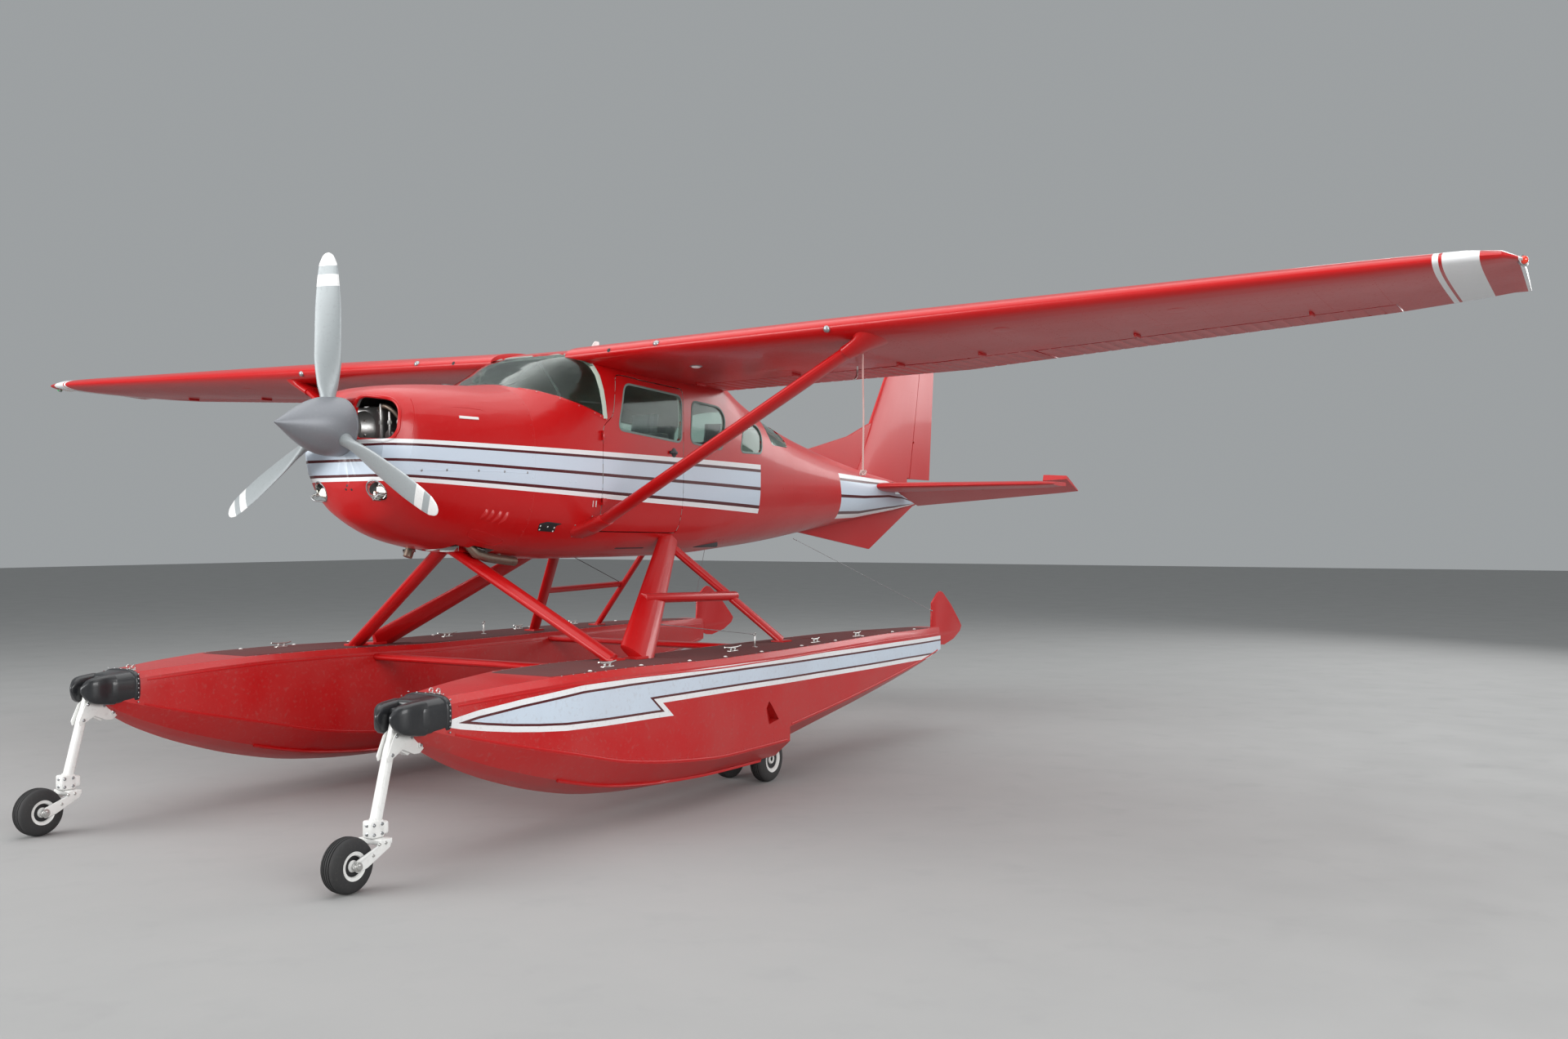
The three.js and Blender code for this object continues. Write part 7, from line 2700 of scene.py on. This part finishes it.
@dataclass
class Propeller:
    """Spinner with its blade collars, and three twisted blades."""

    hub_height: float = 2307.0
    radius: float = 1000.0
    spinner_radius: float = 172.0
    tip: float = -384.0
    back: float = 78.0

    # share of the radius, chord, thickness, twist from the disc in degrees
    BLADE = Table([
        (0.05, 88, 88, 60), (0.16, 88, 80, 60), (0.24, 118, 50, 46), (0.42, 158, 30, 32), (0.65, 160, 20, 23),
        (0.85, 138, 13, 18), (0.96, 104, 8, 16), (1.0, 52, 6, 15),
    ])

    def _blade(self, turn: float) -> Piece:
        """One blade, turned about the hub by some degrees."""
        shares = [0.05 + 0.91 * k / 40 for k in range(41)] + [0.972, 0.983, 0.991, 0.996, 0.999, 1.0]
        rings = []
        for share in shares:
            chord, thick, twist = self.BLADE.curved(min(share, 0.96))
            if share > 0.93:
                round_off = math.sqrt(max(1 - ((share - 0.93) / 0.0705) ** 2, 0.0))
                chord *= round_off
                thick *= max(round_off, 0.25)
            angle = math.radians(twist)
            ring = []
            for c, s in circle(28):
                u, v = c * chord / 2, s * thick / 2
                ring.append(Vector((u * math.cos(angle) - v * math.sin(angle),
                                    u * math.sin(angle) + v * math.cos(angle), share * self.radius)) * MM)
            rings.append(ring)
        blade = soften(lattice("blade", rings), 50)
        spin = Matrix.Rotation(math.radians(turn), 4, "Y")
        blade.data.transform(Matrix.Translation(at(0, 0, self.hub_height)) @ spin)
        return blade

    def _spinner(self) -> Piece:
        """The pointed spinner with its back plate."""
        profile = [(0.0, self.tip)]
        for k in range(1, 33):
            share = k / 32
            profile.append((self.spinner_radius * math.sin(share * math.pi / 2) ** 1.12,
                            self.tip + (20 - self.tip) * share))
        rim = self.spinner_radius
        profile += [(rim, 60), (rim - 2, 62), (rim - 2, 64), (rim, 66), (rim, self.back - 3), (rim - 3, self.back),
                    (60, self.back), (55, self.back), (55, 149.7), (0.0, 149.7)]
        return soften(revolve("spinner_shell", profile, at(0, 0, self.hub_height), BACK, 72), 30)

    def _collar(self, turn: float) -> Piece:
        """The light ring round a blade's root where it leaves the spinner."""
        reach = 150.0
        collar = revolve("collar", [(50, reach - 22), (55, reach + 4), (62, reach + 8), (64, reach - 2),
                                    (60, reach - 26),
                                    (50, reach - 22)], ORIGIN, UP, 40)
        spin = Matrix.Rotation(math.radians(turn), 4, "Y")
        collar.data.transform(Matrix.Translation(at(0, 0, self.hub_height)) @ spin)
        return soften(collar, 50)

    def build(self) -> None:
        """Makes the whole propeller."""
        install(self._spinner(), "propeller", "grey_metal", "spinner_grey", replaces=["spinner"])
        for k, turn in enumerate((0, 120, 240), start=1):
            blade = self._blade(turn)
            blade.name = f"propeller_blade_{k}"
            install(blade, "propeller", "grey_metal", "blade_paint", replaces=[f"blade_{k}"])
            collar = self._collar(turn)
            collar.name = f"blade_collar_{k}"
            install(collar, "propeller", "grey_metal", "bright_metal")


@dataclass
class Wheels:
    """Tyres with grooved treads on rims with hubs and bolts."""

    nose: tuple[float, float, float] = (133.0, 108.0, 66.0)
    main: tuple[float, float, float] = (155.0, 108.0, 86.0)
    nose_axle: float = -962.0
    main_axle: float = 2570.0
    spread: float = 150.0
    grooves: int = 4

    def _tyre(self, radius: float, width: float, rim: float) -> Piece:
        """A tyre about X at the origin."""
        half = width / 2
        outer = [(rim - 2, half - 14), (rim + 1, half - 4), (rim + 7, half - 1)]
        for k in range(1, 12):
            a = math.pi / 2 * k / 12
            outer.append((rim + 7 + (radius - rim - 12) * math.sin(a) ** 0.92,
                          (half - 1) - (half * 0.42) * (1 - math.cos(a)) ** 1.1))
        tread = []
        flat = half * 0.5
        for k in range(self.grooves):
            x = flat - (k + 0.5) * 2 * flat / self.grooves
            crown = radius - 3.0 * (x / flat) ** 2
            tread += [(crown, x + 3.4), (crown - 6, x + 2.2), (crown - 6, x - 2.2), (crown, x - 3.4)]
        profile = outer + tread + [(r, -x) for r, x in reversed(outer)]
        return soften(revolve("tyre", [*profile, profile[0]], ORIGIN, ACROSS, 72), 28)

    def _rim(self, width: float, rim: float, bore: float) -> Piece:
        """The dished wheel about X at the origin, with its bolts."""
        half = width / 2
        face = [(bore, half - 10), (bore + 12, half - 9), (bore + 16, half - 14), (rim * 0.42, half - 24),
                (rim * 0.62, half - 26), (rim * 0.74, half - 14), (rim * 0.8, half - 6), (rim * 0.95, half - 4),
                (rim + 2, half - 1), (rim + 4, half - 4), (rim + 1, half - 12)]
        profile = face + [(r, -x) for r, x in reversed(face)]
        disc = revolve("rim", [*profile, profile[0]], ORIGIN, ACROSS, 56)
        parts = [disc]
        for side in BOTH:
            for k in range(6):
                a = k * math.pi / 3
                place = Vector((side * (half - 24), math.cos(a) * rim * 0.53, math.sin(a) * rim * 0.53)) * MM
                parts.append(rod("bolt", place - Vector((0.004, 0, 0)), place + Vector((0.004, 0, 0)), 4.5, 6, 0.8))
        return soften(joined("rim", parts), 35)

    def _well(self, width: float, rim: float) -> Piece:
        """Black discs laid in the dishes between hub and rim, one on each face, about X at the origin: painted shade
        in the recesses.
        """
        rings = []
        for side in BOTH:
            depth = width / 2
            profile = [(rim * 0.34, side * (depth - 19)), (rim * 0.38, side * (depth - 17)),
                       (rim * 0.66, side * (depth - 17)), (rim * 0.73, side * (depth - 11)),
                       (rim * 0.74, side * (depth - 26)), (rim * 0.34, side * (depth - 30))]
            rings.append(revolve("well", [*profile, profile[0]], ORIGIN, ACROSS, 48))
        return soften(joined("well", rings), 35)

    def build(self) -> None:
        """Makes every wheel."""
        # stem, sizes, bore, wheel centres across from the float's middle, axle station
        for stem, sizes, bore, offsets, station in (
            ("nose_wheel", self.nose, 12.0, (0.0,), self.nose_axle),
            ("main_wheels", self.main, 17.0, (-self.spread, self.spread), self.main_axle),
        ):
            radius, width, rim = sizes
            tyre, disc, well = self._tyre(*sizes), self._rim(width, rim, bore), self._well(width, rim)
            for side in Side:
                rubber, metal, dark = [], [], []
                for offset in offsets:
                    place = Matrix.Translation(at(side.sign * HULL.FLOAT_X + offset, station, radius))
                    rubber.append(copied(tyre, "tyre_copy", place))
                    metal.append(copied(disc, "rim_copy", place))
                    dark.append(copied(well, "well_copy", place))
                middle = at(side.sign * HULL.FLOAT_X, station, radius)
                if len(offsets) > 1:
                    reach = mm(self.spread + 40, 0, 0)
                    metal.append(rod("axle", middle - reach, middle + reach, 17, 24, 2))
                    for end in (1, -1):
                        metal.append(rod("cap", middle + end * reach * 0.985, middle + end * reach, 24, 6, 2))
                body = f"{stem}_{side.tag}"
                install(joined(f"{stem}_tyres_{side.tag}", rubber), body, "tyre_rubber", "tyre_rubber",
                        replaces=[f"{stem}_{side.tag}"])
                install(joined(f"{stem}_rims_{side.tag}", metal), body, "white_paint", "white_paint")
                # the black discs are painted shade in the wheels' recessed dishes
                install(joined(f"{stem}_wells_{side.tag}", dark), body, "tyre_rubber", "black")
            for pattern in (tyre, disc, well):
                bpy.data.objects.remove(pattern)


@dataclass
class Seats:
    """Padded seats for four, on their frames."""

    rows: tuple[tuple[str, float, float, float], ...] = (("front", 2080.0, 60.0, 500.0),
                                                         ("rear", 3060.0, 40.0, 480.0))

    def _pad(self, name: str, low: Vector, high: Vector, lean: float, crown: float) -> Piece:
        """A crowned cushion that pulls in between its corners.

        Args:
            name: The piece's name.
            low: Lowest corner in metres.
            high: Highest corner in metres.
            lean: How far its top is set aft, in millimetres.
            crown: How far its middle stands out, in millimetres.

        Returns:
            The cushion.
        """
        pad = block(name, low, high)
        with editing(pad):
            bpy.ops.mesh.subdivide(number_cuts=7)
        modify(pad, "SUBSURF", levels=2, render_levels=2)
        size, middle = high - low, (high + low) / 2
        thin = min(range(3), key=lambda k: size[k])

        def shaped(point: Vector) -> Vector:
            """Crowns the broad faces, pulls the sides in and presses sewn channels into them."""
            unit = [(point[k] - middle[k]) / (size[k] / 2) for k in range(3)]
            wide = [k for k in range(3) if k != thin]
            swell = 0.0
            if max(abs(unit[k]) for k in wide) < 1:
                first, second = (math.cos(unit[k] * math.pi / 2) for k in wide)
                swell = first ** 0.5 * max(second, 0) ** 0.5
            channel = math.exp(-((abs(unit[0]) - 0.62) / 0.035) ** 2) * 5.0
            point[thin] += unit[thin] * (crown * swell - channel) * MM
            for k in wide:
                point[k] -= unit[k] * 6.0 * (1 - unit[wide[1] if k == wide[0] else wide[0]] ** 2) * MM
            point.y += lean * MM * (point.z - low.z) / max(size.z, 1e-6) if lean else 0.0
            return point

        return soften(moved(pad, shaped), 60)

    def build(self) -> None:
        """Makes both rows."""
        for row, station, inner, outer in self.rows:
            pads, frames = [], []
            for sign in BOTH:
                x0, x1 = sorted((sign * inner, sign * outer))
                tag = "left" if sign > 0 else "right"
                pads.append(self._pad(f"{row}_cushion_{tag}", at(x0 + 6, station + 6, 1812),
                                      at(x1 - 6, station + 462, 1918), 0, 10))
                pads.append(self._pad(f"{row}_back_{tag}", at(x0 + 6, station + 415, 1865),
                                      at(x1 - 6, station + 498, 2412), 112, 8))
                pads.append(self._pad(f"{row}_headrest_{tag}", at(x0 + 118, station + 552, 2408),
                                      at(x1 - 118, station + 614, 2556), 22, 5))
                frames.append(block("pan", at(x0 + 60, station + 40, 1581), at(x1 - 60, station + 380, 1806), 12))
            frame = soften(joined(f"{row}_seat_frame", frames), 30)
            install(frame, "airframe", "panel_plastic", "panel_plastic")
            for k, pad in enumerate(pads):
                install(pad, "airframe", "seat_cloth", "seat_cloth", replaces=[f"{row}_seats"] if k == 0 else ())


def main() -> None:
    """Builds the dressed aircraft in order."""
    logging.basicConfig(level=logging.INFO, format="%(name)s: %(message)s")
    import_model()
    studio = Studio()
    studio.camera()
    MooringRope(exit=at(2420, 2009, 2798)).build()
    studio.floor()
    studio.lights()
    for kind in (Shell, Surfaces, Nose, Engine, Exhaust, CabinTrim, Cockpit, Boots, NoseGear, ForkTrim, FloatTrim,
                 WingTrim, Rigging, Propeller, Wheels, Seats):
        LOG.info("%s", kind.__name__)
        kind().build()
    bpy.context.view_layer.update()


if __name__ == "__main__":
    main()
